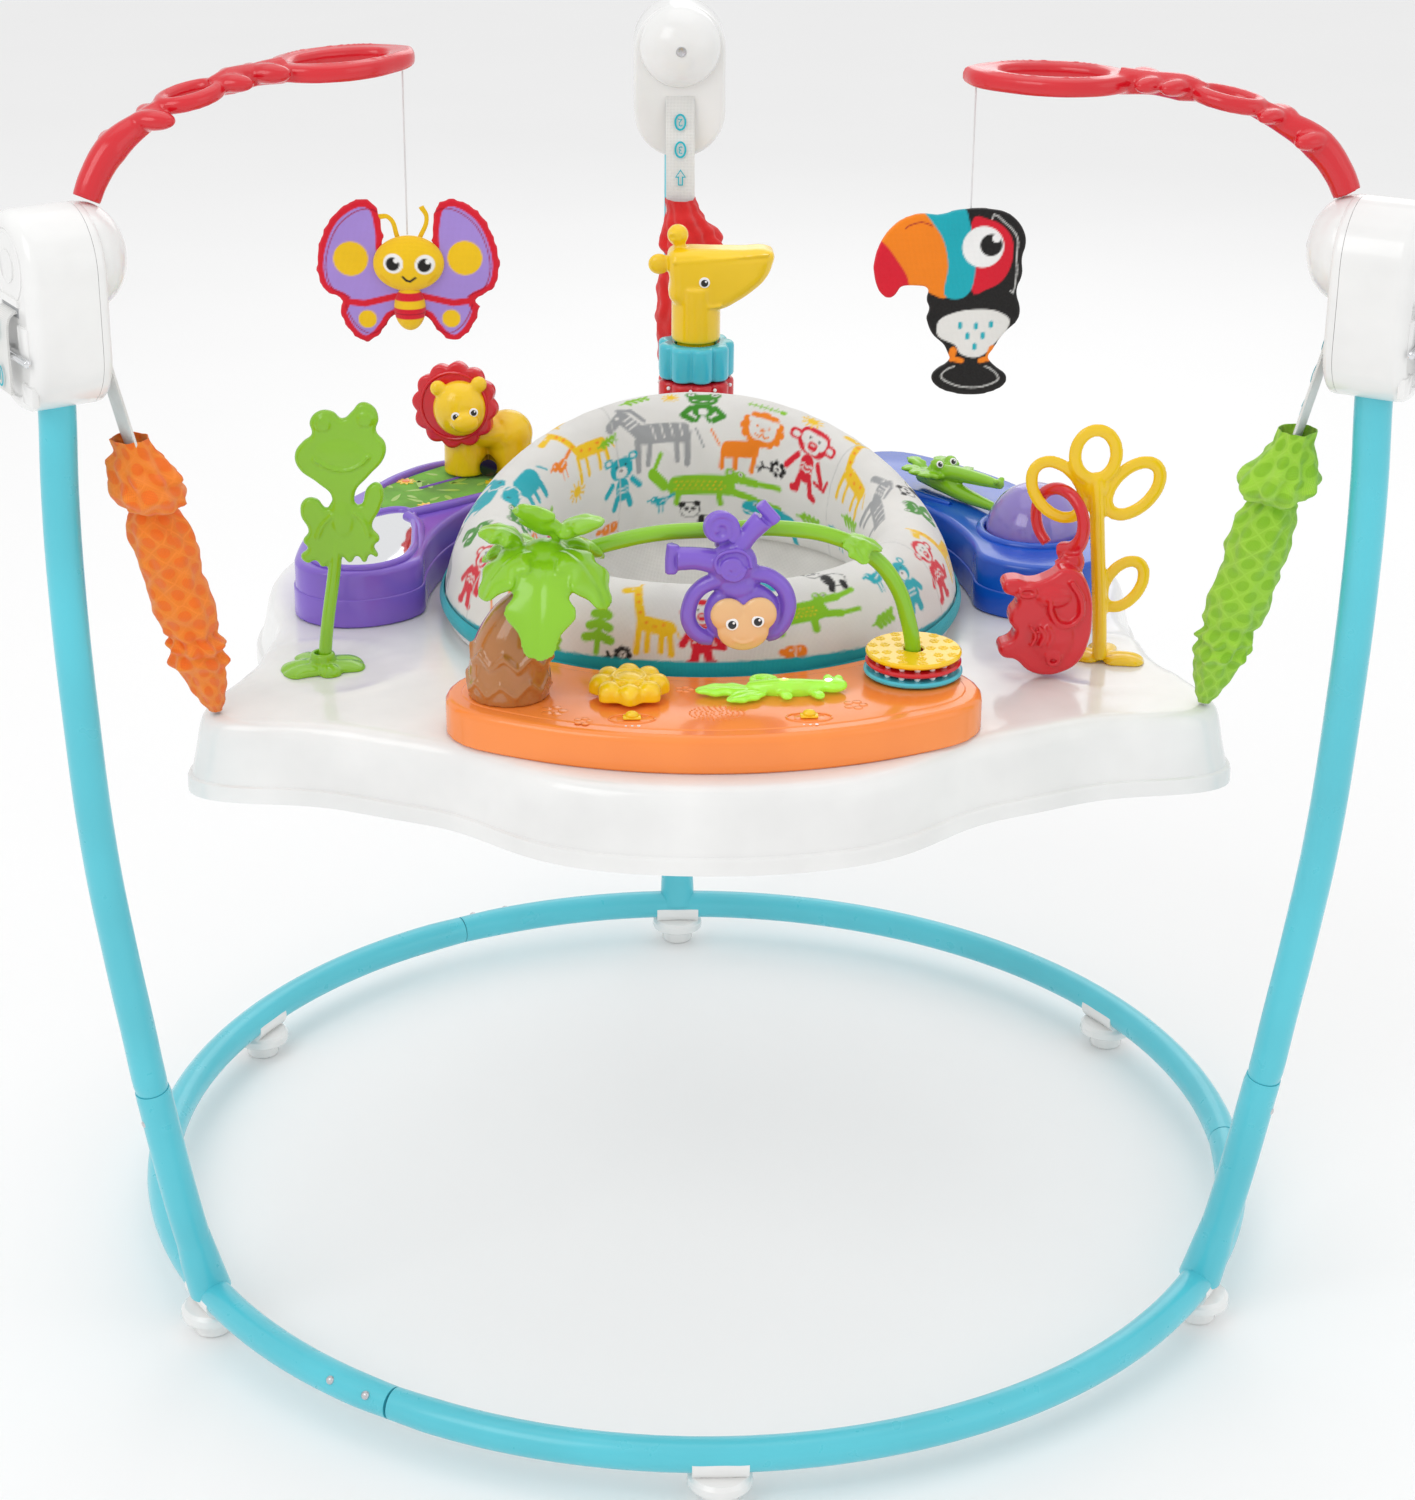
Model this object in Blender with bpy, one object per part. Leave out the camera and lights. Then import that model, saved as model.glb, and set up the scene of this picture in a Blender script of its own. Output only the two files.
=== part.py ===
"""Activity jumper: a tray with a spinning seat, hung on three sprung straps from a
three-post steel frame, with toys on the tray and two soft toys hung from red arms.

Metres, +Z up, floor at z = 0, front towards -Y. Every shape is laid out round the base
ring's centre, and the whole object is then slid along Y so that the origin is the middle
of its box.
"""
import math

import bmesh
import bpy
from mathutils import Matrix, Vector

# ---- driving dimensions -------------------------------------------------------------
RING_R = 0.420            # base ring, middle of its tube
TUBE_R = 0.0122           # frame tube
STUB_R = 0.0128           # swaged stub welded to the ring
RING_Z = 0.0350           # base ring, middle of its tube
SEAM_Z = 0.212            # stub meets upper post
POST_TOP_Z = 0.752        # upper post ends inside the pod
POST_ROUTE = [(0.420, 0.035), (0.4265, 0.062), (0.4385, 0.120), (0.4530, 0.205),
              (0.4615, 0.262), (0.4700, 0.322), (0.4795, 0.402), (0.4855, 0.500),
              (0.4885, 0.600), (0.4880, 0.660), (0.4855, 0.720), (0.4855, 0.760)]
SIDES = {"left": 210.0, "right": 330.0, "back": 90.0}
SECTION_START = -92.0     # a base section runs from here to 28 degrees past its post
SECTION_END = 28.0
SEAM_GAP_DEG = 0.03
SQUARE_END_DEG = 0.3      # short last step that keeps a tube's end square to the ring
FOOT_R = 0.0225           # wide pad of a foot
FOOT_STUB_R = 0.0135
FOOT_STEP_Z = 0.0125
GAP = 0.0003              # kept between pieces that touch

POD_HALF_W = 0.0385
POD_LOW_Z = 0.7175
POD_HIGH_Z = 0.8455
POD_INNER_R = 0.4600      # inner face, below the dome
POD_SEAM_R = 0.4665
POD_OUTER_R = 0.5120
POD_WALL = 0.0025
DOME_R = 0.0340
DOME_DEPTH = 0.0260
DOME_Z = 0.8110
ROD_R = 0.0025
ROD_HALF = 0.034
ROD_AT = (0.5152, 0.757)
STRAP_W = 0.025
STRAP_T = 0.0015
STRAP_OUT_R = 0.5193
SLOT_Z = 0.7700
LOBE_AT = (0.389, 0.4855)     # where a sleeve meets the tray
LINE_SLOPE = 0.2428           # radius gained per metre of height along a strap

TRAY_TOP_Z = 0.485
TRAY_LOW_Z = 0.430
TRAY_WALL = 0.003
TRAY_R = 0.345
LOBE_GROW = 0.066
LOBE_WIDTH_DEG = 8.0
WAIST_DEG = 27.0          # the skirt draws in this far to each side of a lobe
WAIST_DEPTH = 0.022
WAIST_WIDTH_DEG = 11.0
TRAY_HOLE_R = 0.169
SEAT_LOW_Z = 0.4935
SEAT_R = 0.190
SEAT_FRONT_H = 0.067
SEAT_BACK_H = 0.117
PANEL_TOP_Z = 0.512
PANEL_OUT_R = 0.308
PANEL_IN_R = 0.199
PANEL_HALF_DEG = 40.0
STATION_IN_R = 0.203
STATION_OUT_R = 0.298
STATION_TOP_Z = 0.528

ARM_ROOT = (0.4560, 0.8462)
ARM_ROUTE = [(0.0, 0.0), (0.006, 0.012), (0.020, 0.029), (0.046, 0.044), (0.080, 0.056),
             (0.115, 0.062), (0.140, 0.063)]
ARM_R = 0.0075
ARM_LOOP = (0.192, 0.0620)    # middle of the leaf-shaped loop: reach and rise
ARM_LOOP_HALF = (0.053, 0.030)
ARM_YAW = {"left": 6.0, "right": 14.5}
CORD_REACH = 0.237            # where a toy's cord leaves the arm
CORD_R = 0.0006

BUTTERFLY_LOW = 0.112         # cord length down to the butterfly
TOUCAN_LOW = 0.078

BACK_REACH = STRAP_OUT_R + STRAP_T / 2
FRONT_REACH = RING_R + FOOT_R
CENTRE_Y = (FRONT_REACH - BACK_REACH) / 2


def polar(azimuth, radius, z):
    """A point at an azimuth (degrees, +X is 0, +Y is 90) round the base ring's axis."""
    angle = math.radians(azimuth)
    return Vector((radius * math.cos(angle), CENTRE_Y + radius * math.sin(angle), z))


def at(x, y, z):
    """A point measured from the base ring's axis."""
    return Vector((x, y + CENTRE_Y, z))


def side_frame(azimuth):
    """Frame at a post: +X along the tangent, +Y outward, +Z up, origin on the ring's axis."""
    return Matrix.Translation((0, CENTRE_Y, 0)) @ Matrix.Rotation(math.radians(azimuth - 90), 4, "Z")


# ---- materials ----------------------------------------------------------------------
def material(name, colour, roughness=0.3, metallic=0.0):
    """A plain finish for one kind of piece."""
    mat = bpy.data.materials.get(name)
    if mat is None:
        mat = bpy.data.materials.new(name)
        mat.use_nodes = True
        shader = mat.node_tree.nodes["Principled BSDF"]
        shader.inputs["Base Color"].default_value = (*colour, 1.0)
        shader.inputs["Roughness"].default_value = roughness
        shader.inputs["Metallic"].default_value = metallic
    return mat


FINISH = {
    "turquoise": ((0.07, 0.60, 0.68), 0.35, 0.1),
    "white": ((0.87, 0.87, 0.86), 0.25, 0.0),
    "chrome": ((0.75, 0.76, 0.78), 0.15, 1.0),
    "webbing": ((0.80, 0.80, 0.78), 0.85, 0.0),
    "orange_cloth": ((0.95, 0.24, 0.02), 0.8, 0.0),
    "lime_cloth": ((0.32, 0.68, 0.06), 0.8, 0.0),
    "red_cloth": ((0.72, 0.02, 0.02), 0.8, 0.0),
    "red": ((0.70, 0.01, 0.02), 0.25, 0.0),
    "orange": ((1.00, 0.29, 0.06), 0.3, 0.0),
    "grey": ((0.35, 0.36, 0.37), 0.5, 0.0),
    "seat_cloth": ((0.80, 0.79, 0.76), 0.85, 0.0),
    "brown": ((0.42, 0.17, 0.05), 0.2, 0.0),
    "lime": ((0.28, 0.62, 0.02), 0.3, 0.0),
    "purple": ((0.20, 0.10, 0.58), 0.25, 0.0),
    "yellow": ((0.95, 0.62, 0.01), 0.3, 0.0),
    "blue": ((0.01, 0.10, 0.60), 0.3, 0.0),
    "sky": ((0.08, 0.60, 0.75), 0.3, 0.0),
    "lilac": ((0.45, 0.35, 0.85), 0.1, 0.0),
    "butterfly_cloth": ((0.30, 0.18, 0.62), 0.8, 0.0),
    "toucan_cloth": ((0.02, 0.02, 0.02), 0.8, 0.0),
}


# ---- mesh helpers -------------------------------------------------------------------
def mesh_of(bm):
    """Close a bmesh into a mesh with clean, outward faces."""
    bmesh.ops.remove_doubles(bm, verts=bm.verts[:], dist=1e-6)
    bmesh.ops.recalc_face_normals(bm, faces=bm.faces[:])
    mesh = bpy.data.meshes.new("shape")
    bm.to_mesh(mesh)
    bm.free()
    return mesh


def evaluated_mesh(obj):
    """The mesh that an object's modifiers or bevel make, in the object's own frame."""
    depsgraph = bpy.context.evaluated_depsgraph_get()
    return bpy.data.meshes.new_from_object(obj.evaluated_get(depsgraph))


def link(data, name="work"):
    obj = bpy.data.objects.new(name, data)
    bpy.context.scene.collection.objects.link(obj)
    return obj


def join_or_cut(mesh_a, mesh_b, operation):
    """Boolean of two meshes: UNION joins them, DIFFERENCE cuts the second from the first."""
    base = link(mesh_a)
    tool = link(mesh_b)
    modifier = base.modifiers.new("boolean", "BOOLEAN")
    modifier.operation = operation
    modifier.object = tool
    bpy.context.view_layer.update()
    result = evaluated_mesh(base)
    bpy.data.objects.remove(base)
    bpy.data.objects.remove(tool)
    bm = bmesh.new()
    bm.from_mesh(result)
    bmesh.ops.remove_doubles(bm, verts=bm.verts[:], dist=2e-6)
    bmesh.ops.dissolve_degenerate(bm, edges=bm.edges[:], dist=2e-6)
    bm.to_mesh(result)
    bm.free()
    return result


def piece(name, mesh, finish, origin=None, smooth_deg=40):
    """A named piece. origin is the point on its joint's axis, or the world origin."""
    colour, roughness, metallic = FINISH[finish]
    obj = link(mesh, name)
    if origin is not None:
        mesh.transform(Matrix.Translation(-origin))
        obj.location = origin
    mesh.materials.clear()
    mesh.materials.append(material(finish, colour, roughness, metallic))
    mesh.shade_smooth()
    mesh.set_sharp_from_angle(angle=math.radians(smooth_deg))
    return obj


def catmull(points, steps):
    """A smooth curve through the points, with a number of steps between each two."""
    pts = [Vector(p) for p in points]
    padded = [2 * pts[0] - pts[1]] + pts + [2 * pts[-1] - pts[-2]]
    route = []
    for i in range(1, len(padded) - 2):
        a, b, c, d = padded[i - 1:i + 3]
        for k in range(steps):
            t = k / steps
            route.append(0.5 * (2 * b + (c - a) * t + (2 * a - 5 * b + 4 * c - d) * t * t
                                + (3 * b - a - 3 * c + d) * t ** 3))
    route.append(pts[-1])
    return route


def tube_mesh(route, radius, resolution=2, closed=False, grow=None):
    """A bevelled curve made a mesh. grow gives each point's share of the radius."""
    curve = bpy.data.curves.new("tube", "CURVE")
    curve.dimensions = "3D"
    curve.bevel_depth = radius
    curve.bevel_resolution = resolution
    curve.use_fill_caps = not closed
    spline = curve.splines.new("POLY")
    spline.points.add(len(route) - 1)
    spline.use_cyclic_u = closed
    for i, point in enumerate(route):
        spline.points[i].co = (*point, 1.0)
        spline.points[i].radius = grow[i] if grow else 1.0
    obj = link(curve)
    bpy.context.view_layer.update()
    mesh = evaluated_mesh(obj)
    bpy.data.objects.remove(obj)
    bm = bmesh.new()
    bm.from_mesh(mesh)
    bpy.data.meshes.remove(mesh)
    return mesh_of(bm)


def slab(outline, low, high, bevel=0.0):
    """A flat outline (x, y) raised from z = low to z = high, its top edge bevelled."""
    bm = bmesh.new()
    verts = [bm.verts.new((x, y, low)) for x, y in outline]
    face = bm.faces.new(verts)
    lifted = bmesh.ops.extrude_face_region(bm, geom=[face])
    top = [v for v in lifted["geom"] if isinstance(v, bmesh.types.BMVert)]
    bmesh.ops.translate(bm, verts=top, vec=(0, 0, high - low))
    if bevel:
        rim = [e for e in bm.edges if all(v in top for v in e.verts)]
        bmesh.ops.bevel(bm, geom=rim, offset=bevel, segments=1, profile=0.5, affect="EDGES",
                        material=-1)
    return mesh_of(bm)


def standing_slab(outline, middle_y, thickness, bevel=0.0):
    """An outline in the X-Z plane, given its thickness along Y about middle_y."""
    mesh = slab(outline, -thickness / 2, thickness / 2, bevel)
    turn = Matrix.Translation((0, middle_y + CENTRE_Y, 0)) @ Matrix.Rotation(math.radians(90), 4, "X")
    mesh.transform(turn)
    return mesh


def turned(profile, segments, centre=None):
    """A profile of (radius, z) spun about the vertical axis. Ends at radius 0 are closed."""
    bm = bmesh.new()
    rings = []
    for radius, z in profile:
        if radius < 1e-6:
            rings.append([bm.verts.new((0, 0, z))])
            continue
        ring = []
        for k in range(segments):
            angle = 2 * math.pi * k / segments
            ring.append(bm.verts.new((radius * math.cos(angle), radius * math.sin(angle), z)))
        rings.append(ring)
    if profile[0][0] > 1e-6 and profile[-1][0] > 1e-6:
        rings.append(rings[0])
    for low, high in zip(rings, rings[1:]):
        for k in range(segments):
            n = (k + 1) % segments
            corners = [low[k % len(low)], low[n % len(low)], high[n % len(high)], high[k % len(high)]]
            bm.faces.new(list(dict.fromkeys(corners)))
    mesh = mesh_of(bm)
    if centre is not None:
        mesh.transform(Matrix.Translation(centre))
    return mesh


def thicken(bm, wall):
    """Give an open surface a wall by pushing a copy of it inwards and closing the rim."""
    bmesh.ops.recalc_face_normals(bm, faces=bm.faces[:])
    mesh = bpy.data.meshes.new("skin")
    bm.to_mesh(mesh)
    bm.free()
    obj = link(mesh)
    modifier = obj.modifiers.new("wall", "SOLIDIFY")
    modifier.thickness = wall
    modifier.offset = -1.0
    bpy.context.view_layer.update()
    result = evaluated_mesh(obj)
    bpy.data.objects.remove(obj)
    return result


def block(low, high):
    """A box between two corners."""
    low, high = Vector(low), Vector(high)
    bm = bmesh.new()
    bmesh.ops.create_cube(bm, size=1.0)
    bmesh.ops.scale(bm, verts=bm.verts[:], vec=high - low)
    bmesh.ops.translate(bm, verts=bm.verts[:], vec=(low + high) / 2)
    return mesh_of(bm)


def ball_mesh(centre, scale, segments=12, rings=8):
    bm = bmesh.new()
    bmesh.ops.create_uvsphere(bm, u_segments=segments, v_segments=rings, radius=1.0)
    bmesh.ops.scale(bm, verts=bm.verts[:], vec=scale)
    bmesh.ops.translate(bm, verts=bm.verts[:], vec=centre)
    return mesh_of(bm)


def scalloped(radius, petals, depth, points):
    """A round outline with petals, as (x, y)."""
    outline = []
    for k in range(points):
        angle = 2 * math.pi * k / points
        r = radius * (1 - depth * (0.5 - 0.5 * math.cos(petals * angle)))
        outline.append((r * math.cos(angle), r * math.sin(angle)))
    return outline


def mirrored(half):
    """An outline from its right half, listed bottom to top, and the same half mirrored."""
    return half + [(-x, z) for x, z in reversed(half) if abs(x) > 1e-6]


def moved(outline, dx, dz):
    return [(x + dx, z + dz) for x, z in outline]


def strap_radius(z):
    """Radius of the strap's straight run at a height."""
    return LOBE_AT[0] + (z - LOBE_AT[1]) * LINE_SLOPE


# ---- frame --------------------------------------------------------------------------
def post_points():
    """The post's own curve, as (radius, z), from the ring up to its top."""
    return catmull([(r, 0, z) for r, z in POST_ROUTE], 1)


def base_section(side, azimuth):
    """A third of the ring with its post stub welded on."""
    start = azimuth + SECTION_START + SEAM_GAP_DEG
    end = azimuth + SECTION_END - SEAM_GAP_DEG
    count = 18
    turns = [start + (end - start) * k / count for k in range(count + 1)]
    turns[1:1] = [start + SQUARE_END_DEG]
    turns[-1:-1] = [end - SQUARE_END_DEG]
    arc = [polar(turn, RING_R, RING_Z) for turn in turns]
    stub = [polar(azimuth, p.x, p.z) for p in post_points() if p.z < SEAM_Z - 0.02]
    stub.append(polar(azimuth, 0.4542, SEAM_Z - GAP))
    mesh = join_or_cut(tube_mesh(arc, TUBE_R), tube_mesh(stub, STUB_R), "UNION")
    piece(f"base_section_{side}", mesh, "turquoise")


def post(side, azimuth):
    """Upper post, from the stub up into the pod."""
    points = [p for p in post_points() if SEAM_Z + 0.02 < p.z < POST_TOP_Z - 0.01]
    route = [polar(azimuth, 0.4542, SEAM_Z)] + [polar(azimuth, p.x, p.z) for p in points]
    route.append(polar(azimuth, 0.4855, POST_TOP_Z))
    piece(f"post_{side}", tube_mesh(route, TUBE_R), "turquoise")


def foot(number, azimuth):
    """A stepped plastic foot under the ring."""
    top = RING_Z - TUBE_R - GAP
    profile = [(0, 0), (FOOT_STUB_R, 0), (FOOT_STUB_R, FOOT_STEP_Z), (FOOT_R, FOOT_STEP_Z + 0.001),
               (FOOT_R, top), (0, top)]
    piece(f"foot_{number}", turned(profile, 12, polar(azimuth, RING_R, 0)), "white")


def capsule(half_w, low, high, points=6):
    """A tall capsule outline in the tangent-height plane, as (x, z)."""
    outline = []
    for middle, start in ((high - half_w, 0), (low + half_w, 180)):
        for k in range(points + 1):
            angle = math.radians(start + 180 * k / points)
            outline.append((half_w * math.cos(angle), middle + half_w * math.sin(angle)))
    return outline


def capsule_bowl(steps):
    """An open bowl of capsule outline. steps lists (radius from the axis, inset), rim first."""
    bm = bmesh.new()
    rings = []
    for radius, inset in steps:
        outline = capsule(POD_HALF_W - inset, POD_LOW_Z + inset, POD_HIGH_Z - inset)
        rings.append([bm.verts.new((x, radius, z)) for x, z in outline])
    for a, b in zip(rings, rings[1:]):
        for k in range(len(a)):
            n = (k + 1) % len(a)
            bm.faces.new((a[k], a[n], b[n], b[k]))
    bm.faces.new(rings[-1])
    return bm


def pod(side, azimuth):
    """The two shells that clamp a post's top and guide its strap."""
    frame = side_frame(azimuth)
    outer = thicken(capsule_bowl([(POD_SEAM_R + GAP, 0), (POD_OUTER_R - 0.010, 0.0),
                                  (POD_OUTER_R - 0.003, 0.003), (POD_OUTER_R, 0.009)]), POD_WALL)
    post_hole = turned([(0, POD_LOW_Z - 0.01), (TUBE_R + 0.0006, POD_LOW_Z - 0.01),
                        (TUBE_R + 0.0006, POD_LOW_Z + 0.03), (0, POD_LOW_Z + 0.03)], 12,
                       Vector((0, 0.4855, 0)))
    outer = join_or_cut(outer, post_hole, "DIFFERENCE")
    exit_slot = block((-STRAP_W / 2 - 0.001, POD_OUTER_R - 0.02, 0.781),
                      (STRAP_W / 2 + 0.001, POD_OUTER_R + 0.01, 0.789))
    outer = join_or_cut(outer, exit_slot, "DIFFERENCE")
    outer.transform(frame)
    piece(f"pod_outer_{side}", outer, "white")

    inner = thicken(capsule_bowl([(POD_SEAM_R, 0), (POD_INNER_R + 0.003, 0.0),
                                  (POD_INNER_R, 0.004)]), POD_WALL)
    dome = ball_mesh((0, POD_INNER_R + 0.001, DOME_Z), (DOME_R, DOME_DEPTH, DOME_R), 14, 8)
    keep = block((-0.05, POD_INNER_R + 0.001, 0.7), (0.05, POD_INNER_R + 0.05, 0.9))
    dome = join_or_cut(dome, keep, "DIFFERENCE")
    inner = join_or_cut(inner, dome, "UNION")
    slot = block((-STRAP_W / 2 - 0.001, POD_INNER_R - 0.01, SLOT_Z - 0.006),
                 (STRAP_W / 2 + 0.001, POD_INNER_R + 0.004, SLOT_Z + 0.0055))
    inner = join_or_cut(inner, slot, "DIFFERENCE")
    inner.transform(frame)
    piece(f"pod_inner_{side}", inner, "white")


def adjuster_rod(side, azimuth):
    """Chrome rod that the strap's end loops over, held in the pod's notches."""
    route = [Vector((x, ROD_AT[0], ROD_AT[1])) for x in (-ROD_HALF, ROD_HALF)]
    mesh = tube_mesh(route, ROD_R)
    mesh.transform(side_frame(azimuth))
    piece(f"adjuster_rod_{side}", mesh, "chrome")


def ribbon(route, width, thickness):
    """A flat band along a route in the Y-Z plane, as wide as width along X."""
    bm = bmesh.new()
    rows = []
    for i, point in enumerate(route):
        ahead = route[min(i + 1, len(route) - 1)] - route[max(i - 1, 0)]
        normal = Vector((0, -ahead.z, ahead.y)).normalized() * thickness / 2
        corners = [(-width / 2, -1), (width / 2, -1), (width / 2, 1), (-width / 2, 1)]
        rows.append([bm.verts.new(point + Vector((x, 0, 0)) + normal * s) for x, s in corners])
    for a, b in zip(rows, rows[1:]):
        for k in range(4):
            n = (k + 1) % 4
            bm.faces.new((a[k], a[n], b[n], b[k]))
    bm.faces.new(rows[0])
    bm.faces.new(rows[-1])
    return mesh_of(bm)


def suspension(side, azimuth, cloth):
    """Strap, coil spring and gathered sleeve between a pod and the tray."""
    frame = side_frame(azimuth)
    points = [(strap_radius(z), z) for z in (0.662, 0.72, 0.764)]
    points += [(0.4625, 0.7725), (0.474, 0.7845), (0.505, 0.7850), (0.5160, 0.7835),
               (STRAP_OUT_R, 0.776), (STRAP_OUT_R, 0.757), (STRAP_OUT_R, 0.732)]
    strap = ribbon([Vector((0, r, z)) for r, z in points], STRAP_W, STRAP_T)
    strap.transform(frame)
    piece(f"strap_{side}", strap, "webbing")

    turns, per_turn, coil_r, wire_r = 6, 7, 0.0075, 0.0013
    low, high = LOBE_AT[1] + 0.012, 0.655
    helix = []
    for k in range(turns * per_turn + 1):
        z = low + (high - low) * k / (turns * per_turn)
        angle = 2 * math.pi * k / per_turn
        helix.append(Vector((coil_r * math.cos(angle), strap_radius(z) + coil_r * math.sin(angle), z)))
    spring = tube_mesh(helix, wire_r, 0)
    spring.transform(frame)
    piece(f"spring_{side}", spring, "chrome")

    bm = bmesh.new()
    rows = []
    sides = 8
    for z, radius in ((LOBE_AT[1] + 0.003, 0.0120), (0.515, 0.020), (0.545, 0.0235), (0.580, 0.021),
                      (0.650, 0.022), (0.688, 0.0175)):
        middle = Vector((0, strap_radius(z), z))
        row = []
        for k in range(sides):
            angle = 2 * math.pi * k / sides
            row.append(bm.verts.new(middle + Vector((radius * math.cos(angle),
                                                     radius * math.sin(angle), 0))))
        rows.append(row)
    for a, b in zip(rows, rows[1:]):
        for k in range(sides):
            n = (k + 1) % sides
            bm.faces.new((a[k], a[n], b[n], b[k]))
    sleeve = thicken(bm, 0.0010)
    sleeve.transform(frame)
    piece(f"sleeve_{side}", sleeve, cloth)


# ---- arms and hanging toys ----------------------------------------------------------
def arm_frame(side):
    """Frame of an arm: +Y runs inwards along it, origin at its root on the pod."""
    azimuth = SIDES[side]
    root = polar(azimuth, ARM_ROOT[0], ARM_ROOT[1])
    turn = Matrix.Rotation(math.radians(azimuth + 90 + ARM_YAW[side]), 4, "Z")
    return Matrix.Translation(root) @ turn


def arm(side):
    """Curved toy bar that ends in a leaf-shaped loop."""
    bar = tube_mesh(catmull([(0, y, z) for y, z in ARM_ROUTE], 2), ARM_R, 1)
    count = 16
    loop = []
    for k in range(count):
        angle = 2 * math.pi * k / count
        loop.append(Vector((ARM_LOOP_HALF[1] * math.cos(angle),
                            ARM_LOOP[0] + ARM_LOOP_HALF[0] * math.sin(angle), ARM_LOOP[1])))
    mesh = join_or_cut(bar, tube_mesh(loop, ARM_R, 1, closed=True), "UNION")
    mesh.transform(arm_frame(side))
    piece(f"toy_arm_{side}", mesh, "red")


def cord_top(side):
    return arm_frame(side) @ Vector((0, CORD_REACH, ARM_LOOP[1] - ARM_R - GAP))


def toy_cord(name, side, length):
    """Thin cord from an arm down to its soft toy."""
    top = cord_top(side)
    route = [top + Vector((0, 0, -length * k / 10)) for k in range(11)]
    piece(name, tube_mesh(route, CORD_R, 2), "webbing", top)


def butterfly():
    """Soft butterfly, its wings spread to face the front."""
    top = cord_top("left")
    half = [(0, 0), (0.018, -0.004), (0.040, -0.001), (0.050, 0.014), (0.046, 0.032), (0.062, 0.040),
            (0.067, 0.062), (0.060, 0.086), (0.046, 0.104), (0.028, 0.108), (0.020, 0.096),
            (0.014, 0.082), (0, 0.085)]
    outline = moved(mirrored(half), top.x, top.z - BUTTERFLY_LOW - 0.085 - GAP)
    mesh = standing_slab(outline, top.y - CENTRE_Y, 0.022, 0.004)
    piece("butterfly", mesh, "butterfly_cloth", top)


def toucan():
    """Soft toucan, its beak towards the left."""
    top = cord_top("right")
    outline = [(-0.012, -0.128), (0.030, -0.128), (0.036, -0.117), (0.024, -0.100), (0.030, -0.082),
               (0.040, -0.062), (0.036, -0.045), (0.041, -0.022), (0.034, -0.004), (0.016, 0.000),
               (-0.034, -0.002), (-0.056, -0.012), (-0.070, -0.035), (-0.068, -0.056),
               (-0.056, -0.050), (-0.040, -0.048), (-0.028, -0.052), (-0.024, -0.080),
               (-0.008, -0.100), (-0.022, -0.118)]
    outline = moved(outline, top.x, top.z - TOUCAN_LOW - GAP)
    mesh = standing_slab(outline, top.y - CENTRE_Y, 0.022, 0.004)
    piece("toucan", mesh, "toucan_cloth", top)


# ---- tray and seat ------------------------------------------------------------------
def tray_edge(azimuth):
    """Radius of the skirt's bottom edge: a lobe at each strap, with a waist beside it."""
    grow = 0.0
    for lobe in SIDES.values():
        off = (azimuth - lobe + 180) % 360 - 180
        grow += LOBE_GROW * math.exp(-(off / LOBE_WIDTH_DEG) ** 2)
        grow -= WAIST_DEPTH * math.exp(-((abs(off) - WAIST_DEG) / WAIST_WIDTH_DEG) ** 2)
    return TRAY_R + grow


def tray():
    """Moulded shell: flat top, rolled edge, flared skirt, and a collar round the seat."""
    count = 54
    bm = bmesh.new()
    columns = []
    for k in range(count):
        azimuth = 360 * k / count
        edge = tray_edge(azimuth)
        profile = [(TRAY_HOLE_R, TRAY_TOP_Z - 0.026), (TRAY_HOLE_R, TRAY_TOP_Z - 0.001),
                   (edge - 0.022, TRAY_TOP_Z), (edge - 0.012, TRAY_TOP_Z - 0.005),
                   (edge - 0.007, TRAY_TOP_Z - 0.018), (edge, TRAY_LOW_Z)]
        columns.append([bm.verts.new(polar(azimuth, r, z)) for r, z in profile])
    for k in range(count):
        a, b = columns[k], columns[(k + 1) % count]
        for j in range(len(a) - 1):
            bm.faces.new((a[j], a[j + 1], b[j + 1], b[j]))
    piece("tray", thicken(bm, TRAY_WALL), "white")


def crescent(inner, outer, start, end, steps):
    """A band outline between two radii, its ends rounded, as (x, y)."""
    points = []
    middle = (inner + outer) / 2
    half = (outer - inner) / 2
    for k in range(steps + 1):
        points.append((outer, start + (end - start) * k / steps))
    cap = math.degrees(half / middle)
    for k in range(1, 4):
        angle = math.radians(90 - 45 * k)
        points.append((middle + half * math.sin(angle), end + cap * 0.8 * math.cos(angle)))
    for k in range(steps + 1):
        points.append((inner, end + (start - end) * k / steps))
    for k in range(1, 4):
        angle = math.radians(-90 + 45 * k)
        points.append((middle + half * math.sin(angle), start - cap * 0.8 * math.cos(angle)))
    flat = [polar(azimuth, radius, 0) for radius, azimuth in points]
    return [(p.x, p.y) for p in flat]


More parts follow.
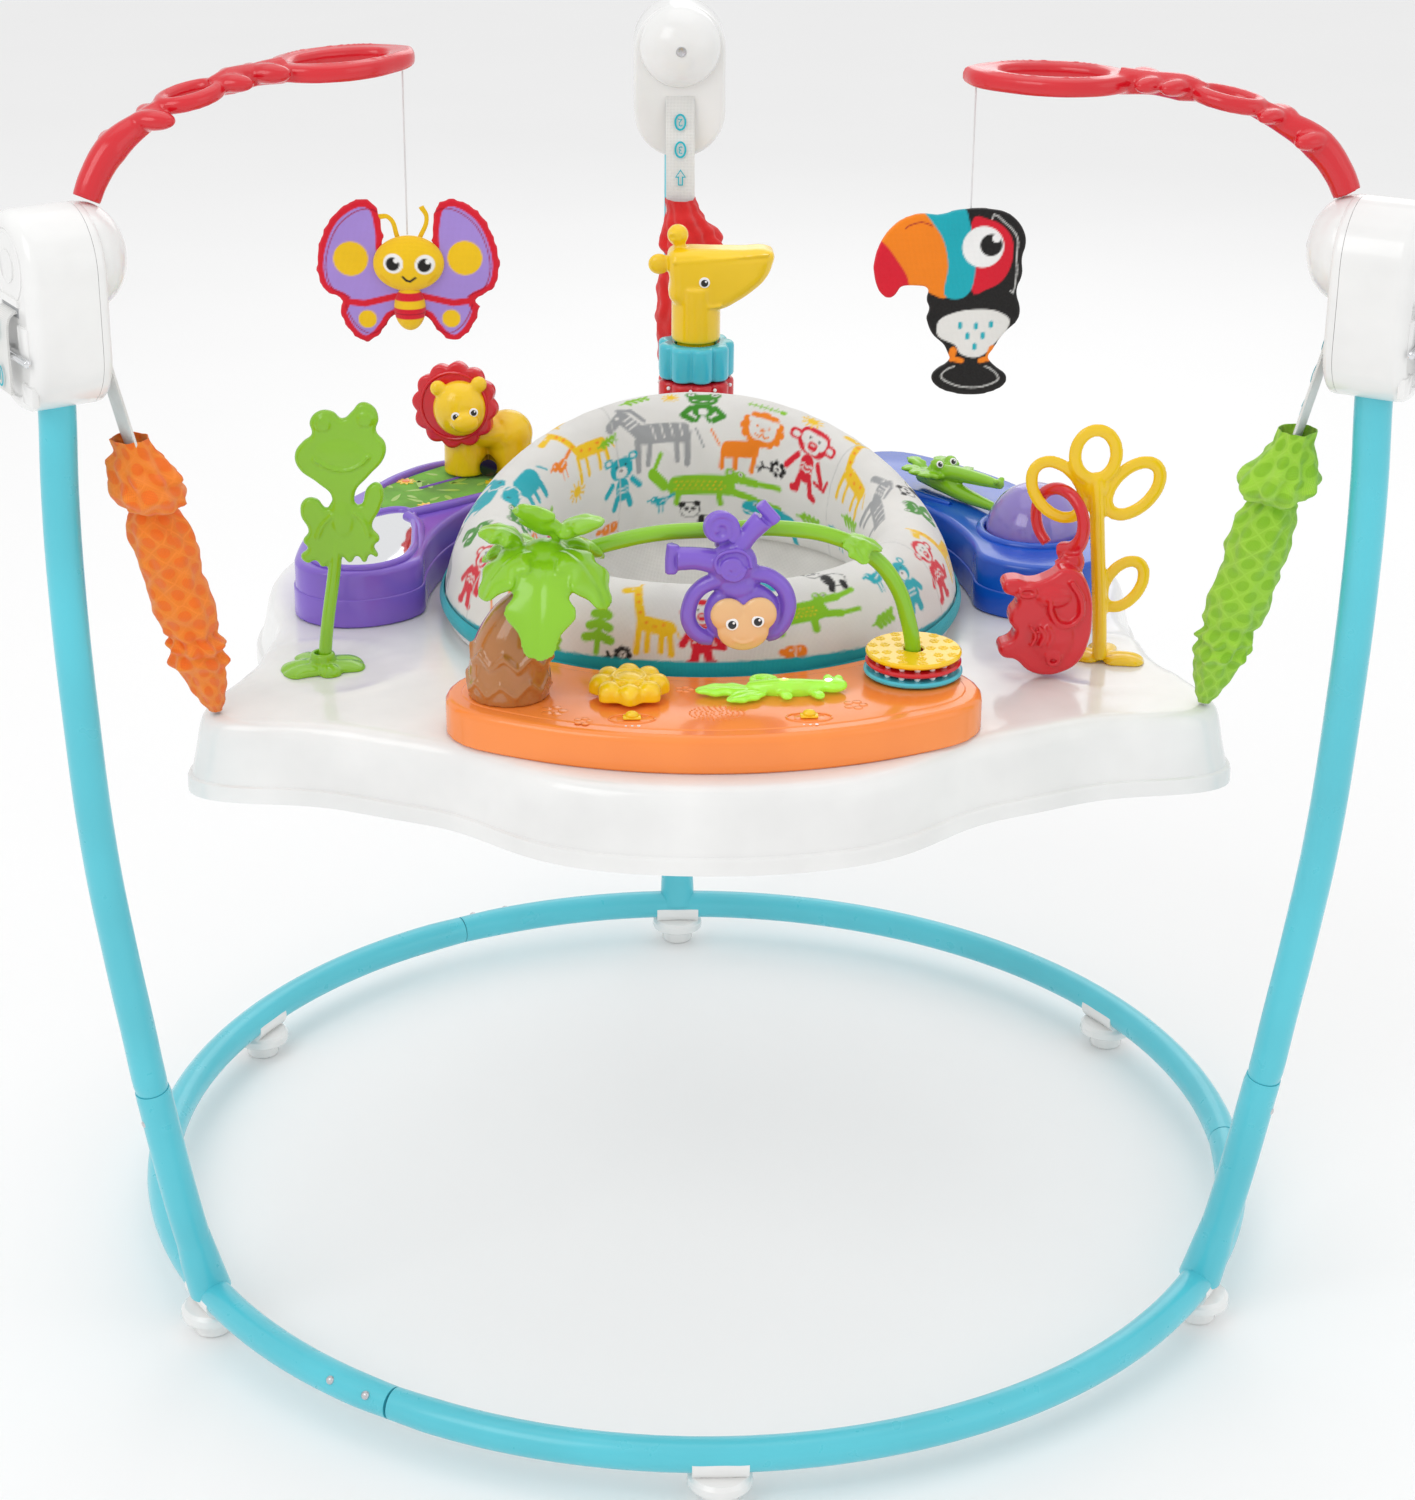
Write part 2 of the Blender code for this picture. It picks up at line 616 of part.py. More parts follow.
def tray_fittings():
    """Sound panel, the electronics box under it, and the two activity stations."""
    panel = slab(crescent(PANEL_IN_R, PANEL_OUT_R, 270 - PANEL_HALF_DEG + 9,
                          270 + PANEL_HALF_DEG - 9, 10), TRAY_TOP_Z + GAP, PANEL_TOP_Z, 0.003)
    piece("sound_panel", panel, "orange")
    box = block(at(-0.085, -0.300, 0.446), at(0.085, -0.195, TRAY_TOP_Z - TRAY_WALL - GAP))
    piece("battery_box", box, "grey")

    purple = slab(crescent(STATION_IN_R, STATION_OUT_R, 130, 180, 9),
                  TRAY_TOP_Z + GAP, STATION_TOP_Z, 0.003)
    piece("mirror_station", purple, "purple")
    blue = slab(crescent(STATION_IN_R, STATION_OUT_R, 0, 52, 9),
                TRAY_TOP_Z + GAP, STATION_TOP_Z, 0.003)
    socket = ball_mesh(at(*BALL_AT), (BALL_R + 0.0015,) * 3, 16, 10)
    blue = join_or_cut(blue, socket, "DIFFERENCE")
    piece("ball_station", blue, "blue")


def seat_height(azimuth):
    """Height of the padded ring: low in front, high as a backrest."""
    return SEAT_FRONT_H + (SEAT_BACK_H - SEAT_FRONT_H) * max(0.0, math.sin(math.radians(azimuth))) ** 1.3


def seat():
    """Bearing ring that turns in the tray, and the padded seat with its sling."""
    axis = at(0, 0, SEAT_LOW_Z)
    ring = turned([(0.153, 0.450), (TRAY_HOLE_R - 0.005, 0.450), (TRAY_HOLE_R - 0.005, TRAY_TOP_Z + 0.0012),
                   (0.186, TRAY_TOP_Z + 0.0012), (0.186, SEAT_LOW_Z - 0.0020),
                   (0.153, SEAT_LOW_Z - 0.0020)], 30, at(0, 0, 0))
    piece("seat_ring", ring, "white", axis)

    count = 28
    bm = bmesh.new()
    columns = []
    for k in range(count):
        azimuth = 360 * k / count
        h = seat_height(azimuth)
        profile = [(0.126, 0.0), (0.184, 0.0), (SEAT_R, 0.012), (0.183, 0.55 * h), (0.168, 0.86 * h),
                   (0.150, h), (0.132, 0.88 * h), (0.120, 0.5 * h)]
        columns.append([bm.verts.new(polar(azimuth, r, SEAT_LOW_Z + z)) for r, z in profile])
    for k in range(count):
        a, b = columns[k], columns[(k + 1) % count]
        for j in range(len(a)):
            n = (j + 1) % len(a)
            bm.faces.new((a[j], a[n], b[n], b[j]))
    pad = mesh_of(bm)

    bm = bmesh.new()
    count = 24
    rows = []
    for radius, z in ((0.138, 0.503), (0.124, 0.470), (0.118, 0.452), (0.108, 0.420), (0.092, 0.388),
                      (0.066, 0.362), (0.032, 0.350)):
        rows.append([bm.verts.new(polar(360 * k / count, radius, z)) for k in range(count)])
    for level, (a, b) in enumerate(zip(rows, rows[1:])):
        for k in range(count):
            azimuth = 360 * (k + 0.5) / count
            leg = 2 <= level <= 4 and (185 < azimuth < 250 or 290 < azimuth < 355)
            if not leg:
                n = (k + 1) % count
                bm.faces.new((a[k], a[n], b[n], b[k]))
    bm.faces.new(rows[-1])
    pad = join_or_cut(pad, thicken(bm, 0.003), "UNION")
    piece("seat_pad", pad, "seat_cloth", axis)


# ---- toys on the tray ---------------------------------------------------------------
SPIN_AT = (0.136, -0.200)
ARCH_Y = -0.205
MONKEY_AT = (0.015, ARCH_Y, 0.617)
FLOWER_AT = (-0.057, -0.238)
PRESS = 0.003             # travel of the flower button
STALK_CLEAR = 0.0016       # room for a stalk's foot as it sways
FROG_AT = (-0.270, -0.115, TRAY_TOP_Z + STALK_CLEAR)
LOOP_AT = (0.280, -0.115, TRAY_TOP_Z + STALK_CLEAR)
HOOK_AT = (0.248, -0.115, 0.5890)
BALL_AT = (0.252, 0.045, 0.528)
BALL_R = 0.036
LION_AT = (-0.168, 0.190)
CROC_AT = (0.178, 0.165)
CROC_END = (0.222, 0.094)
GIRAFFE_AT = (0.008, 0.300)


def panel_toys():
    """Palm tree with its arch, monkey, flower button, light and bead spinner."""
    trunk_route = [at(-0.137, -0.230, PANEL_TOP_Z + GAP), at(-0.137, -0.230, 0.520),
                   at(-0.134, -0.229, 0.540), at(-0.126, -0.227, 0.560), at(-0.116, -0.225, 0.574)]
    trunk = tube_mesh(trunk_route, 0.028, 3, grow=[1.0, 1.0, 0.94, 0.82, 0.62])
    top = 0.5745
    cap = block(at(-0.2, -0.3, top), at(0.0, -0.1, 0.65))
    trunk = join_or_cut(trunk, cap, "DIFFERENCE")
    foot_cut = block(at(-0.2, -0.3, 0.45), at(0.0, -0.1, PANEL_TOP_Z + GAP))
    trunk = join_or_cut(trunk, foot_cut, "DIFFERENCE")
    piece("palm_trunk", trunk, "brown")

    leaf = [(0.048 * (1.0 if k % 2 else 0.66) * math.cos(math.pi * k / 6),
             0.034 * (1.0 if k % 2 else 0.66) * math.sin(math.pi * k / 6)) for k in range(12)]
    crown = slab(leaf, top + 2 * GAP, 0.622, 0.012)
    crown.transform(Matrix.Translation(at(-0.100, -0.222, 0)))
    arch_route = catmull([at(-0.095, ARCH_Y, 0.598), at(-0.062, ARCH_Y, 0.611), at(-0.009, ARCH_Y, 0.617),
                          at(0.057, ARCH_Y, 0.616), at(0.097, ARCH_Y, 0.602), at(0.120, -0.204, 0.579),
                          at(0.132, -0.202, 0.550), at(0.1355, -0.200, 0.530),
                          at(0.136, -0.200, PANEL_TOP_Z + GAP)], 2)
    arch = join_or_cut(crown, tube_mesh(arch_route, 0.0055, 2), "UNION")
    piece("palm_arch", arch, "lime")

    x, y, z = MONKEY_AT
    body = [(-0.020, -0.082), (0.020, -0.082), (0.034, -0.066), (0.034, -0.044), (0.020, -0.032),
            (0.022, 0.012), (0.010, 0.024), (-0.010, 0.024), (-0.016, 0.008), (-0.040, -0.004),
            (-0.040, -0.024), (-0.022, -0.034), (-0.034, -0.048), (-0.034, -0.068)]
    monkey = standing_slab(moved(body, x + 0.004, z), y - 0.020, 0.022, 0.004)
    piece("monkey", monkey, "purple", at(*MONKEY_AT))

    petals = slab(scalloped(0.0275, 8, 0.14, 32), PANEL_TOP_Z + PRESS + GAP, 0.529, 0.003)
    petals.transform(Matrix.Translation(at(*FLOWER_AT, 0)))
    piece("flower_button", petals, "yellow", at(*FLOWER_AT, PANEL_TOP_Z))

    blob = [(0.048 * math.cos(a) + 0.006 * math.cos(3 * a), 0.019 * math.sin(a))
            for a in (2 * math.pi * k / 18 for k in range(18))]
    lizard = slab(blob, PANEL_TOP_Z + GAP, 0.521, 0.003)
    lizard.transform(Matrix.Translation(at(0.038, -0.236, 0)))
    piece("light_lizard", lizard, "lime")

    outer, bore = 0.034, 0.0065
    low = PANEL_TOP_Z + 0.0010
    spinner = turned([(bore, low), (outer, low), (outer, low + 0.003), (0.024, low + 0.0035),
                      (0.024, low + 0.0065), (0.033, low + 0.007), (0.033, low + 0.010),
                      (0.024, low + 0.0105), (0.033, low + 0.012), (0.033, low + 0.016),
                      (bore, low + 0.017)], 18, at(*SPIN_AT, 0))
    piece("bead_spinner", spinner, "yellow", at(*SPIN_AT, low))

    for name, x in (("volume_switch", -0.056), ("mode_switch", 0.060)):
        knob = block(at(x - 0.006, -0.281, PANEL_TOP_Z + GAP), at(x + 0.006, -0.273, PANEL_TOP_Z + 0.005))
        piece(name, knob, "yellow", at(x, -0.277, PANEL_TOP_Z))


def bat_at_toys():
    """Frog on a stalk, loop flower on a stem, and the elephant hooked on a loop."""
    x, y, z = FROG_AT
    stalk = tube_mesh([at(x, y, z), at(x + 0.003, y, z + 0.03), at(x + 0.008, y, z + 0.075)], 0.0045, 2)
    half = [(0, 0.055), (0.022, 0.062), (0.030, 0.070), (0.026, 0.096), (0.032, 0.112), (0.016, 0.112),
            (0.012, 0.124), (0.026, 0.140), (0.034, 0.150), (0.030, 0.170), (0.030, 0.184),
            (0.020, 0.192), (0, 0.186)]
    plate = standing_slab(moved(mirrored(half), x + 0.017, z), y, 0.007)
    frog = join_or_cut(plate, stalk, "UNION")
    piece("frog", frog, "lime", at(*FROG_AT))

    x, y, z = LOOP_AT
    stem = tube_mesh([at(x, y, z), at(x - 0.003, y, 0.53), at(x - 0.007, y, 0.60)], 0.0062, 2)
    flower = stem
    loops = ((0.2725, 0.628, 0.0150, 0.0270, 0, 0.0042), (0.2480, 0.609, 0.0270, 0.0200, -20, 0.0040),
             (0.3010, 0.612, 0.0280, 0.0185, 35, 0.0044), (0.2955, 0.546, 0.0170, 0.0160, 30, 0.0043))
    for cx, cz, rx, rz, tilt, wire in loops:
        count = 12
        turn = Matrix.Rotation(math.radians(tilt), 2)
        points = []
        for k in range(count):
            angle = 2 * math.pi * (k + 0.5) / count
            flat = turn @ Vector((rx * math.cos(angle), rz * math.sin(angle)))
            points.append(at(cx + flat.x, y + 3 * (wire - 0.0041), cz + flat.y))
        flower = join_or_cut(flower, tube_mesh(points, wire, 1, closed=True), "UNION")
    piece("loop_flower", flower, "yellow", at(*LOOP_AT))

    x, y, z = HOOK_AT
    ring_r, ring_wire, slant = 0.0220, 0.0042, math.radians(50)
    ring = []
    for k in range(14):
        angle = 2 * math.pi * (k + 0.5) / 14
        across = ring_r * math.cos(angle)
        ring.append(at(x + across * math.cos(slant), y - across * math.sin(slant),
                       z - 0.008 + ring_r * math.sin(angle)))
    ring = tube_mesh(ring, ring_wire, 1, closed=True)
    body = [(0.208, 0.490), (0.240, 0.490), (0.256, 0.502), (0.258, 0.540), (0.252, 0.562),
            (0.236, 0.564), (0.208, 0.556), (0.212, 0.538), (0.220, 0.528), (0.220, 0.512), (0.208, 0.504)]
    body = standing_slab(body, -0.136, 0.028, 0.005)
    piece("elephant", join_or_cut(body, ring, "UNION"), "red", at(*HOOK_AT))


def station_toys():
    """Lion on the mirror station's track, ball and crocodile on the ball station."""
    x, y = LION_AT
    low = STATION_TOP_Z + GAP
    body = [(-0.024, low), (0.040, low), (0.046, low + 0.030), (0.036, low + 0.046),
            (0.012, low + 0.046), (-0.024, low + 0.040)]
    body = standing_slab(moved(body, x, 0), y, 0.036, 0.006)
    mane = slab(scalloped(0.036, 12, 0.10, 36), -0.008, 0.008, 0.003)
    mane.transform(Matrix.Translation(at(x - 0.010, y - 0.020, low + 0.064))
                   @ Matrix.Rotation(math.radians(80), 4, "X"))
    piece("lion", join_or_cut(body, mane, "UNION"), "yellow", at(x, y, low))

    piece("spin_ball", ball_mesh(at(*BALL_AT), (BALL_R,) * 3, 14, 8), "lilac", at(*BALL_AT))

    start, end = Vector(CROC_AT), Vector(CROC_END)
    along = end - start
    croc = [(0, -0.013), (along.length * 0.6, -0.013), (along.length, -0.006), (along.length, 0.006),
            (along.length * 0.6, 0.013), (0, 0.013)]
    mesh = slab(croc, STATION_TOP_Z + 2 * GAP, STATION_TOP_Z + 0.014, 0.003)
    turn = Matrix.Rotation(math.atan2(along.y, along.x), 4, "Z")
    mesh.transform(Matrix.Translation(at(*CROC_AT, 0)) @ turn)
    piece("crocodile", mesh, "lime", at(*CROC_AT, STATION_TOP_Z))


def giraffe():
    """Giraffe head on a post through two scalloped rings."""
    x, y = GIRAFFE_AT
    post_r = 0.0155
    neck = turned([(0, TRAY_TOP_Z + 2 * GAP), (0.022, TRAY_TOP_Z + 2 * GAP), (0.022, 0.540),
                   (post_r, 0.542), (post_r, 0.6045), (0.024, 0.6050), (0.024, 0.636), (0, 0.638)],
                  16, at(x, y, 0))
    head = [(-0.022, 0.626), (0.022, 0.626), (0.048, 0.636), (0.064, 0.652), (0.066, 0.670),
            (0.000, 0.671), (-0.002, 0.690), (-0.014, 0.690), (-0.016, 0.672), (-0.040, 0.664),
            (-0.024, 0.656)]
    head = standing_slab(moved(head, x, 0), y, 0.038, 0.005)
    piece("giraffe", join_or_cut(neck, head, "UNION"), "yellow", at(x, y, TRAY_TOP_Z))
    for name, finish, low, high in (("neck_ring_red", "red", 0.5450, 0.5735),
                                    ("neck_ring_blue", "sky", 0.5745, 0.6035)):
        ring = slab(scalloped(0.0325, 10, 0.10, 40), low, high, 0.003)
        ring.transform(Matrix.Translation(at(x, y, 0)))
        hole = turned([(0, low - 0.01), (post_r + 0.001, low - 0.01), (post_r + 0.001, high + 0.01),
                       (0, high + 0.01)], 16, at(x, y, 0))
        piece(name, join_or_cut(ring, hole, "DIFFERENCE"), finish, at(x, y, low))


def main():
    for obj in list(bpy.data.objects):
        bpy.data.objects.remove(obj)
    cloths = {"left": "orange_cloth", "right": "lime_cloth", "back": "red_cloth"}
    for side, azimuth in SIDES.items():
        base_section(side, azimuth)
        post(side, azimuth)
        pod(side, azimuth)
        adjuster_rod(side, azimuth)
        suspension(side, azimuth, cloths[side])
    for number in range(6):
        foot(number + 1, 270 + 60 * number)
    arm("left")
    arm("right")
    toy_cord("butterfly_cord", "left", BUTTERFLY_LOW)
    toy_cord("toucan_cord", "right", TOUCAN_LOW)
    butterfly()
    toucan()
    tray()
    tray_fittings()
    seat()
    panel_toys()
    bat_at_toys()
    station_toys()
    giraffe()


main()
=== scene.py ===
# %% [markdown]
# # An activity jumper
# A baby sits in a padded seat that turns in a tray of toys. The tray hangs on three sprung
# straps from a steel frame, and two arms hold soft toys over it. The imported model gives
# every piece's place and motion. This lesson gives each of them its real surface, from the
# steel tubes to the printed seat cover. Blender's units are metres here.

# %% Load the fixed frame
from contextlib import contextmanager
from math import atan, atan2, cos, degrees, exp, hypot, pi, radians, sin

import bmesh
import bpy
from mathutils import Matrix, Vector, noise
from mathutils.kdtree import KDTree


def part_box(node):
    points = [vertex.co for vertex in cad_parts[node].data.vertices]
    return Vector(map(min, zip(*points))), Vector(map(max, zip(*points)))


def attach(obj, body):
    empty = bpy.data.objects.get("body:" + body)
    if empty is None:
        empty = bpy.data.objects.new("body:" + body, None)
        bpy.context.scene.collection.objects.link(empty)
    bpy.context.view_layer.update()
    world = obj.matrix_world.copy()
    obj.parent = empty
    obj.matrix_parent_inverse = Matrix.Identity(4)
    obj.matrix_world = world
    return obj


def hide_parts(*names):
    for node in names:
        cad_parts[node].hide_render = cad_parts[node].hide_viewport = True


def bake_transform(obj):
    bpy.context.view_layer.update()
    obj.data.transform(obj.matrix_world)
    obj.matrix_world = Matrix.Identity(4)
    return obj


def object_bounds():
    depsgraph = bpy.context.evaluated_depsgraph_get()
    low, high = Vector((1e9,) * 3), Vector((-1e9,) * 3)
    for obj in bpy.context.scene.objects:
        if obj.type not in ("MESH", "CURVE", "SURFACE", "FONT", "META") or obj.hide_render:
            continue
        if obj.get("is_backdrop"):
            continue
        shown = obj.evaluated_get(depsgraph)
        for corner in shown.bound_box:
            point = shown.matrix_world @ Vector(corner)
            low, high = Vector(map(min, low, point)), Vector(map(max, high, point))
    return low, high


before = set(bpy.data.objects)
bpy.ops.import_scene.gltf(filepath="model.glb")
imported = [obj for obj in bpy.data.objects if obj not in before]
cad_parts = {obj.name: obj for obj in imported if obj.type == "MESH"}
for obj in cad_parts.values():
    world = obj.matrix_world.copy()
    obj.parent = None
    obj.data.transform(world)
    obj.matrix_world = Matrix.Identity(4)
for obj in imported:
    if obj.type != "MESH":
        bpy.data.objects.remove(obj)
cad_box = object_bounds()
scene = bpy.context.scene
print("CAD box", [tuple(round(c, 3) for c in corner) for corner in cad_box])

# %% [markdown]
# Everything is laid out round one upright axis: the middle of the seat and of the base
# ring. The three posts stand round it at equal angles. Small functions turn a distance from
# that axis into a point, so no piece needs to know where the origin is, and space points
# evenly round a circle.

# %% Places round the axis
ring_low, ring_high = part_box("seat_ring")
AXIS = (ring_low + ring_high) / 2
SIDES = {"left": 210.0, "right": 330.0, "back": 90.0}
GAP = 0.0003  # air between pieces that rest on each other, in metres
MM = 1000  # millimetres in a metre


def angles(count):
    """Evenly spaced angles round a whole turn."""
    return [2 * pi * k / count for k in range(count)]


def circle(count, wide, tall=None, x=0.0, y=0.0):
    """Points evenly spaced round a circle or an oval about (x, y)."""
    tall = tall or wide
    return [(x + wide * cos(a), y + tall * sin(a)) for a in angles(count)]


def at(x, y, z):
    """A point measured from the axis, at a height above the floor."""
    return Vector((AXIS.x + x, AXIS.y + y, z))


def polar(azimuth, radius, z):
    """A point at an angle round the axis. Zero is +X and 90 degrees is the back."""
    angle = radians(azimuth)
    return at(radius * cos(angle), radius * sin(angle), z)


def side_frame(azimuth):
    """A post's own frame: X runs round the ring, Y outwards and Z up."""
    return Matrix.Translation(at(0, 0, 0)) @ Matrix.Rotation(radians(azimuth - 90), 4, "Z")


def lying(x, y, z, turn=0.0):
    """The place of a shape that lies flat: its own Z stays up."""
    return Matrix.Translation(at(x, y, z)) @ Matrix.Rotation(radians(turn), 4, "Z")


def facing(x, y, z, turn=0.0, lean=0.0):
    """The place of a shape drawn in X and Y that stands up and faces the front."""
    upright = Matrix.Rotation(radians(90 + lean), 4, "X")
    return lying(x, y, z, turn) @ upright


# %% [markdown]
# The camera stands in front and looks down a little, from about two metres away. A long
# lens keeps the far post nearly as large as the near ones. A small sideways shift puts the
# object in the middle of the picture without turning the camera.

# %% Camera
camera_data = bpy.data.cameras.new("camera")
camera_data.lens = 74.5
camera_data.shift_x = 0.0463
camera = bpy.data.objects.new("camera", camera_data)
camera.location = at(-0.0945, -2.1484, 1.2967)
camera.rotation_euler = (pi / 2 - 0.4069, 0, -0.0227)
scene.collection.objects.link(camera)
scene.camera = camera

# %% [markdown]
# A material is a recipe of nodes. Four short helpers keep the recipes readable: one starts
# a material, one adds a node with its inputs, one mixes two colours, and one stretches a
# texture's range. Each texture reads Object coordinates, so it is as large as the real one.

# %% Helpers for materials
LOOKS = {}


def start_look(name, slot=None):
    """A new material with its node tree and shader, kept under the record's slot name."""
    mat = bpy.data.materials.new(name)
    mat.use_nodes = True
    mat["slot"] = slot or name
    LOOKS[name] = mat
    return mat.node_tree, mat.node_tree.nodes["Principled BSDF"]


def feed(tree, socket, value):
    """Links a node's output to an input, or sets the input's own value."""
    if isinstance(value, bpy.types.NodeSocket):
        tree.links.new(value, socket)
    else:
        socket.default_value = value


def add_node(tree, kind, inputs=None, output=0, **settings):
    """Adds a node and gives back one of its outputs."""
    made = tree.nodes.new("ShaderNode" + kind)
    for key, value in settings.items():
        setattr(made, key, value)
    for key, value in (inputs or {}).items():
        feed(tree, made.inputs[key], value)
    return made.outputs[output]


def mix(tree, factor, first, second):
    """A colour between two others."""
    made = tree.nodes.new("ShaderNodeMix")
    made.data_type = "RGBA"
    for index, value in ((0, factor), (6, first), (7, second)):
        feed(tree, made.inputs[index], value)
    return made.outputs[2]


def stretch(tree, value, low, high, start=0.3, end=0.7):
    """A texture's middle range, spread from low to high."""
    return add_node(tree, "MapRange", {"Value": value, "From Min": start, "From Max": end,
                                       "To Min": low, "To Max": high})


def shade(colour, factor):
    """A colour made darker or lighter, with its alpha."""
    return (*[min(1.0, c * factor) for c in colour[:3]], 1.0)


def bumps(tree, layers, base=None):
    """Stacks bump layers of (height, strength, distance) and gives the last normal."""
    normal = base
    for height, strength, distance in layers:
        inputs = {"Height": height, "Strength": strength, "Distance": distance}
        if normal is not None:
            inputs["Normal"] = normal
        normal = add_node(tree, "Bump", inputs)
    return normal


# %% [markdown]
# Moulded plastic is the finish of most pieces here. Its colour drifts a little as the
# resin flows, its gloss is uneven, and long soft waves bend the reflections, with a fine
# grain on top. Noise at three sizes gives all four. Clear pieces let some light through.

# %% Plastic
def plastic(name, colour, rough=0.2, coat=0.35, through=0.0, wave=0.35, slot=None, glow=0.0,
            grain=0.05, drift=0.05):
    """Moulded plastic. through is the share of light that passes."""
    tree, shader = start_look(name, slot)
    spot = add_node(tree, "TexCoord", output="Object")
    flow = add_node(tree, "TexNoise", {"Vector": spot, "Scale": 16.0, "Detail": 3.0})
    fine = add_node(tree, "TexNoise", {"Vector": spot, "Scale": 1500.0, "Detail": 2.0})
    swirl = add_node(tree, "TexNoise", {"Vector": spot, "Scale": 38.0, "Detail": 1.0})
    wipe = add_node(tree, "TexNoise", {"Vector": spot, "Scale": 90.0, "Detail": 4.0})
    base = mix(tree, stretch(tree, flow, 0.0, 1.0), shade(colour, 1 - drift), shade(colour, 1 + drift))
    feed(tree, shader.inputs["Base Color"], base)
    feed(tree, shader.inputs["Roughness"], stretch(tree, wipe, rough * 0.8, rough * 1.3))
    feed(tree, shader.inputs["Normal"], bumps(tree, [(swirl, wave, 0.0008), (fine, grain, 0.0002)]))
    shader.inputs["Coat Weight"].default_value = coat
    shader.inputs["Coat Roughness"].default_value = 0.08
    shader.inputs["Transmission Weight"].default_value = through
    if glow:
        shader.inputs["Emission Color"].default_value = shade(colour, 1.0)
        shader.inputs["Emission Strength"].default_value = glow
    return LOOKS[name]


PLASTICS = {
    "white_plastic": (0.86, 0.86, 0.85), "tray_white": (0.84, 0.84, 0.83),
    "red_plastic": (0.66, 0.008, 0.018), "orange_plastic": (1.0, 0.27, 0.045),
    "lime_plastic": (0.25, 0.56, 0.012), "purple_plastic": (0.22, 0.11, 0.62),
    "yellow_plastic": (0.96, 0.62, 0.005), "blue_plastic": (0.004, 0.085, 0.56),
    "sky_plastic": (0.06, 0.55, 0.68), "tan_plastic": (0.86, 0.52, 0.24),
}
for look_name, look_colour in PLASTICS.items():
    plastic(look_name, look_colour)
# Grey plastic of the battery housing, also used as the painted shade in the pods' strap slots.
plastic("grey_plastic", (0.35, 0.36, 0.37), rough=0.5, coat=0.0)
plastic("trunk_brown", (0.5, 0.19, 0.045), rough=0.12, coat=0.6, through=0.12)
# The clear lime also has a painted glow: its whole surface gives off a faint light in its own colour.
plastic("clear_lime", (0.42, 0.86, 0.06), rough=0.12, coat=0.6, through=0.25, glow=0.22)
plastic("clear_lilac", (0.42, 0.32, 0.86), rough=0.06, coat=0.7, through=0.45)
plastic("eye_white", (0.95, 0.95, 0.95), rough=0.15, slot="white_plastic", wave=0.0)
plastic("eye_black", (0.006, 0.006, 0.008), rough=0.12, slot="black_print", wave=0.0)
print(len(LOOKS), "plastic finishes")

# %% [markdown]
# The tubes are steel under a thick turquoise powder coat, which dries with the faint
# pebbled skin called orange peel. The chrome rods and the springs are bare metal, with
# hairline marks drawn out along their length by a stretched noise.

# %% Paint and metal
def powder_coat(name, colour):
    """Painted steel with orange peel under a clear gloss."""
    tree, shader = start_look(name)
    spot = add_node(tree, "TexCoord", output="Object")
    peel = add_node(tree, "TexNoise", {"Vector": spot, "Scale": 420.0, "Detail": 2.0})
    cloud = add_node(tree, "TexNoise", {"Vector": spot, "Scale": 9.0, "Detail": 2.0})
    dust = add_node(tree, "TexNoise", {"Vector": spot, "Scale": 70.0, "Detail": 5.0})
    base = mix(tree, stretch(tree, cloud, 0.0, 1.0), shade(colour, 0.94), shade(colour, 1.06))
    feed(tree, shader.inputs["Base Color"], base)
    feed(tree, shader.inputs["Roughness"], stretch(tree, dust, 0.26, 0.4))
    feed(tree, shader.inputs["Normal"], bumps(tree, [(peel, 0.12, 0.0004)]))
    shader.inputs["Coat Weight"].default_value = 0.5
    shader.inputs["Coat Roughness"].default_value = 0.15


def bare_metal(name, colour, rough):
    """Polished or drawn steel with hairline marks."""
    tree, shader = start_look(name)
    spot = add_node(tree, "TexCoord", output="Object")
    drawn = add_node(tree, "Mapping", {"Vector": spot, "Scale": (1.0, 1.0, 0.05)})
    hair = add_node(tree, "TexNoise", {"Vector": drawn, "Scale": 1800.0, "Detail": 3.0})
    feed(tree, shader.inputs["Base Color"], mix(tree, hair, shade(colour, 0.9), shade(colour, 1.05)))
    feed(tree, shader.inputs["Roughness"], stretch(tree, hair, rough * 0.7, rough * 1.4))
    feed(tree, shader.inputs["Normal"], bumps(tree, [(hair, 0.05, 0.0001)]))
    shader.inputs["Metallic"].default_value = 1.0


powder_coat("turquoise_tube", (0.085, 0.57, 0.68))
bare_metal("chrome_rod", (0.8, 0.81, 0.83), 0.12)
bare_metal("spring_steel", (0.62, 0.62, 0.64), 0.3)
bare_metal("mirror_sheet", (0.88, 0.89, 0.91), 0.05)

# %% [markdown]
# Cloth is woven. Threads run across and along it, and each passes over and under the
# others, so the surface is a grid of tiny mounds. Two sine waves at right angles, in the
# cloth's own UV map in metres, give that grid at its true thread size. A soft sheen at
# grazing angles comes from loose fibres. A printed cloth adds a pattern of dots and net.

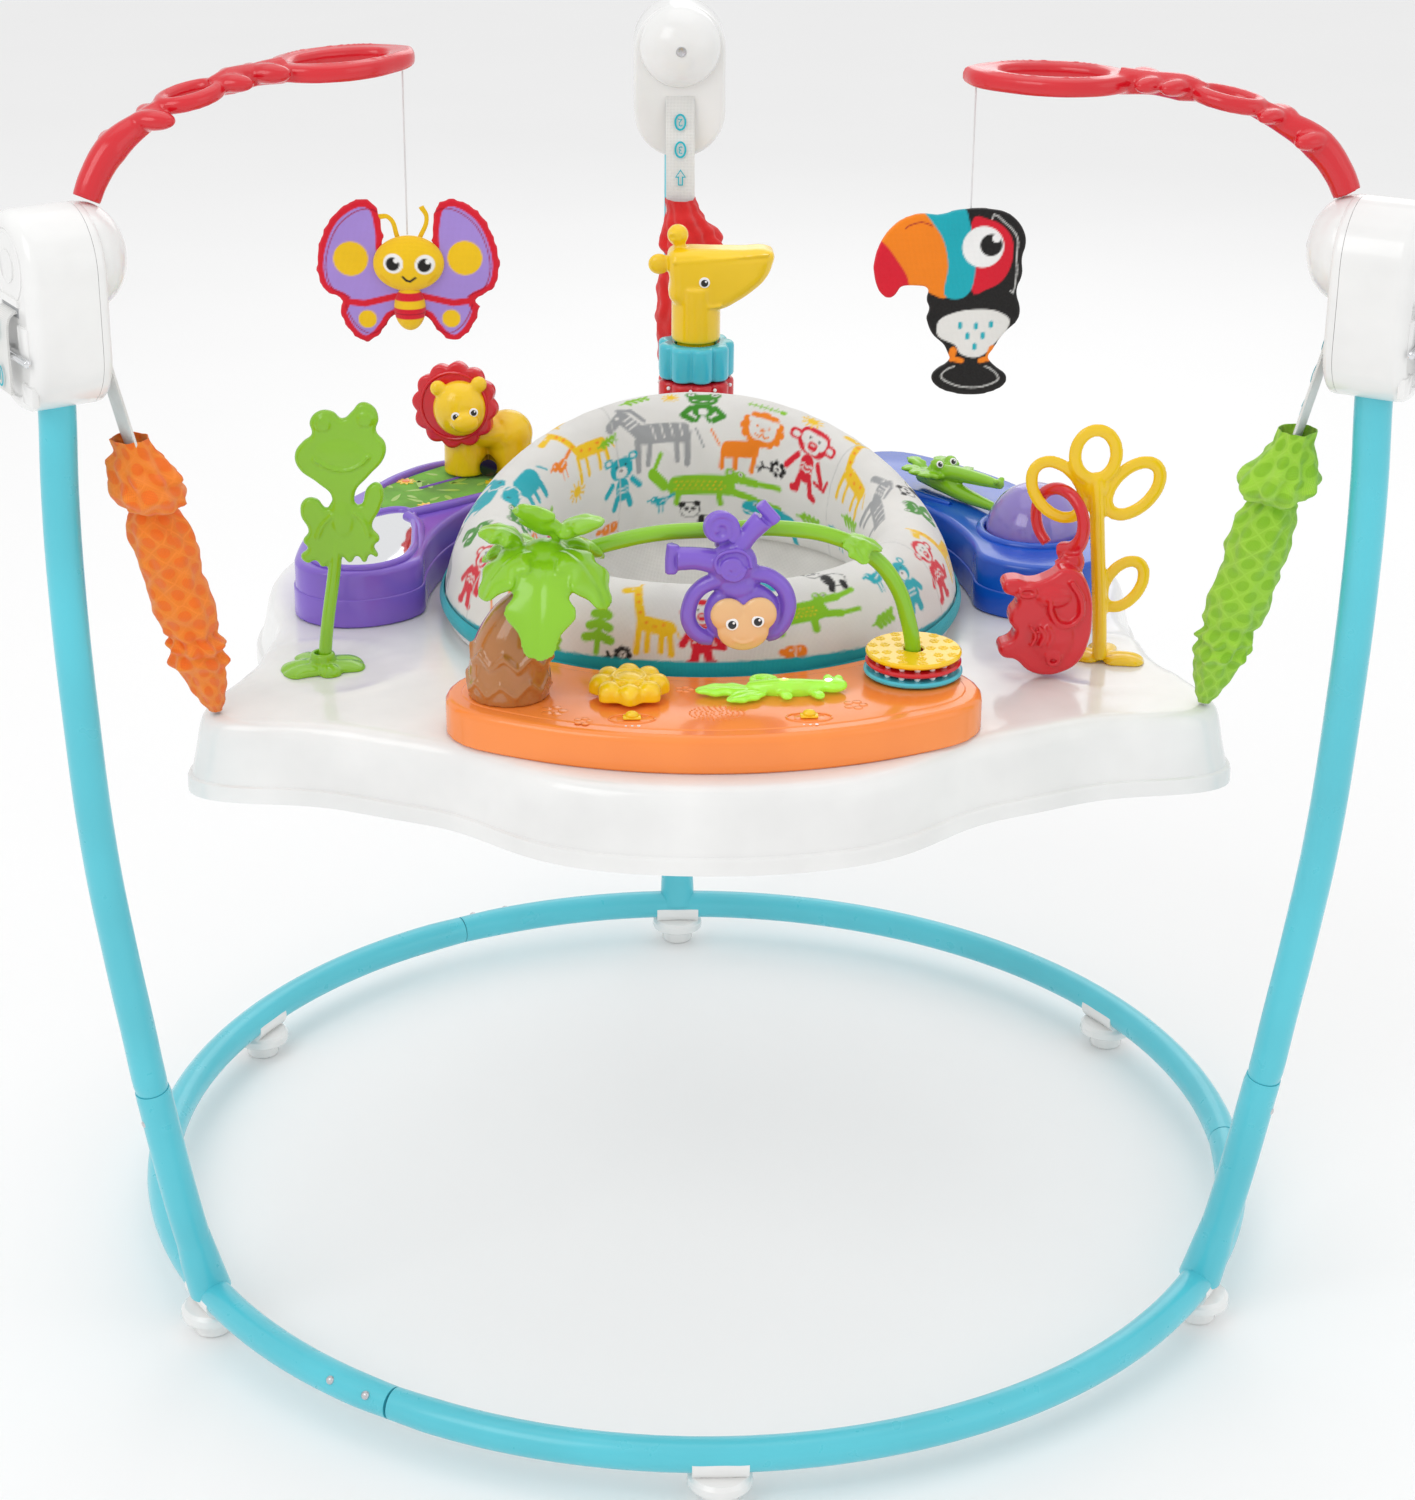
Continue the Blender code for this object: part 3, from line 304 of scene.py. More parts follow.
# %% Cloth
def cloth(name, colour, thread=0.0009, slot=None, dots=None, coord="UV", relief=0.7, fade=0.08):
    """Woven cloth. dots is the darker and the lighter colour of a printed net pattern."""
    tree, shader = start_look(name, slot)
    spot = add_node(tree, "TexCoord", output=coord)
    size = 0.314 / thread
    weft = add_node(tree, "TexWave", {"Vector": spot, "Scale": size}, bands_direction="X")
    warp = add_node(tree, "TexWave", {"Vector": spot, "Scale": size},
                    bands_direction="Y" if coord == "UV" else "Z")
    grid = add_node(tree, "Math", {0: weft, 1: warp}, operation="MAXIMUM")
    own = add_node(tree, "TexCoord", output="Object")
    fold = add_node(tree, "TexNoise", {"Vector": own, "Scale": 30.0, "Detail": 3.0})
    fuzz = add_node(tree, "TexNoise", {"Vector": own, "Scale": 700.0, "Detail": 2.0})
    base = mix(tree, stretch(tree, fold, 0.0, 1.0), shade(colour, 1 - fade), shade(colour, 1 + fade))
    if dots:
        turned_uv = add_node(tree, "Mapping", {"Vector": spot, "Rotation": (0, 0, pi / 4)})
        cell = {"Vector": turned_uv, "Scale": 78.0, "Randomness": 0.22}
        disc = add_node(tree, "TexVoronoi", cell, voronoi_dimensions="2D")
        net = add_node(tree, "TexVoronoi", cell, voronoi_dimensions="2D", feature="DISTANCE_TO_EDGE")
        inside = stretch(tree, disc, 1.0, 0.0, 0.33, 0.38)
        line = stretch(tree, net, 1.0, 0.0, 0.035, 0.06)
        base = mix(tree, inside, base, shade(dots[0], 1.0))
        base = mix(tree, line, base, shade(dots[1], 1.0))
    shadow = stretch(tree, grid, 0.86, 1.04, 0.2, 0.9)
    dim = add_node(tree, "HueSaturation", {"Color": base, "Value": shadow})
    feed(tree, shader.inputs["Base Color"], dim)
    feed(tree, shader.inputs["Roughness"], stretch(tree, fuzz, 0.72, 0.92))
    feed(tree, shader.inputs["Normal"],
         bumps(tree, [(grid, relief, 0.0003), (fuzz, 0.25, 0.0002)]))
    shader.inputs["Sheen Weight"].default_value = 0.25
    shader.inputs["Sheen Roughness"].default_value = 0.5
    shader.inputs["Specular IOR Level"].default_value = 0.25
    return LOOKS[name]


cloth("webbing", (0.8, 0.8, 0.78), thread=0.0012)
cloth("toy_cord", (0.85, 0.85, 0.85), thread=0.0006, coord="Object")
cloth("orange_sleeve", (1.0, 0.25, 0.025), dots=((0.96, 0.185, 0.015), (1.0, 0.275, 0.034)))
cloth("lime_sleeve", (0.36, 0.68, 0.05), dots=((0.28, 0.59, 0.028), (0.4, 0.72, 0.065)))
cloth("red_sleeve", (0.74, 0.02, 0.02))

# %% [markdown]
# One helper puts a finished mesh into the scene. The object stays at the origin with its
# place in its mesh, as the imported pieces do. It rides on a body, so that it moves with it,
# and it can stand for the plain solids that it covers. The others join, place, thicken and
# trim meshes on their way there.

# %% Show a piece
def mesh_of(bm):
    """Writes a bmesh to a mesh and frees it."""
    mesh = bpy.data.meshes.new("shape")
    bm.to_mesh(mesh)
    bm.free()
    return mesh


def show(name, mesh, look, body, stands_for=(), smooth=40, subdivide=0):
    """Makes a mesh a piece with a finish, on a body."""
    obj = bpy.data.objects.new(name, mesh)
    scene.collection.objects.link(obj)
    mesh.materials.clear()
    mesh.materials.append(LOOKS[look])
    mesh.shade_smooth()
    mesh.set_sharp_from_angle(angle=radians(smooth))
    if subdivide:
        modifier = obj.modifiers.new("finer", "SUBSURF")
        modifier.levels = modifier.render_levels = subdivide
    if body:
        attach(obj, body)
    stands_for = [stands_for] if isinstance(stands_for, str) else stands_for
    if stands_for:
        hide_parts(*stands_for)
    return obj


def settled(obj):
    """The mesh that an object's curve or modifiers make. The object itself is removed."""
    bpy.context.view_layer.update()
    graph = bpy.context.evaluated_depsgraph_get()
    mesh = bpy.data.meshes.new_from_object(obj.evaluated_get(graph))
    bpy.data.objects.remove(obj)
    return mesh


def together(*meshes):
    """Several meshes as one. Those handed in are used up."""
    bm = bmesh.new()
    for mesh in meshes:
        bm.from_mesh(mesh)
        bpy.data.meshes.remove(mesh)
    return mesh_of(bm)


def placed(mesh, matrix):
    """The mesh, moved and turned into its place."""
    mesh.transform(matrix)
    return mesh


@contextmanager
def opened(mesh):
    """Opens a mesh as a bmesh and writes it back afterwards."""
    bm = bmesh.new()
    bm.from_mesh(mesh)
    yield bm
    bm.to_mesh(mesh)
    bm.free()


def mended(mesh):
    """A closed mesh with its faces turned outwards again."""
    with opened(mesh) as bm:
        bmesh.ops.recalc_face_normals(bm, faces=bm.faces[:])
    return mesh


def thickened(mesh, wall):
    """The mesh with a wall of its own."""
    with opened(mesh) as bm:
        bmesh.ops.solidify(bm, geom=bm.faces[:], thickness=wall)
        bmesh.ops.recalc_face_normals(bm, faces=bm.faces[:])
    return mesh


def trimmed(mesh, point, normal):
    """The part of a closed mesh behind a plane, closed flat."""
    with opened(mesh) as bm:
        bmesh.ops.bisect_plane(bm, geom=bm.verts[:] + bm.edges[:] + bm.faces[:], plane_co=point,
                               plane_no=normal, clear_outer=True)
        bmesh.ops.holes_fill(bm, edges=[item for item in bm.edges if item.is_boundary])
    return mesh


def standing(mesh, z):
    """The part of a closed mesh above a height."""
    return trimmed(mesh, (0, 0, z), (0, 0, -1))


# %% [markdown]
# Tubes, wires and stalks are curves with a round bevel. A Bezier curve with automatic
# handles runs smoothly through a few points, and each point can swell or thin the tube.
# Blender turns it into a mesh, whose doubled points are then merged.

# %% Tubes along a curve
def rod(points, radius, sides=16, closed=False, swell=None, steps=8, straight=False):
    """A round tube through points. swell gives each point's share of the radius."""
    curve = bpy.data.curves.new("rod", "CURVE")
    curve.dimensions = "3D"
    curve.bevel_depth = radius
    curve.bevel_resolution = sides // 2 - 2
    curve.resolution_u = steps
    curve.use_fill_caps = not closed
    spline = curve.splines.new("BEZIER")
    spline.bezier_points.add(len(points) - 1)
    spline.use_cyclic_u = closed
    for index, point in enumerate(points):
        knot = spline.bezier_points[index]
        knot.co = point
        knot.handle_left_type = knot.handle_right_type = "VECTOR" if straight else "AUTO"
        knot.radius = swell[index] if swell else 1.0
    obj = bpy.data.objects.new("rod", curve)
    scene.collection.objects.link(obj)
    bm = bmesh.new()
    bm.from_mesh(settled(obj))
    bmesh.ops.remove_doubles(bm, verts=bm.verts[:], dist=1e-6)
    return mesh_of(bm)


# %% [markdown]
# The two soft toys hang on thin braided cords. Each cord leaves the underside of its arm
# and is held straight by the toy's weight, so its route is one upright line. Its length
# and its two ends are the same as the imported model's.

# %% Hanging cords
CORD_WIDTH = 0.0012
CORDS = {"butterfly": ("left", 0.112), "toucan": ("right", 0.078)}
cord_tops = {}
for toy, (side, drop) in CORDS.items():
    low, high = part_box(toy + "_cord")
    top = Vector(((low.x + high.x) / 2, (low.y + high.y) / 2, high.z))
    cord_tops[toy] = top
    route = [top - Vector((0, 0, drop * step / 20)) for step in range(21)]
    cord = show(toy + "_cord_braid", rod(route, CORD_WIDTH / 2, sides=10, steps=1), "toy_cord", toy,
                toy + "_cord")
    print(toy, "hangs on", drop, "m of cord")

# %% [markdown]
# The base ring is three bent tubes, each with a stub welded on that carries a post. One
# end of each tube is drawn narrower and slides into the next, where a sprung button holds
# it. A bent tube is a curve along an arc; the weld is a short flared collar; the lip of
# each seam is a tube's narrowed end, and the buttons are small turned pieces.

# %% Shapes turned on a lathe
def turned(profile, matrix=Matrix.Identity(4), steps=48):
    """A profile of (radius, height) spun once round the upright axis, then placed."""
    bm = bmesh.new()
    chain = [bm.verts.new((radius, 0, height)) for radius, height in profile]
    edges = [bm.edges.new(pair) for pair in zip(chain, chain[1:])]
    bmesh.ops.spin(bm, geom=chain + edges, cent=(0, 0, 0), axis=(0, 0, 1), angle=2 * pi,
                   steps=steps, use_merge=True)
    bmesh.ops.remove_doubles(bm, verts=bm.verts[:], dist=1e-6)
    bmesh.ops.recalc_face_normals(bm, faces=bm.faces[:])
    return placed(mesh_of(bm), matrix)


def aimed(point, direction):
    """A place at a point whose own Z runs along a direction."""
    return Matrix.Translation(point) @ Vector(direction).to_track_quat("Z", "Y").to_matrix().to_4x4()


# %% Base ring, posts and feet
RING_R, RING_Z, TUBE_R, STUB_R, SEAM_Z = 0.42, 0.035, 0.0122, 0.0128, 0.212
POST_ROUTE = [(0.42, 0.035), (0.4265, 0.062), (0.4385, 0.12), (0.453, 0.205), (0.4615, 0.262),
              (0.47, 0.322), (0.4795, 0.402), (0.4855, 0.5), (0.4885, 0.6), (0.488, 0.66),
              (0.4855, 0.72), (0.4855, 0.752)]
SEAM_R = 0.4542
STUB_TOP = 3
BUTTON = [(0, 0.0025), (0.0015, 0.0022), (0.0028, 0.0012), (0.0032, 0), (0.0032, -0.003), (0, -0.003)]


def snap_button(azimuth, radius, z, outward):
    """The rounded head of a sprung button in a tube's hole."""
    return turned(BUTTON, aimed(polar(azimuth, radius, z) + outward * TUBE_R, outward), 20)


for side, azimuth in SIDES.items():
    arc = [polar(azimuth - 91.9 + 119.8 * step / 30, RING_R, RING_Z) for step in range(31)]
    squeeze = [0.955] + [1.0] * 29 + [0.955]
    stub = [polar(azimuth, r, z) for r, z in POST_ROUTE[:STUB_TOP]]
    stub += [polar(azimuth, SEAM_R - 0.0012, SEAM_Z - 0.006), polar(azimuth, SEAM_R, SEAM_Z - GAP)]
    collar = [polar(azimuth, r, z) for r, z in POST_ROUTE[:STUB_TOP]]
    section = together(
        rod(arc, TUBE_R, 28, swell=squeeze, steps=5),
        rod(stub, STUB_R, 28, swell=[1, 1, 1, 1, 0.965]),
        rod(collar[:2] + [polar(azimuth, 0.431, 0.084)], STUB_R, 28, swell=[1.22, 1.13, 0.99]))
    show(f"base_tube_{side}", section, "turquoise_tube", "frame", f"base_section_{side}")
    upper = [polar(azimuth, SEAM_R, SEAM_Z), polar(azimuth, SEAM_R + 0.0012, SEAM_Z + 0.006)]
    upper += [polar(azimuth, r, z) for r, z in POST_ROUTE[STUB_TOP + 1:]]
    show(f"post_tube_{side}", rod(upper, TUBE_R, 28, swell=[0.955] + [1.0] * (len(upper) - 1)),
         "turquoise_tube", "frame", f"post_{side}")
    outward = polar(azimuth, 1, 0) - polar(azimuth, 0, 0)
    buttons = [snap_button(azimuth, 0.449, 0.186, outward)]
    for step in (2.2, 6.4):
        seam = azimuth + 28 - step
        lean = (polar(seam, 0.55, 0) - polar(seam, 0, 0) + Vector((0, 0, 0.35))).normalized()
        buttons.append(snap_button(seam, RING_R, RING_Z, lean))
    show(f"snap_buttons_{side}", together(*buttons), "spring_steel", "frame")

FOOT = [(0, 0), (0.0115, 0), (0.013, 0.001), (0.0135, 0.0025), (0.0135, 0.012), (0.015, 0.013),
        (0.021, 0.0132), (0.0222, 0.014), (0.0225, 0.0155), (0.022, 0.0195), (0.0195, 0.0222),
        (0.015, 0.0225), (0, 0.0225)]
for number in range(6):
    middle = Matrix.Translation(polar(270 + 60 * number, RING_R, 0))
    cradle = [polar(270 + 60 * number + turn, RING_R, RING_Z - 0.0035) for turn in (-2.6, 0, 2.6)]
    show(f"foot_pad_{number + 1}", together(turned(FOOT, middle, 40), rod(cradle, TUBE_R + 0.0004, 24)),
         "white_plastic", "frame", f"foot_{number + 1}", smooth=30)
print("base ring", round(2 * RING_R, 2), "m across")

# %% [markdown]
# Each post ends in a white pod: two moulded shells, screwed together, that clamp the tube
# and guide the strap. Seen from outside it is an upright capsule with a sunk panel, a round
# relief and a slot, and inside a dome bulges towards the seat. An outline is filled,
# extruded and bevelled along one rim, which leaves the flat parting face of a real shell.

# %% Slabs with a rounded rim
def slab(outline, low, high, edge=0.001, segments=4, matrix=Matrix.Identity(4), sunk=None):
    """An outline raised from low to high with its upper rim rounded. sunk is the (margin,
    depth) of a panel pressed into the upper face."""
    bm = bmesh.new()
    face = bm.faces.new([bm.verts.new((x, y, low)) for x, y in outline])
    lifted = bmesh.ops.extrude_face_region(bm, geom=[face])["geom"]
    top = [item for item in lifted if isinstance(item, bmesh.types.BMVert)]
    bmesh.ops.translate(bm, verts=top, vec=(0, 0, high - low))
    bmesh.ops.recalc_face_normals(bm, faces=bm.faces[:])
    if edge:
        rim = [item for item in bm.edges if all(vert in top for vert in item.verts)]
        bmesh.ops.bevel(bm, geom=rim, offset=edge, segments=segments, profile=0.5,
                        affect="EDGES", material=-1)
    if sunk:
        bm.faces.ensure_lookup_table()
        upper = max(bm.faces, key=lambda item: item.calc_center_median().z)
        bmesh.ops.inset_region(bm, faces=[upper], thickness=sunk[0], depth=0)
        bmesh.ops.inset_region(bm, faces=[upper], thickness=abs(sunk[1]), depth=-sunk[1])
    return placed(mesh_of(bm), matrix)


def capsule(half, low, high, points=20):
    """An upright capsule's outline."""
    outline = []
    for middle, start in ((high - half, 0), (low + half, 180)):
        for step in range(points + 1):
            angle = radians(start + 180 * step / points)
            outline.append((half * cos(angle), middle + half * sin(angle)))
    return outline


def bar(low, high, edge=0.0005, matrix=Matrix.Identity(4)):
    """A straight-sided block with softened edges."""
    bm = bmesh.new()
    bmesh.ops.create_cube(bm, size=1.0)
    bmesh.ops.scale(bm, verts=bm.verts[:], vec=Vector(high) - Vector(low))
    bmesh.ops.translate(bm, verts=bm.verts[:], vec=(Vector(low) + Vector(high)) / 2)
    bmesh.ops.bevel(bm, geom=bm.edges[:], offset=edge, segments=2, profile=0.5, affect="EDGES",
                    material=-1)
    return placed(mesh_of(bm), matrix)


def ball(centre, radii, turn=0.0, sides=32):
    """A ball or an egg. turn leans it about Y, in degrees."""
    bm = bmesh.new()
    bmesh.ops.create_uvsphere(bm, u_segments=sides, v_segments=sides * 5 // 8, radius=1.0)
    bmesh.ops.scale(bm, verts=bm.verts[:], vec=(radii,) * 3 if isinstance(radii, float) else radii)
    bmesh.ops.rotate(bm, verts=bm.verts[:], cent=(0, 0, 0),
                     matrix=Matrix.Rotation(radians(turn), 3, "Y"))
    bmesh.ops.translate(bm, verts=bm.verts[:], vec=centre)
    return mesh_of(bm)


# %% Pods
POD_LOW, POD_HIGH, POD_HALF = 0.7175, 0.8455, 0.0385
POD_SEAM, POD_OUT, POD_IN = 0.4665, 0.512, 0.46
DOME_Z, ROD_Z, ROD_R_FROM_AXIS, STRAP_W, STRAP_OUT = 0.811, 0.757, 0.5152, 0.025, 0.5193
OUTWARDS = Matrix(((1, 0, 0, 0), (0, 0, 1, 0), (0, 1, 0, 0), (0, 0, 0, 1)))
INWARDS = Matrix(((1, 0, 0, 0), (0, 0, -1, 0), (0, 1, 0, 0), (0, 0, 0, 1)))
for side, azimuth in SIDES.items():
    place = side_frame(azimuth)
    shell = slab(capsule(POD_HALF, POD_LOW, POD_HIGH, 28), POD_SEAM + GAP, POD_OUT, 0.0085, 6,
                 OUTWARDS, sunk=(0.0015, 0.0012))
    relief = slab(circle(56, 0.0235, y=DOME_Z), POD_OUT - 0.003, POD_OUT - 0.0004, 0.0006, 2,
                  OUTWARDS, sunk=(0.0016, 0.0005))
    hub = slab(circle(40, 0.0105, y=DOME_Z), POD_OUT - 0.003, POD_OUT + 0.0001, 0.0005, 2, OUTWARDS)
    hood = slab([(-0.0165, 0.788), (0.0165, 0.788), (0.015, 0.7925), (-0.015, 0.7925)],
                POD_OUT - 0.004, POD_OUT + 0.0012, 0.001, 3, OUTWARDS)
    cheeks = []
    for x in (-0.0225, 0.0225):
        cheeks.append(bar((x - 0.0085, POD_OUT - 0.004, ROD_Z - 0.0035),
                          (x + 0.0085, POD_OUT + 0.0012, ROD_Z + 0.02), 0.001))
        cheeks.append(bar((x - 0.0085, POD_OUT - 0.004, 0.727), (x + 0.0085, POD_OUT + 0.001, 0.74),
                          0.001))
    show(f"pod_shell_outer_{side}", placed(mended(together(shell, relief, hub, hood, *cheeks)), place),
         "white_plastic", "frame", f"pod_outer_{side}", smooth=30)
    # The grey strip round the strap where it leaves the pod is painted shade: a grey block stands in for the
    # dark slot.
    slot_shade = bar((-STRAP_W / 2 - 0.0012, POD_OUT - 0.0045, 0.7805),
                (STRAP_W / 2 + 0.0012, POD_OUT - 0.0008, 0.7885), 0.0004, place)
    show(f"pod_slot_shade_{side}", slot_shade, "grey_plastic", "frame")

    cover = slab(capsule(POD_HALF, POD_LOW, POD_HIGH, 28), -POD_SEAM, -POD_IN, 0.0035, 4, INWARDS)
    dome = trimmed(ball((0, POD_IN + 0.001, DOME_Z), (0.034, 0.026, 0.034), sides=56),
                   (0, POD_IN + 0.002, 0), (0, 1, 0))
    show(f"pod_shell_inner_{side}", placed(mended(together(cover, dome)), place), "white_plastic", "frame",
         f"pod_inner_{side}", smooth=35)
    screw = [turned([(0, 0.0004), (0.0024, 0.0004), (0.0034, 0.001), (0.004, 0.001), (0.0044, 0.0002),
                     (0.0044, -0.002), (0, -0.002)], aimed((0, y, z), (0, -1, 0)), 24)
             for y, z in ((POD_IN - 0.0248, DOME_Z), (POD_IN, 0.729))]
    show(f"pod_screws_{side}", placed(together(*screw), place), "spring_steel", "frame")
    chrome = rod([(-0.034, ROD_R_FROM_AXIS, ROD_Z), (0.034, ROD_R_FROM_AXIS, ROD_Z)], 0.0025, 20,
                 straight=True)
    tips = [ball((x, ROD_R_FROM_AXIS, ROD_Z), (0.0012, 0.0024, 0.0024), sides=20) for x in (-0.034, 0.034)]
    show(f"rod_{side}", placed(together(chrome, *tips), place), "chrome_rod", "frame",
         f"adjuster_rod_{side}")

# %% [markdown]
# A strap of webbing drops from each pod to a coil spring. It is a flat ribbon swept along
# a route, with a UV map in metres for its weave. Its end comes back out of the pod, loops
# over the chrome rod and shows marks for the three seat heights: ovals with plain numbers
# and an arrow. Numbers are Blender text turned into thin meshes.

# %% Ribbons with their own UV map
def ribbon(route, width, thick, matrix):
    """A flat band along a route in Y and Z, with a UV map in metres."""
    bm = bmesh.new()
    layer = bm.loops.layers.uv.new("UVMap")
    across = 4
    line = [bm.verts.new((width * (k / across - 0.5), 0, 0)) for k in range(across + 1)]
    edges = [bm.edges.new(pair) for pair in zip(line, line[1:])]
    rows = [line]
    for _ in route[1:]:
        made = bmesh.ops.extrude_edge_only(bm, edges=edges)["geom"]
        edges = [item for item in made if isinstance(item, bmesh.types.BMEdge)]
        rows.append(sorted((item for item in made if isinstance(item, bmesh.types.BMVert)),
                           key=lambda vert: vert.co.x))
    along = 0.0
    run = {}
    for index, (row, point) in enumerate(zip(rows, route)):
        if index:
            along += (point - route[index - 1]).length
        for vert in row:
            vert.co = (vert.co.x, point.y, point.z)
            run[vert] = along
    for face in bm.faces:
        for loop in face.loops:
            loop[layer].uv = (loop.vert.co.x, run[loop.vert])
    bmesh.ops.recalc_face_normals(bm, faces=bm.faces[:])
    bmesh.ops.solidify(bm, geom=bm.faces[:], thickness=thick)
    return placed(mended(mesh_of(bm)), matrix)


def bend(a, b, c, d, steps):
    """Points from b towards c on a smooth curve that comes from a and goes on to d."""
    return [0.5 * (2 * b + (c - a) * t + (2 * a - 5 * b + 4 * c - d) * t * t
                   + (3 * b - a - 3 * c + d) * t ** 3) for t in (step / steps for step in range(steps))]


def smooth_route(points, steps=8):
    """Points along a smooth curve through a few knots."""
    knots = [Vector(point) for point in points]
    knots = [2 * knots[0] - knots[1]] + knots + [2 * knots[-1] - knots[-2]]
    route = []
    for four in zip(knots, knots[1:], knots[2:], knots[3:]):
        route += bend(*four, steps)
    return route + [knots[-2]]


# %% Straps and their marks
LOBE_R, LOBE_Z, SLOPE = 0.389, 0.4855, 0.2428
SPRING_TOP, SLEEVE_TOP = 0.655, 0.688


def line_radius(z):
    """How far from the axis a strap's straight run is at a height."""
    return LOBE_R + (z - LOBE_Z) * SLOPE


def number_mesh(text, size):
    """A numeral as a thin flat mesh, centred, drawn in X and Y."""
    curve = bpy.data.curves.new("number", "FONT")
    curve.body = text
    curve.size = size
    curve.align_x, curve.align_y = "CENTER", "CENTER"
    curve.extrude = 0.00012
    obj = bpy.data.objects.new("number", curve)
    scene.collection.objects.link(obj)
    return settled(obj)


def oval_mark(text, up=1):
    """A numeral inside an oval ring."""
    ring = rod([(x, y, 0) for x, y in circle(12, 0.0042, 0.0062)], 0.0008, 8, closed=True)
    ring.transform(Matrix.Diagonal((1, 1, 0.25, 1)))
    return placed(together(ring, number_mesh(text, 0.0088)), Matrix.Rotation(0 if up > 0 else pi, 4, "Z"))


def arrow_mark(up=1):
    """An outlined arrow."""
    half = [(0.0016, -0.006), (0.0016, 0.0005), (0.004, 0.0005), (0, 0.0062)]
    loop = [(x, y * up, 0) for x, y in half] + [(-x, y * up, 0) for x, y in half[2::-1]]
    ring = rod(loop, 0.0007, 8, closed=True, straight=True)
    ring.transform(Matrix.Diagonal((1, 1, 0.25, 1)))
    return ring


cloth("mark_blue", (0.02, 0.5, 0.6), coord="Object", slot="teal_trim")
for side, azimuth in SIDES.items():
    place = side_frame(azimuth)
    knots = [(0, line_radius(z), z) for z in (0.66, 0.7, 0.74, 0.764)]
    knots += [(0, 0.4625, 0.7725), (0, 0.474, 0.7845), (0, 0.505, 0.785), (0, 0.515, 0.7838),
              (0, STRAP_OUT - 0.0003, 0.776), (0, STRAP_OUT, 0.757), (0, STRAP_OUT, 0.745),
              (0, STRAP_OUT, 0.732)]
    show(f"strap_web_{side}", ribbon(smooth_route(knots), STRAP_W - 0.001, 0.0015, place), "webbing",
         "frame", f"strap_{side}")
    front = Matrix(((-1, 0, 0, 0), (0, 0, 1, STRAP_OUT + 0.0018), (0, 1, 0, 0), (0, 0, 0, 1)))
    marks = [placed(arrow_mark(-1), front @ Matrix.Translation((0, 0.7715, 0))),
             placed(oval_mark("1"), front @ Matrix.Translation((0, 0.7425, 0)))]
    lean = atan(SLOPE)
    for z, mark in ((0.7495, oval_mark("2", -1)), (0.7275, oval_mark("3", -1)), (0.705, arrow_mark(1))):
        inner = (Matrix.Translation((0, line_radius(z) - 0.0022, z)) @ Matrix.Rotation(-lean, 4, "X")
                 @ Matrix.Rotation(pi / 2, 4, "X"))
        marks.append(placed(mark, inner))
    show(f"strap_marks_{side}", placed(together(*marks), place), "mark_blue", "frame")

# %% [markdown]
# Under each strap hides a steel coil spring, which does the bouncing. It is a helix of
# wire, worked out by a loop.

# %% Springs
for side, azimuth in SIDES.items():
    coil = []
    turns, per_turn = 22, 10
    for step in range(turns * per_turn + 1):
        z = LOBE_Z + 0.012 + (SPRING_TOP - LOBE_Z - 0.012) * step / (turns * per_turn)
        angle = 2 * pi * step / per_turn
        coil.append((0.0068 * cos(angle), line_radius(z) + 0.0068 * sin(angle), z))
    spring = show(f"coil_{side}", placed(rod(coil, 0.001, 8, steps=1), side_frame(azimuth)),
                  "spring_steel", None, f"spring_{side}")
    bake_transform(spring)

# %% [markdown]
# A sleeve of thin cloth hides each spring. It is longer than the gap, so it bunches: a
# smooth barrel in the middle, tight necks where elastic grips it, and full ruffles between.
# Rings are extruded from a circle one by one; each is as wide as the profile says, and
# folds are pressed into it by waves and noise that grow near the necks. The same points
# give the UV map that carries the printed net.

# %% Gathered sleeves
SLEEVE = [(0.000, 0.0125, 0.1, 0.000), (0.04, 0.013, 0.14, 0.002), (0.085, 0.0175, 0.22, 0.004),
          (0.13, 0.0225, 0.3, 0.008), (0.175, 0.024, 0.32, 0.01), (0.215, 0.0215, 0.3, 0.007),
          (0.25, 0.0128, 0.24, 0.000), (0.275, 0.0165, 0.2, -0.001), (0.32, 0.0198, 0.15, 0.000),
          (0.4, 0.021, 0.13, 0.001), (0.5, 0.0204, 0.14, -0.001), (0.6, 0.0208, 0.13, 0.001),
          (0.68, 0.0188, 0.17, 0.000), (0.715, 0.015, 0.2, 0.001), (0.745, 0.019, 0.3, 0.003),
          (0.775, 0.0165, 0.26, 0.000), (0.805, 0.0185, 0.28, 0.003), (0.84, 0.015, 0.2, 0.001),
          (0.9, 0.013, 0.14, 0.000), (0.96, 0.0088, 0.1, 0.000), (1.000, 0.0045, 0.05, 0.000)]


def profile_at(share):
    """(radius, fold depth, sideways bulge) of the sleeve at a share of its length."""
    for low, high in zip(SLEEVE, SLEEVE[1:]):
        if share <= high[0]:
            t = (share - low[0]) / (high[0] - low[0])
            t = t * t * (3 - 2 * t)
            return [a + (b - a) * t for a, b in zip(low[1:], high[1:])]
    return list(SLEEVE[-1][1:])


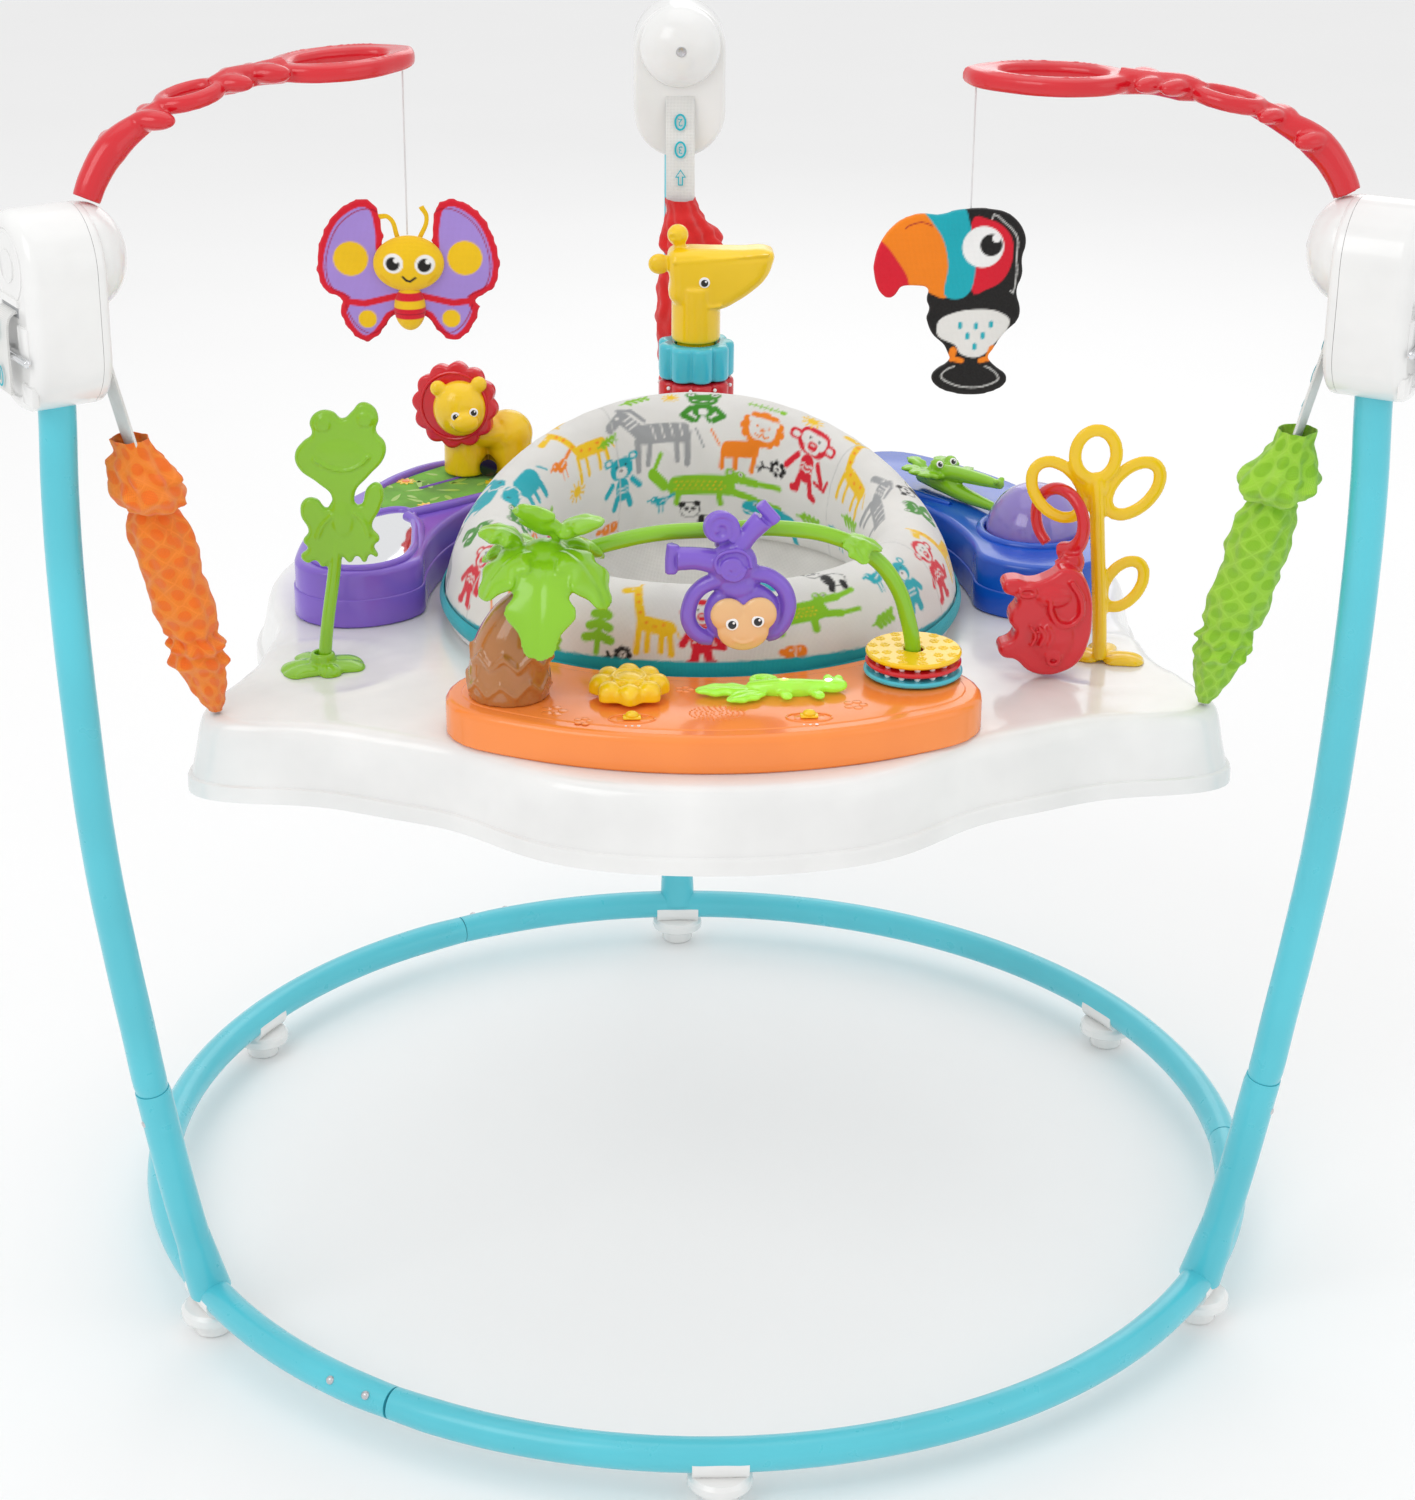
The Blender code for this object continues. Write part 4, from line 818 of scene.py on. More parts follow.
def ringed(around, rows, place, uv=None, joined=False):
    """A skin of rings. place gives the point at an angle and a row, and uv its spot on the
    cloth in metres. joined closes the last row to the first."""
    bm = bmesh.new()
    layer = bm.loops.layers.uv.new("UVMap")
    bmesh.ops.create_circle(bm, cap_ends=False, segments=around, radius=1.0)
    level = {vert: 0 for vert in bm.verts}
    first = edges = bm.edges[:]
    for row in range(1, rows + 1):
        made = bmesh.ops.extrude_edge_only(bm, edges=edges)["geom"]
        edges = [item for item in made if isinstance(item, bmesh.types.BMEdge)]
        level.update({item: row for item in made if isinstance(item, bmesh.types.BMVert)})
    spin = {vert: atan2(vert.co.y, vert.co.x) for vert in bm.verts}
    for vert, row in level.items():
        vert.co = place(spin[vert], row)
    if joined:
        bmesh.ops.bridge_loops(bm, edges=first + edges)
    for face in bm.faces if uv else ():
        wrap = max(spin[v] for v in face.verts) - min(spin[v] for v in face.verts) > pi
        for loop in face.loops:
            angle = spin[loop.vert]
            loop[layer].uv = uv(angle + 2 * pi if wrap and angle < 0 else angle, level[loop.vert])
    bmesh.ops.recalc_face_normals(bm, faces=bm.faces[:])
    return mesh_of(bm)


SLEEVE_ROWS = 120


def sleeve(seed, lean):
    """A gathered tube of cloth in a post's own frame. lean is the side its ruffle falls to."""
    def place(angle, row):
        share = row / SLEEVE_ROWS
        z = SLEEVE_TOP + (LOBE_Z + 0.0015 - SLEEVE_TOP) * share
        radius, fold, bulge = profile_at(share)
        way = Vector((cos(angle), sin(angle), 0))
        sway = noise.noise(Vector((way.x * 1.2, way.y * 1.2, share * 9 + seed)))
        pleat = sin(9 * angle + 3 * noise.noise(Vector((share * 5, seed, 0))) + seed)
        crease = noise.noise(Vector((way.x * 2.2, way.y * 2.2, share * 19 + seed)))
        size = radius * (1 + fold * (0.42 * pleat * (0.6 + 0.4 * sway) + 0.9 * crease + 0.6 * sway))
        drop = fold * 0.01 * noise.noise(Vector((way.x * 1.7 + 5, way.y * 1.7, share * 12 + seed)))
        return (lean * bulge + size * way.x, line_radius(z) + size * way.y, z + drop)

    return thickened(ringed(72, SLEEVE_ROWS, place, lambda angle, row: (angle * 0.0205, row * 0.002)),
                     0.0006)


for side, look, seed, lean in (("left", "orange_sleeve", 3.1, -1), ("right", "lime_sleeve", 8.4, 1),
                               ("back", "red_sleeve", 5.7, 1)):
    cover = show(f"sleeve_cloth_{side}", placed(sleeve(seed, lean), side_frame(SIDES[side])), look, None,
                 f"sleeve_{side}", smooth=80)
    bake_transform(cover)
print("three sleeves")

# %% [markdown]
# The tray is one injection-moulded shell. Its plate is flat, its rim rolls over into a
# flared skirt, and the skirt swells at each of the three straps and draws in beside them.
# The skin is a stack of rings, each as far out as the rim is at that angle, with a thin
# step near the bottom edge where the mould closes. A wall is then added on the inside.

# %% Tray
TRAY_TOP, TRAY_HOLE = 0.485, 0.169
TOY_SPOTS = [(-0.27, -0.115), (0.28, -0.115)]


def rim_radius(azimuth):
    """How far the skirt's bottom edge is from the axis."""
    radius = 0.345
    for lobe in SIDES.values():
        off = (azimuth - lobe + 180) % 360 - 180
        radius += 0.066 * exp(-(off / 8.0) ** 2) - 0.022 * exp(-((abs(off) - 27.0) / 11.0) ** 2)
    return radius


RIM = [(0.03, 0.0), (0.0235, 0.0), (0.019, 0.001), (0.0155, 0.003), (0.013, 0.0062),
       (0.0112, 0.011), (0.0098, 0.017), (0.008, 0.026), (0.0058, 0.035), (0.004, 0.042),
       (0.0036, 0.0433), (0.0012, 0.0442), (0.0003, 0.046), (0.0, 0.055)]
HOLE = [(0.0, 0.026), (0.0, 0.004), (0.0008, 0.0012), (0.003, 0.0)]
FLAT_ROWS = 14


def tray_point(angle, row):
    """A point of the tray's skin, on a ring from the hole out over the rim."""
    edge = rim_radius(degrees(angle))
    if row < len(HOLE):
        radius, drop = TRAY_HOLE + HOLE[row][0], HOLE[row][1]
    elif row < len(HOLE) + FLAT_ROWS:
        share = (row - len(HOLE) + 1) / (FLAT_ROWS + 1)
        radius, drop = TRAY_HOLE + 0.003 + (edge - 0.033 - TRAY_HOLE) * share, 0.0
    else:
        back, drop = RIM[row - len(HOLE) - FLAT_ROWS]
        radius = edge - back
    x, y = radius * cos(angle), radius * sin(angle)
    for spot_x, spot_y in TOY_SPOTS:
        away = hypot(x - spot_x, y - spot_y)
        drop -= 0.0012 * exp(-((away - 0.052) / 0.006) ** 2)
    return at(x, y, TRAY_TOP - drop)


tray_skin = ringed(432, len(HOLE) + FLAT_ROWS + len(RIM) - 1, tray_point)
show("tray_shell", thickened(tray_skin, 0.003), "tray_white", "tray", "tray", smooth=40)

# %% [markdown]
# The orange panel holds the sounds. Its outline is a band between two arcs with round
# ends. It sits on a slightly smaller plinth, which leaves the dark line where it meets the
# tray, and a low step runs round its top. The speaker is a patch of small raised dots.

# %% Sound panel
PANEL_TOP = 0.512


def crescent(inner, outer, start, end, shrink=0.0, steps=40, caps=14):
    """The outline of a band between two radii with round ends, as (x, y)."""
    middle, half = (inner + outer) / 2, (outer - inner) / 2 - shrink
    cap = degrees(half / middle) * 0.8
    span = end - start
    turns = [(middle + half, start + span * k / steps) for k in range(steps + 1)]
    turns += [(middle + half * cos(pi * k / caps), end + cap * sin(pi * k / caps))
              for k in range(1, caps)]
    turns += [(middle - half, end - span * k / steps) for k in range(steps + 1)]
    turns += [(middle - half * cos(pi * k / caps), start - cap * sin(pi * k / caps))
              for k in range(1, caps)]
    return [polar(azimuth, radius, 0).xy for radius, azimuth in turns]


def disc(x, y, radius, low, high, edge=0.0008, wave=0.0, petals=8, points=64):
    """A round plate, or one with petals, lying at a place on the tray."""
    outline = []
    for angle in angles(points):
        size = radius * (1 - wave * (0.5 - 0.5 * cos(petals * angle)))
        outline.append(at(x + size * cos(angle), y + size * sin(angle), 0).xy)
    return slab(outline, low, high, edge, 3)


panel = together(
    slab(crescent(0.199, 0.308, 239, 301, 0.0012), TRAY_TOP + GAP, TRAY_TOP + 0.003, 0),
    slab(crescent(0.199, 0.308, 239, 301), TRAY_TOP + 0.0016, PANEL_TOP - 0.0006, 0.0055, 5),
    slab(crescent(0.199, 0.308, 239, 301, 0.011), PANEL_TOP - 0.004, PANEL_TOP, 0.0018, 3))
dots = []
for ring in range(1, 6):
    for angle in angles(6 * ring):
        angle += ring
        x, y = 0.0024 * ring * cos(angle) * 1.5, -0.268 + 0.0024 * ring * sin(angle)
        dots.append(ball(at(x, y, PANEL_TOP), (0.0008, 0.0008, 0.0006), sides=8))
for x, y, size in ((-0.107, -0.262, 0.01), (-0.02, -0.226, 0.007), (0.092, -0.256, 0.009),
                   (-0.088, -0.28, 0.007)):
    dots += [ball(at(*spot, PANEL_TOP), (size * 0.36, size * 0.36, 0.0006), sides=14)
             for spot in circle(5, size * 0.6, x=x, y=y)]
SWITCHES = {"volume_switch": -0.056, "mode_switch": 0.06}
recess = [rod([at(*spot, PANEL_TOP) for spot in circle(12, 0.015, 0.0076, x, -0.277)], 0.0009, 8,
              closed=True) for x in SWITCHES.values()]
show("panel_shell", together(panel, *dots, *recess), "orange_plastic", "tray", "sound_panel", smooth=35)
ticks = [disc(x + step * 0.0042, -0.2885, 0.0007 + 0.00022 * (step + 1), PANEL_TOP - 0.0001, PANEL_TOP
              + 0.0002, 0, points=16) for x in SWITCHES.values() for step in (-1, 0, 1)]
show("panel_ticks", together(*ticks), "white_plastic", "tray")
for body, x in SWITCHES.items():
    low, high = at(x - 0.006, -0.2805, PANEL_TOP + 2 * GAP), at(x + 0.006, -0.2735, PANEL_TOP + 0.0024)
    nub = ball(at(x, -0.277, PANEL_TOP + 0.003), (0.0044, 0.0036, 0.0028), sides=28)
    show(body + "_nub", together(bar(low, high, 0.0009), nub), "yellow_plastic", body, body)
    slot_bed = bar(at(x - 0.0108, -0.2822, PANEL_TOP - 0.002),
                   at(x + 0.0108, -0.2718, PANEL_TOP + 0.0001), 0.001)
    show(body + "_bed", slot_bed, "orange_plastic", "tray")
box_low, box_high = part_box("battery_box")
housing = bar(box_low, box_high, 0.004)
hatch = bar((box_low.x + 0.02, box_low.y + 0.012, box_low.z - 0.0012),
            (box_high.x - 0.02, box_high.y - 0.012, box_low.z + 0.003), 0.001)
latch = turned([(0, -0.0022), (0.003, -0.0022), (0.004, -0.0014), (0.004, 0.002), (0, 0.002)],
               Matrix.Translation(((box_low.x + box_high.x) / 2, box_low.y + 0.022, box_low.z)), 24)
show("battery_housing", together(housing, hatch, latch), "grey_plastic", "tray", "battery_box")

# %% [markdown]
# Two activity stations stand beside the seat. The purple one carries a mirror, which is a
# polished leaf-shaped plate in a raised rim, and a printed jungle track for the lion. The
# blue one holds a clear ball in a round collar. Each is a band like the panel, with a
# stepped foot. Leaves and flowers on the track are small flat plates over a green sheet.

# %% Stations
STATION_TOP = 0.528


def plate(outlines, thick, edge=0.001, matrix=Matrix.Identity(4), steps=6, corners=()):
    """A flat plate with a round rim through smooth outlines. Outlines after the first are
    holes, and corners are the numbers of the first outline's sharp points."""
    curve = bpy.data.curves.new("plate", "CURVE")
    curve.dimensions = "2D"
    curve.fill_mode = "BOTH"
    curve.extrude = thick / 2 - edge
    curve.bevel_depth = edge
    curve.bevel_resolution = 2
    curve.offset = -edge
    curve.resolution_u = steps
    for number, outline in enumerate(outlines):
        spline = curve.splines.new("BEZIER")
        spline.bezier_points.add(len(outline) - 1)
        spline.use_cyclic_u = True
        for index, point in enumerate(outline):
            knot = spline.bezier_points[index]
            knot.co = (point[0], point[1], 0)
            sharp = number == 0 and index in corners
            knot.handle_left_type = knot.handle_right_type = "VECTOR" if sharp else "AUTO"
    obj = bpy.data.objects.new("plate", curve)
    scene.collection.objects.link(obj)
    bm = bmesh.new()
    bm.from_mesh(settled(obj))
    bmesh.ops.remove_doubles(bm, verts=bm.verts[:], dist=1e-6)
    bmesh.ops.recalc_face_normals(bm, faces=bm.faces[:])
    return placed(mesh_of(bm), matrix)


def moulded(parts, voxel=0.0012, soften=3):
    """Closed shapes melted into one skin with soft inner corners, as a mould leaves them."""
    obj = bpy.data.objects.new("melt", together(*parts))
    scene.collection.objects.link(obj)
    melt = obj.modifiers.new("melt", "REMESH")
    melt.mode = "VOXEL"
    melt.voxel_size = voxel
    calm = obj.modifiers.new("calm", "SMOOTH")
    calm.iterations = soften
    calm.factor = 0.5
    return settled(obj)


def leaf_outline(length, width, tip=0.35, points=8):
    """A leaf's outline along X with its tip at the far end."""
    upper = [(length * k / points, width / 2 * sin(pi * (k / points) ** (1 - tip)))
             for k in range(1, points)]
    return [(0, 0)] + [(x, -y) for x, y in upper] + [(length, 0)] + upper[::-1]


def station(start, end, step):
    """A station's body, with a lower band that stands out a little."""
    return [slab(crescent(0.203, 0.298, start, end, 0.0012), TRAY_TOP + GAP, TRAY_TOP + 0.003, 0),
            slab(crescent(0.2022, 0.2988, start, end), TRAY_TOP + 0.0014, TRAY_TOP + step, 0.0012, 3),
            slab(crescent(0.203, 0.298, start, end, 0.0004), TRAY_TOP + 0.004, STATION_TOP, 0.0045, 5)]


cloth("jungle_print", (0.14, 0.42, 0.015), coord="Object", slot="lime_plastic", relief=0.02, fade=0.35)
MIRROR = [polar(az, r, 0).xy for az, r in ((187, 0.252), (184.5, 0.223), (178, 0.212), (170, 0.214),
                                           (162, 0.224), (156, 0.242), (160, 0.262), (167, 0.278),
                                           (176, 0.286), (184, 0.278))]
rim_route = [Vector((x, y, STATION_TOP + 0.0006)) for x, y in MIRROR]
RIBS = [((158, 0.236, 0.002), (150, 0.217, 0.002), (140, 0.208, 0.001), (131, 0.205, 0)),
        ((159, 0.234, 0.002), (162, 0.221, 0.001), (168, 0.212, 0), (176, 0.208, -0.002)),
        ((150, 0.288, 0), (142, 0.29, 0.001), (134, 0.289, 0.001), (127, 0.28, 0))]
ribs = [rod([polar(az, r, STATION_TOP - 0.001 + lift) for az, r, lift in route], 0.0042, 14,
            swell=[1, 1, 0.9, 0.7]) for route in RIBS]
rim = rod(rim_route, 0.003, 14, closed=True)
show("mirror_base", together(*station(130, 180, 0.022), rim, *ribs), "purple_plastic", "tray",
     "mirror_station", smooth=35)
mirror_place = Matrix.Translation((0, 0, STATION_TOP))
show("mirror_plate", plate([MIRROR], 0.003, 0.001, mirror_place), "mirror_sheet", "tray", smooth=50)
track = crescent(0.203, 0.298, 133, 150, 0.013, steps=16)
show("track_print", slab(track, STATION_TOP - 0.001, STATION_TOP + 0.0004, 0), "jungle_print", "tray")
show("track_slot", rod([at(-0.16, 0.197, STATION_TOP), at(-0.212, 0.151, STATION_TOP)], 0.0016, 8),
     "purple_plastic", "tray")
plastic("leaf_print", (0.36, 0.6, 0.1), slot="lime_plastic", rough=0.4, coat=0.2)
blades, blooms, hearts = [], [], []
for k in range(26):
    azimuth, radius = 126 + (k * 7.7) % 29, 0.219 + (k * 0.0271) % 0.064
    spread = slab(leaf_outline(0.012 + 0.004 * (k % 3), 0.0045), 0, 0.0002, 0)
    spot = polar(azimuth, radius, STATION_TOP + 0.0004)
    blades.append(placed(spread, Matrix.Translation(spot) @ Matrix.Rotation(k * 2.4, 4, "Z")))
for azimuth, radius in ((152, 0.232), (143, 0.28), (133, 0.226)):
    spot = polar(azimuth, radius, 0) - at(0, 0, 0)
    blooms.append(disc(spot.x, spot.y, 0.008, STATION_TOP + 0.0002, STATION_TOP + 0.0009, 0, 0.42, 9))
    hearts.append(disc(spot.x, spot.y, 0.003, STATION_TOP + 0.0002, STATION_TOP + 0.0013, 0.0002))
show("track_leaves", together(*blades), "leaf_print", "tray")
show("track_blooms", together(*blooms), "yellow_plastic", "tray")
show("track_hearts", together(*hearts), "orange_plastic", "tray")

BALL = (0.252, 0.045, 0.528)
collar = rod([at(*spot, STATION_TOP) for spot in circle(16, 0.04, x=BALL[0], y=BALL[1])], 0.0034, 14,
             closed=True)
WAVE = [(28, 0.222), (36, 0.216), (46, 0.214), (55, 0.222)]
wave_rib = rod([polar(az, r, STATION_TOP) for az, r in WAVE], 0.0036, 12, swell=[0.6, 1, 1, 0.6])
blue = bpy.data.objects.new("blue", together(*station(0, 52, 0.02)))
cup = bpy.data.objects.new("cup", ball(at(*BALL), 0.0375, sides=64))
for obj in (blue, cup):
    scene.collection.objects.link(obj)
cut = blue.modifiers.new("cup", "BOOLEAN")
cut.object = cup
cut.operation = "DIFFERENCE"
cut.use_self = True
blue_mesh = settled(blue)
bpy.data.objects.remove(cup)
show("ball_base", together(blue_mesh, collar, wave_rib), "blue_plastic", "tray", "ball_station", smooth=35)
show("ball_shell", ball(at(*BALL), 0.036, sides=64), "clear_lilac", "spin_ball", "spin_ball")
swirl = together(ball(at(*BALL), (0.03, 0.005, 0.03), turn=30, sides=40),
                 ball(at(BALL[0], BALL[1], BALL[2] - 0.008), (0.03, 0.03, 0.007), sides=40))
show("ball_swirl", swirl, "purple_plastic", "spin_ball")
beads = [ball(at(BALL[0] + 0.018 * cos(k), BALL[1] + 0.018 * sin(k), BALL[2] + 0.006 + 0.002 * (k % 3)),
              0.0045, sides=16) for k in (0.5, 1.7, 2.9, 4.0, 5.3)]
show("ball_beads", together(*beads), "eye_white", "spin_ball")

# %% [markdown]
# Each toy arm is one red moulding like a vine: a tapering stem with leaf buds, a small oval
# loop halfway along it, and a flat leaf-shaped frame at the end. Rods and eggs are laid
# over each other and then melted into one skin.

# %% Toy arms
ARM_YAW = {"left": 6.0, "right": 14.5}
STEM = [(0.0, 0.0, 1.05), (0.006, 0.012, 1.1), (0.02, 0.029, 1.2), (0.046, 0.044, 0.85),
        (0.062, 0.051, 0.7)]
END = [(0.092, 0.058, 0.7), (0.107, 0.0607, 1.0), (0.125, 0.0625, 0.85), (0.146, 0.063, 1.0)]
VEIN = [(0.004, 0.236), (0.018, 0.222), (0.0262, 0.196), (0.022, 0.164), (0.008, 0.148)]
for side, yaw in ARM_YAW.items():
    azimuth = SIDES[side]
    arm_place = Matrix.Translation(polar(azimuth, 0.456, 0.8462)) @ Matrix.Rotation(
        radians(azimuth + 90 + yaw), 4, "Z")
    parts = [rod([(0, y, z) for y, z, _ in run], 0.0088, 16, swell=[s for _, _, s in run])
             for run in (STEM, END)]
    small = [(0.0135 * sin(a), 0.077 + 0.019 * cos(a), 0.0548 + 0.0035 * cos(a))
             for a in angles(10)]
    parts.append(rod(small, 0.0055, 12, closed=True))
    for reach, rise, way, size in ((0.024, 0.033, -1, 1.0), (0.045, 0.045, 1, 1.1), (0.05, 0.047, -1, 0.8),
                                   (0.104, 0.061, 1, 1.0), (0.11, 0.062, -1, 0.9), (0.13, 0.064, 1, 1.1),
                                   (0.126, 0.063, -1, 0.9)):
        bud = ball((0, 0, 0), (0.014 * size, 0.008 * size, 0.006 * size), sides=20)
        parts.append(placed(bud, Matrix.Translation((way * 0.0085, reach, rise))
                            @ Matrix.Rotation(way * 0.7, 4, "Z")))
    outer = [(0, 0.246), (-0.016, 0.236), (-0.028, 0.214), (-0.034, 0.19), (-0.03, 0.164), (-0.018, 0.146),
             (0, 0.138), (0.018, 0.146), (0.03, 0.164), (0.034, 0.19), (0.028, 0.214), (0.016, 0.236)]
    inner = [(0.001 + 0.0185 * sin(a), 0.188 + 0.034 * cos(a)) for a in angles(10)]
    parts.append(plate([outer, inner], 0.0115, 0.004, Matrix.Translation((0, 0, 0.0622)), corners=(0,)))
    for way in (-1, 1):
        vein = [(way * x, y, 0.0672) for x, y in VEIN]
        parts.append(rod(vein, 0.0018, 8, swell=[0.6, 1, 1, 1, 0.6]))
    arm = placed(moulded(parts, 0.0013, 3), arm_place)
    show(f"arm_vine_{side}", arm, "red_plastic", "frame", f"toy_arm_{side}", smooth=60)
print("tray, stations and arms")

# %% [markdown]
# The cloth pieces are printed. A print is a list of strokes on the flat cloth: an ink, a
# half width and some points, in millimetres. A width of zero fills the outline instead.
# Each point of the sewn mesh knows its spot on the flat cloth, and takes the ink of the
# last stroke that covers it. The material reads that colour from the mesh.

# %% Printing on cloth
INKS = {"w": (0.8, 0.79, 0.76), "y": (0.92, 0.58, 0.01), "g": (0.25, 0.58, 0.015),
        "G": (0.05, 0.28, 0.02), "t": (0.01, 0.42, 0.5), "o": (0.93, 0.24, 0.01), "r": (0.72, 0.01, 0.03),
        "k": (0.012, 0.011, 0.011), "a": (0.36, 0.37, 0.38), "p": (0.4, 0.27, 0.72),
        "l": (0.62, 0.62, 0.6), "W": (0.92, 0.92, 0.91)}


def rounded(points, steps=5):
    """A closed smooth outline through a few points."""
    loop = []
    for index in range(len(points)):
        loop += bend(*[Vector(points[(index + k) % len(points)]) for k in (-1, 0, 1, 2)], steps)
    return loop


def gap_to(spot, a, b):
    """The distance from a spot to the line between two points."""
    run = b - a
    share = max(0.0, min(1.0, (spot - a).dot(run) / max(run.length_squared, 1e-9)))
    return (spot - a - run * share).length


def inside(spot, outline):
    """Whether a spot lies inside a closed outline."""
    odd = False
    for a, b in zip(outline, outline[1:] + outline[:1]):
        if (a.y > spot.y) != (b.y > spot.y) and spot.x < a.x + (b.x - a.x) * (spot.y - a.y) / (b.y - a.y):
            odd = not odd
    return odd


def printed(mesh, spots, strokes, ground, soft=0.9):
    """Inks a mesh. spots are its points' places on the flat cloth, in millimetres."""
    tree = KDTree(len(spots))
    for index, spot in enumerate(spots):
        tree.insert((spot[0], spot[1], 0), index)
    tree.balance()
    inks = [Vector(INKS[ground])] * len(spots)
    for ink, width, *points in strokes:
        colour = Vector(INKS[ink])
        points = [Vector(point) for point in points]
        if width == 0:
            runs = [points]
        else:
            runs = [[a, b] for a, b in zip(points, points[1:])] or [[points[0], points[0]]]
        for run in runs:
            middle = sum(run, Vector((0, 0))) / len(run)
            reach = max((point - middle).length for point in run) + width + soft
            for _, index, _ in tree.find_range((middle.x, middle.y, 0), reach):
                spot = Vector(spots[index])
                if width == 0:
                    gap = min(gap_to(spot, a, b) for a, b in zip(run, run[1:] + run[:1]))
                    gap = -gap if inside(spot, run) else gap
                else:
                    gap = gap_to(spot, run[0], run[1]) - width
                cover = max(0.0, min(1.0, 0.5 - gap / soft))
                if cover > 0:
                    inks[index] = inks[index].lerp(colour, cover)
    layer = mesh.color_attributes.new("ink", "FLOAT_COLOR", "POINT")
    layer.data.foreach_set("color", [part for ink in inks for part in (*ink, 1.0)])


def moved(strokes, x, y, size=1.0, turn=0.0, squeeze=1.0):
    """A group of strokes put at a spot on the cloth. squeeze widens it sideways, dots too."""
    c, s = cos(radians(turn)) * size, sin(radians(turn)) * size
    group = []
    for ink, width, *points in strokes:
        spread = max(0.0, squeeze - 1) * width * size
        if len(points) == 1 and spread > 0.3:
            dot = Vector((x + squeeze * (points[0][0] * c - points[0][1] * s), y + points[0][0] * s
                          + points[0][1] * c))
            group.append((ink, width * size, (dot.x - spread, dot.y), (dot.x + spread, dot.y)))
        else:
            group.append((ink, width * size, *[(x + squeeze * (px * c - py * s), y + px * s + py * c)
                                               for px, py in points]))
    return group


def printed_cloth(name, slot=None, thread=0.0008):
    """Woven cloth whose colour is the ink on its mesh."""
    mat = cloth(name, (0.5, 0.5, 0.5), thread=thread, slot=slot, relief=0.5)
    tree = mat.node_tree
    ink = add_node(tree, "Attribute", output="Color", attribute_name="ink")
    dim = [item for item in tree.nodes if item.bl_idname == "ShaderNodeHueSaturation"][0]
    own = add_node(tree, "TexCoord", output="Object")
    cloud = add_node(tree, "TexNoise", {"Vector": own, "Scale": 25.0, "Detail": 2.0})
    tint = add_node(tree, "HueSaturation", {"Color": ink, "Value": stretch(tree, cloud, 0.95, 1.03)})
    feed(tree, dim.inputs["Color"], tint)
    return mat


# %% [markdown]
# The seat cover is printed with jungle animals, plants and suns. Each is drawn once, in a
# few strokes round its own middle, and then placed many times.

# %% Animals
def fan(ink, width, count, near, far):
    """Short strokes like rays, round the middle."""
    return [(ink, width, *ends) for ends in zip(circle(count, near), circle(count, far))]


def both(ink, width, *points):
    """A stroke's mirror image and the stroke itself."""
    return [(ink, width, *[(side * x, y) for x, y in points]) for side in (-1, 1)]


ZEBRA = [("a", 8, (-8, 0), (18, -3)), ("a", 6, (-12, 4), (-20, 17)), ("a", 4.5, (-21, 20), (-30, 13)),
         ("a", 3.2, (-13, -4), (-14, -27)), ("a", 2.6, (-5, -6), (-7, -24)),
         ("a", 3.2, (20, -4), (20, -27)), ("a", 2.6, (13, -6), (13, -24)),
         ("a", 1.6, (-22, 26), (-14, 22), (-7, 11)), ("a", 0.9, (26, 0), (31, -14))]
ZEBRA += [("w", 0.7, (x, 6), (x + 2, -5)) for x in (-3, 3, 9, 15, 21)]
ZEBRA += [("w", 0.7, (-20 + k, 15 - 4 * k), (-14 + k, 18 - 4 * k))
          for k in (0, 1, 2)] + [("w", 1.2, (-24, 19))]
GIRAFFE = [("y", 6.5, (-6, -6), (12, -9)), ("y", 3.6, (-9, -4), (-18, 24)),
           ("y", 3.6, (-18, 25), (-28, 22)), ("y", 1.2, (-17, 27), (-16, 32)),
           ("y", 2.4, (-10, -9), (-11, -30)), ("y", 2.2, (-3, -10), (-3, -28)),
           ("y", 2.4, (14, -10), (16, -30)), ("y", 2.2, (8, -11), (8, -28)),
           ("y", 0.8, (17, -6), (22, -16))]
GIRAFFE += [("o", 1.2, (x, y)) for x, y in ((-14, 12), (-11, 3), (-5, -5), (2, -8), (9, -6), (-16, 19))]
GIRAFFE += [("w", 0.9, (-22, 25))]
CROC = [("g", 8.5, (-28, -4), (8, -2)), ("g", 5, (-36, -2), (-44, 9)), ("g", 2.2, (-44, 9), (-38, 24)),
        ("g", 3.6, (8, 4), (28, 5)), ("g", 2.4, (28, 5), (46, 8)), ("g", 3.2, (8, -6), (28, -9)),
        ("g", 2.0, (28, -9), (46, -9)), ("g", 3.6, (10, 9)), ("g", 3.4, (17, 8)),
        ("g", 3.2, (-26, -8), (-27, -18)), ("g", 3.2, (2, -8), (3, -18)), ("w", 1.5, (10, 10)),
        ("w", 1.5, (17, 9)), ("k", 0.7, (10, 10)), ("k", 0.7, (17, 9))]
CROC += [("y", 0.7, (x * 4 - 28 + 2 * (y % 2), -y * 3)) for x in range(9) for y in range(3)]
CROC += [("w", 0.8, (x, 1), (x + 1.5, -2), (x + 3, 1)) for x in range(16, 42, 5)]
LION = [("o", 7, (4, -9), (-14, -13)), ("o", 2.8, (-17, -14), (-18, -28)), ("o", 2.8, (-8, -15), (-8, -27)),
        ("o", 2.8, (6, -12), (4, -27)), ("o", 1, (-20, -10), (-26, 2))]
LION += [("o", 3.6, (9 + 12 * cos(k * 0.52), 10 + 12 * sin(k * 0.52))) for k in range(12)]
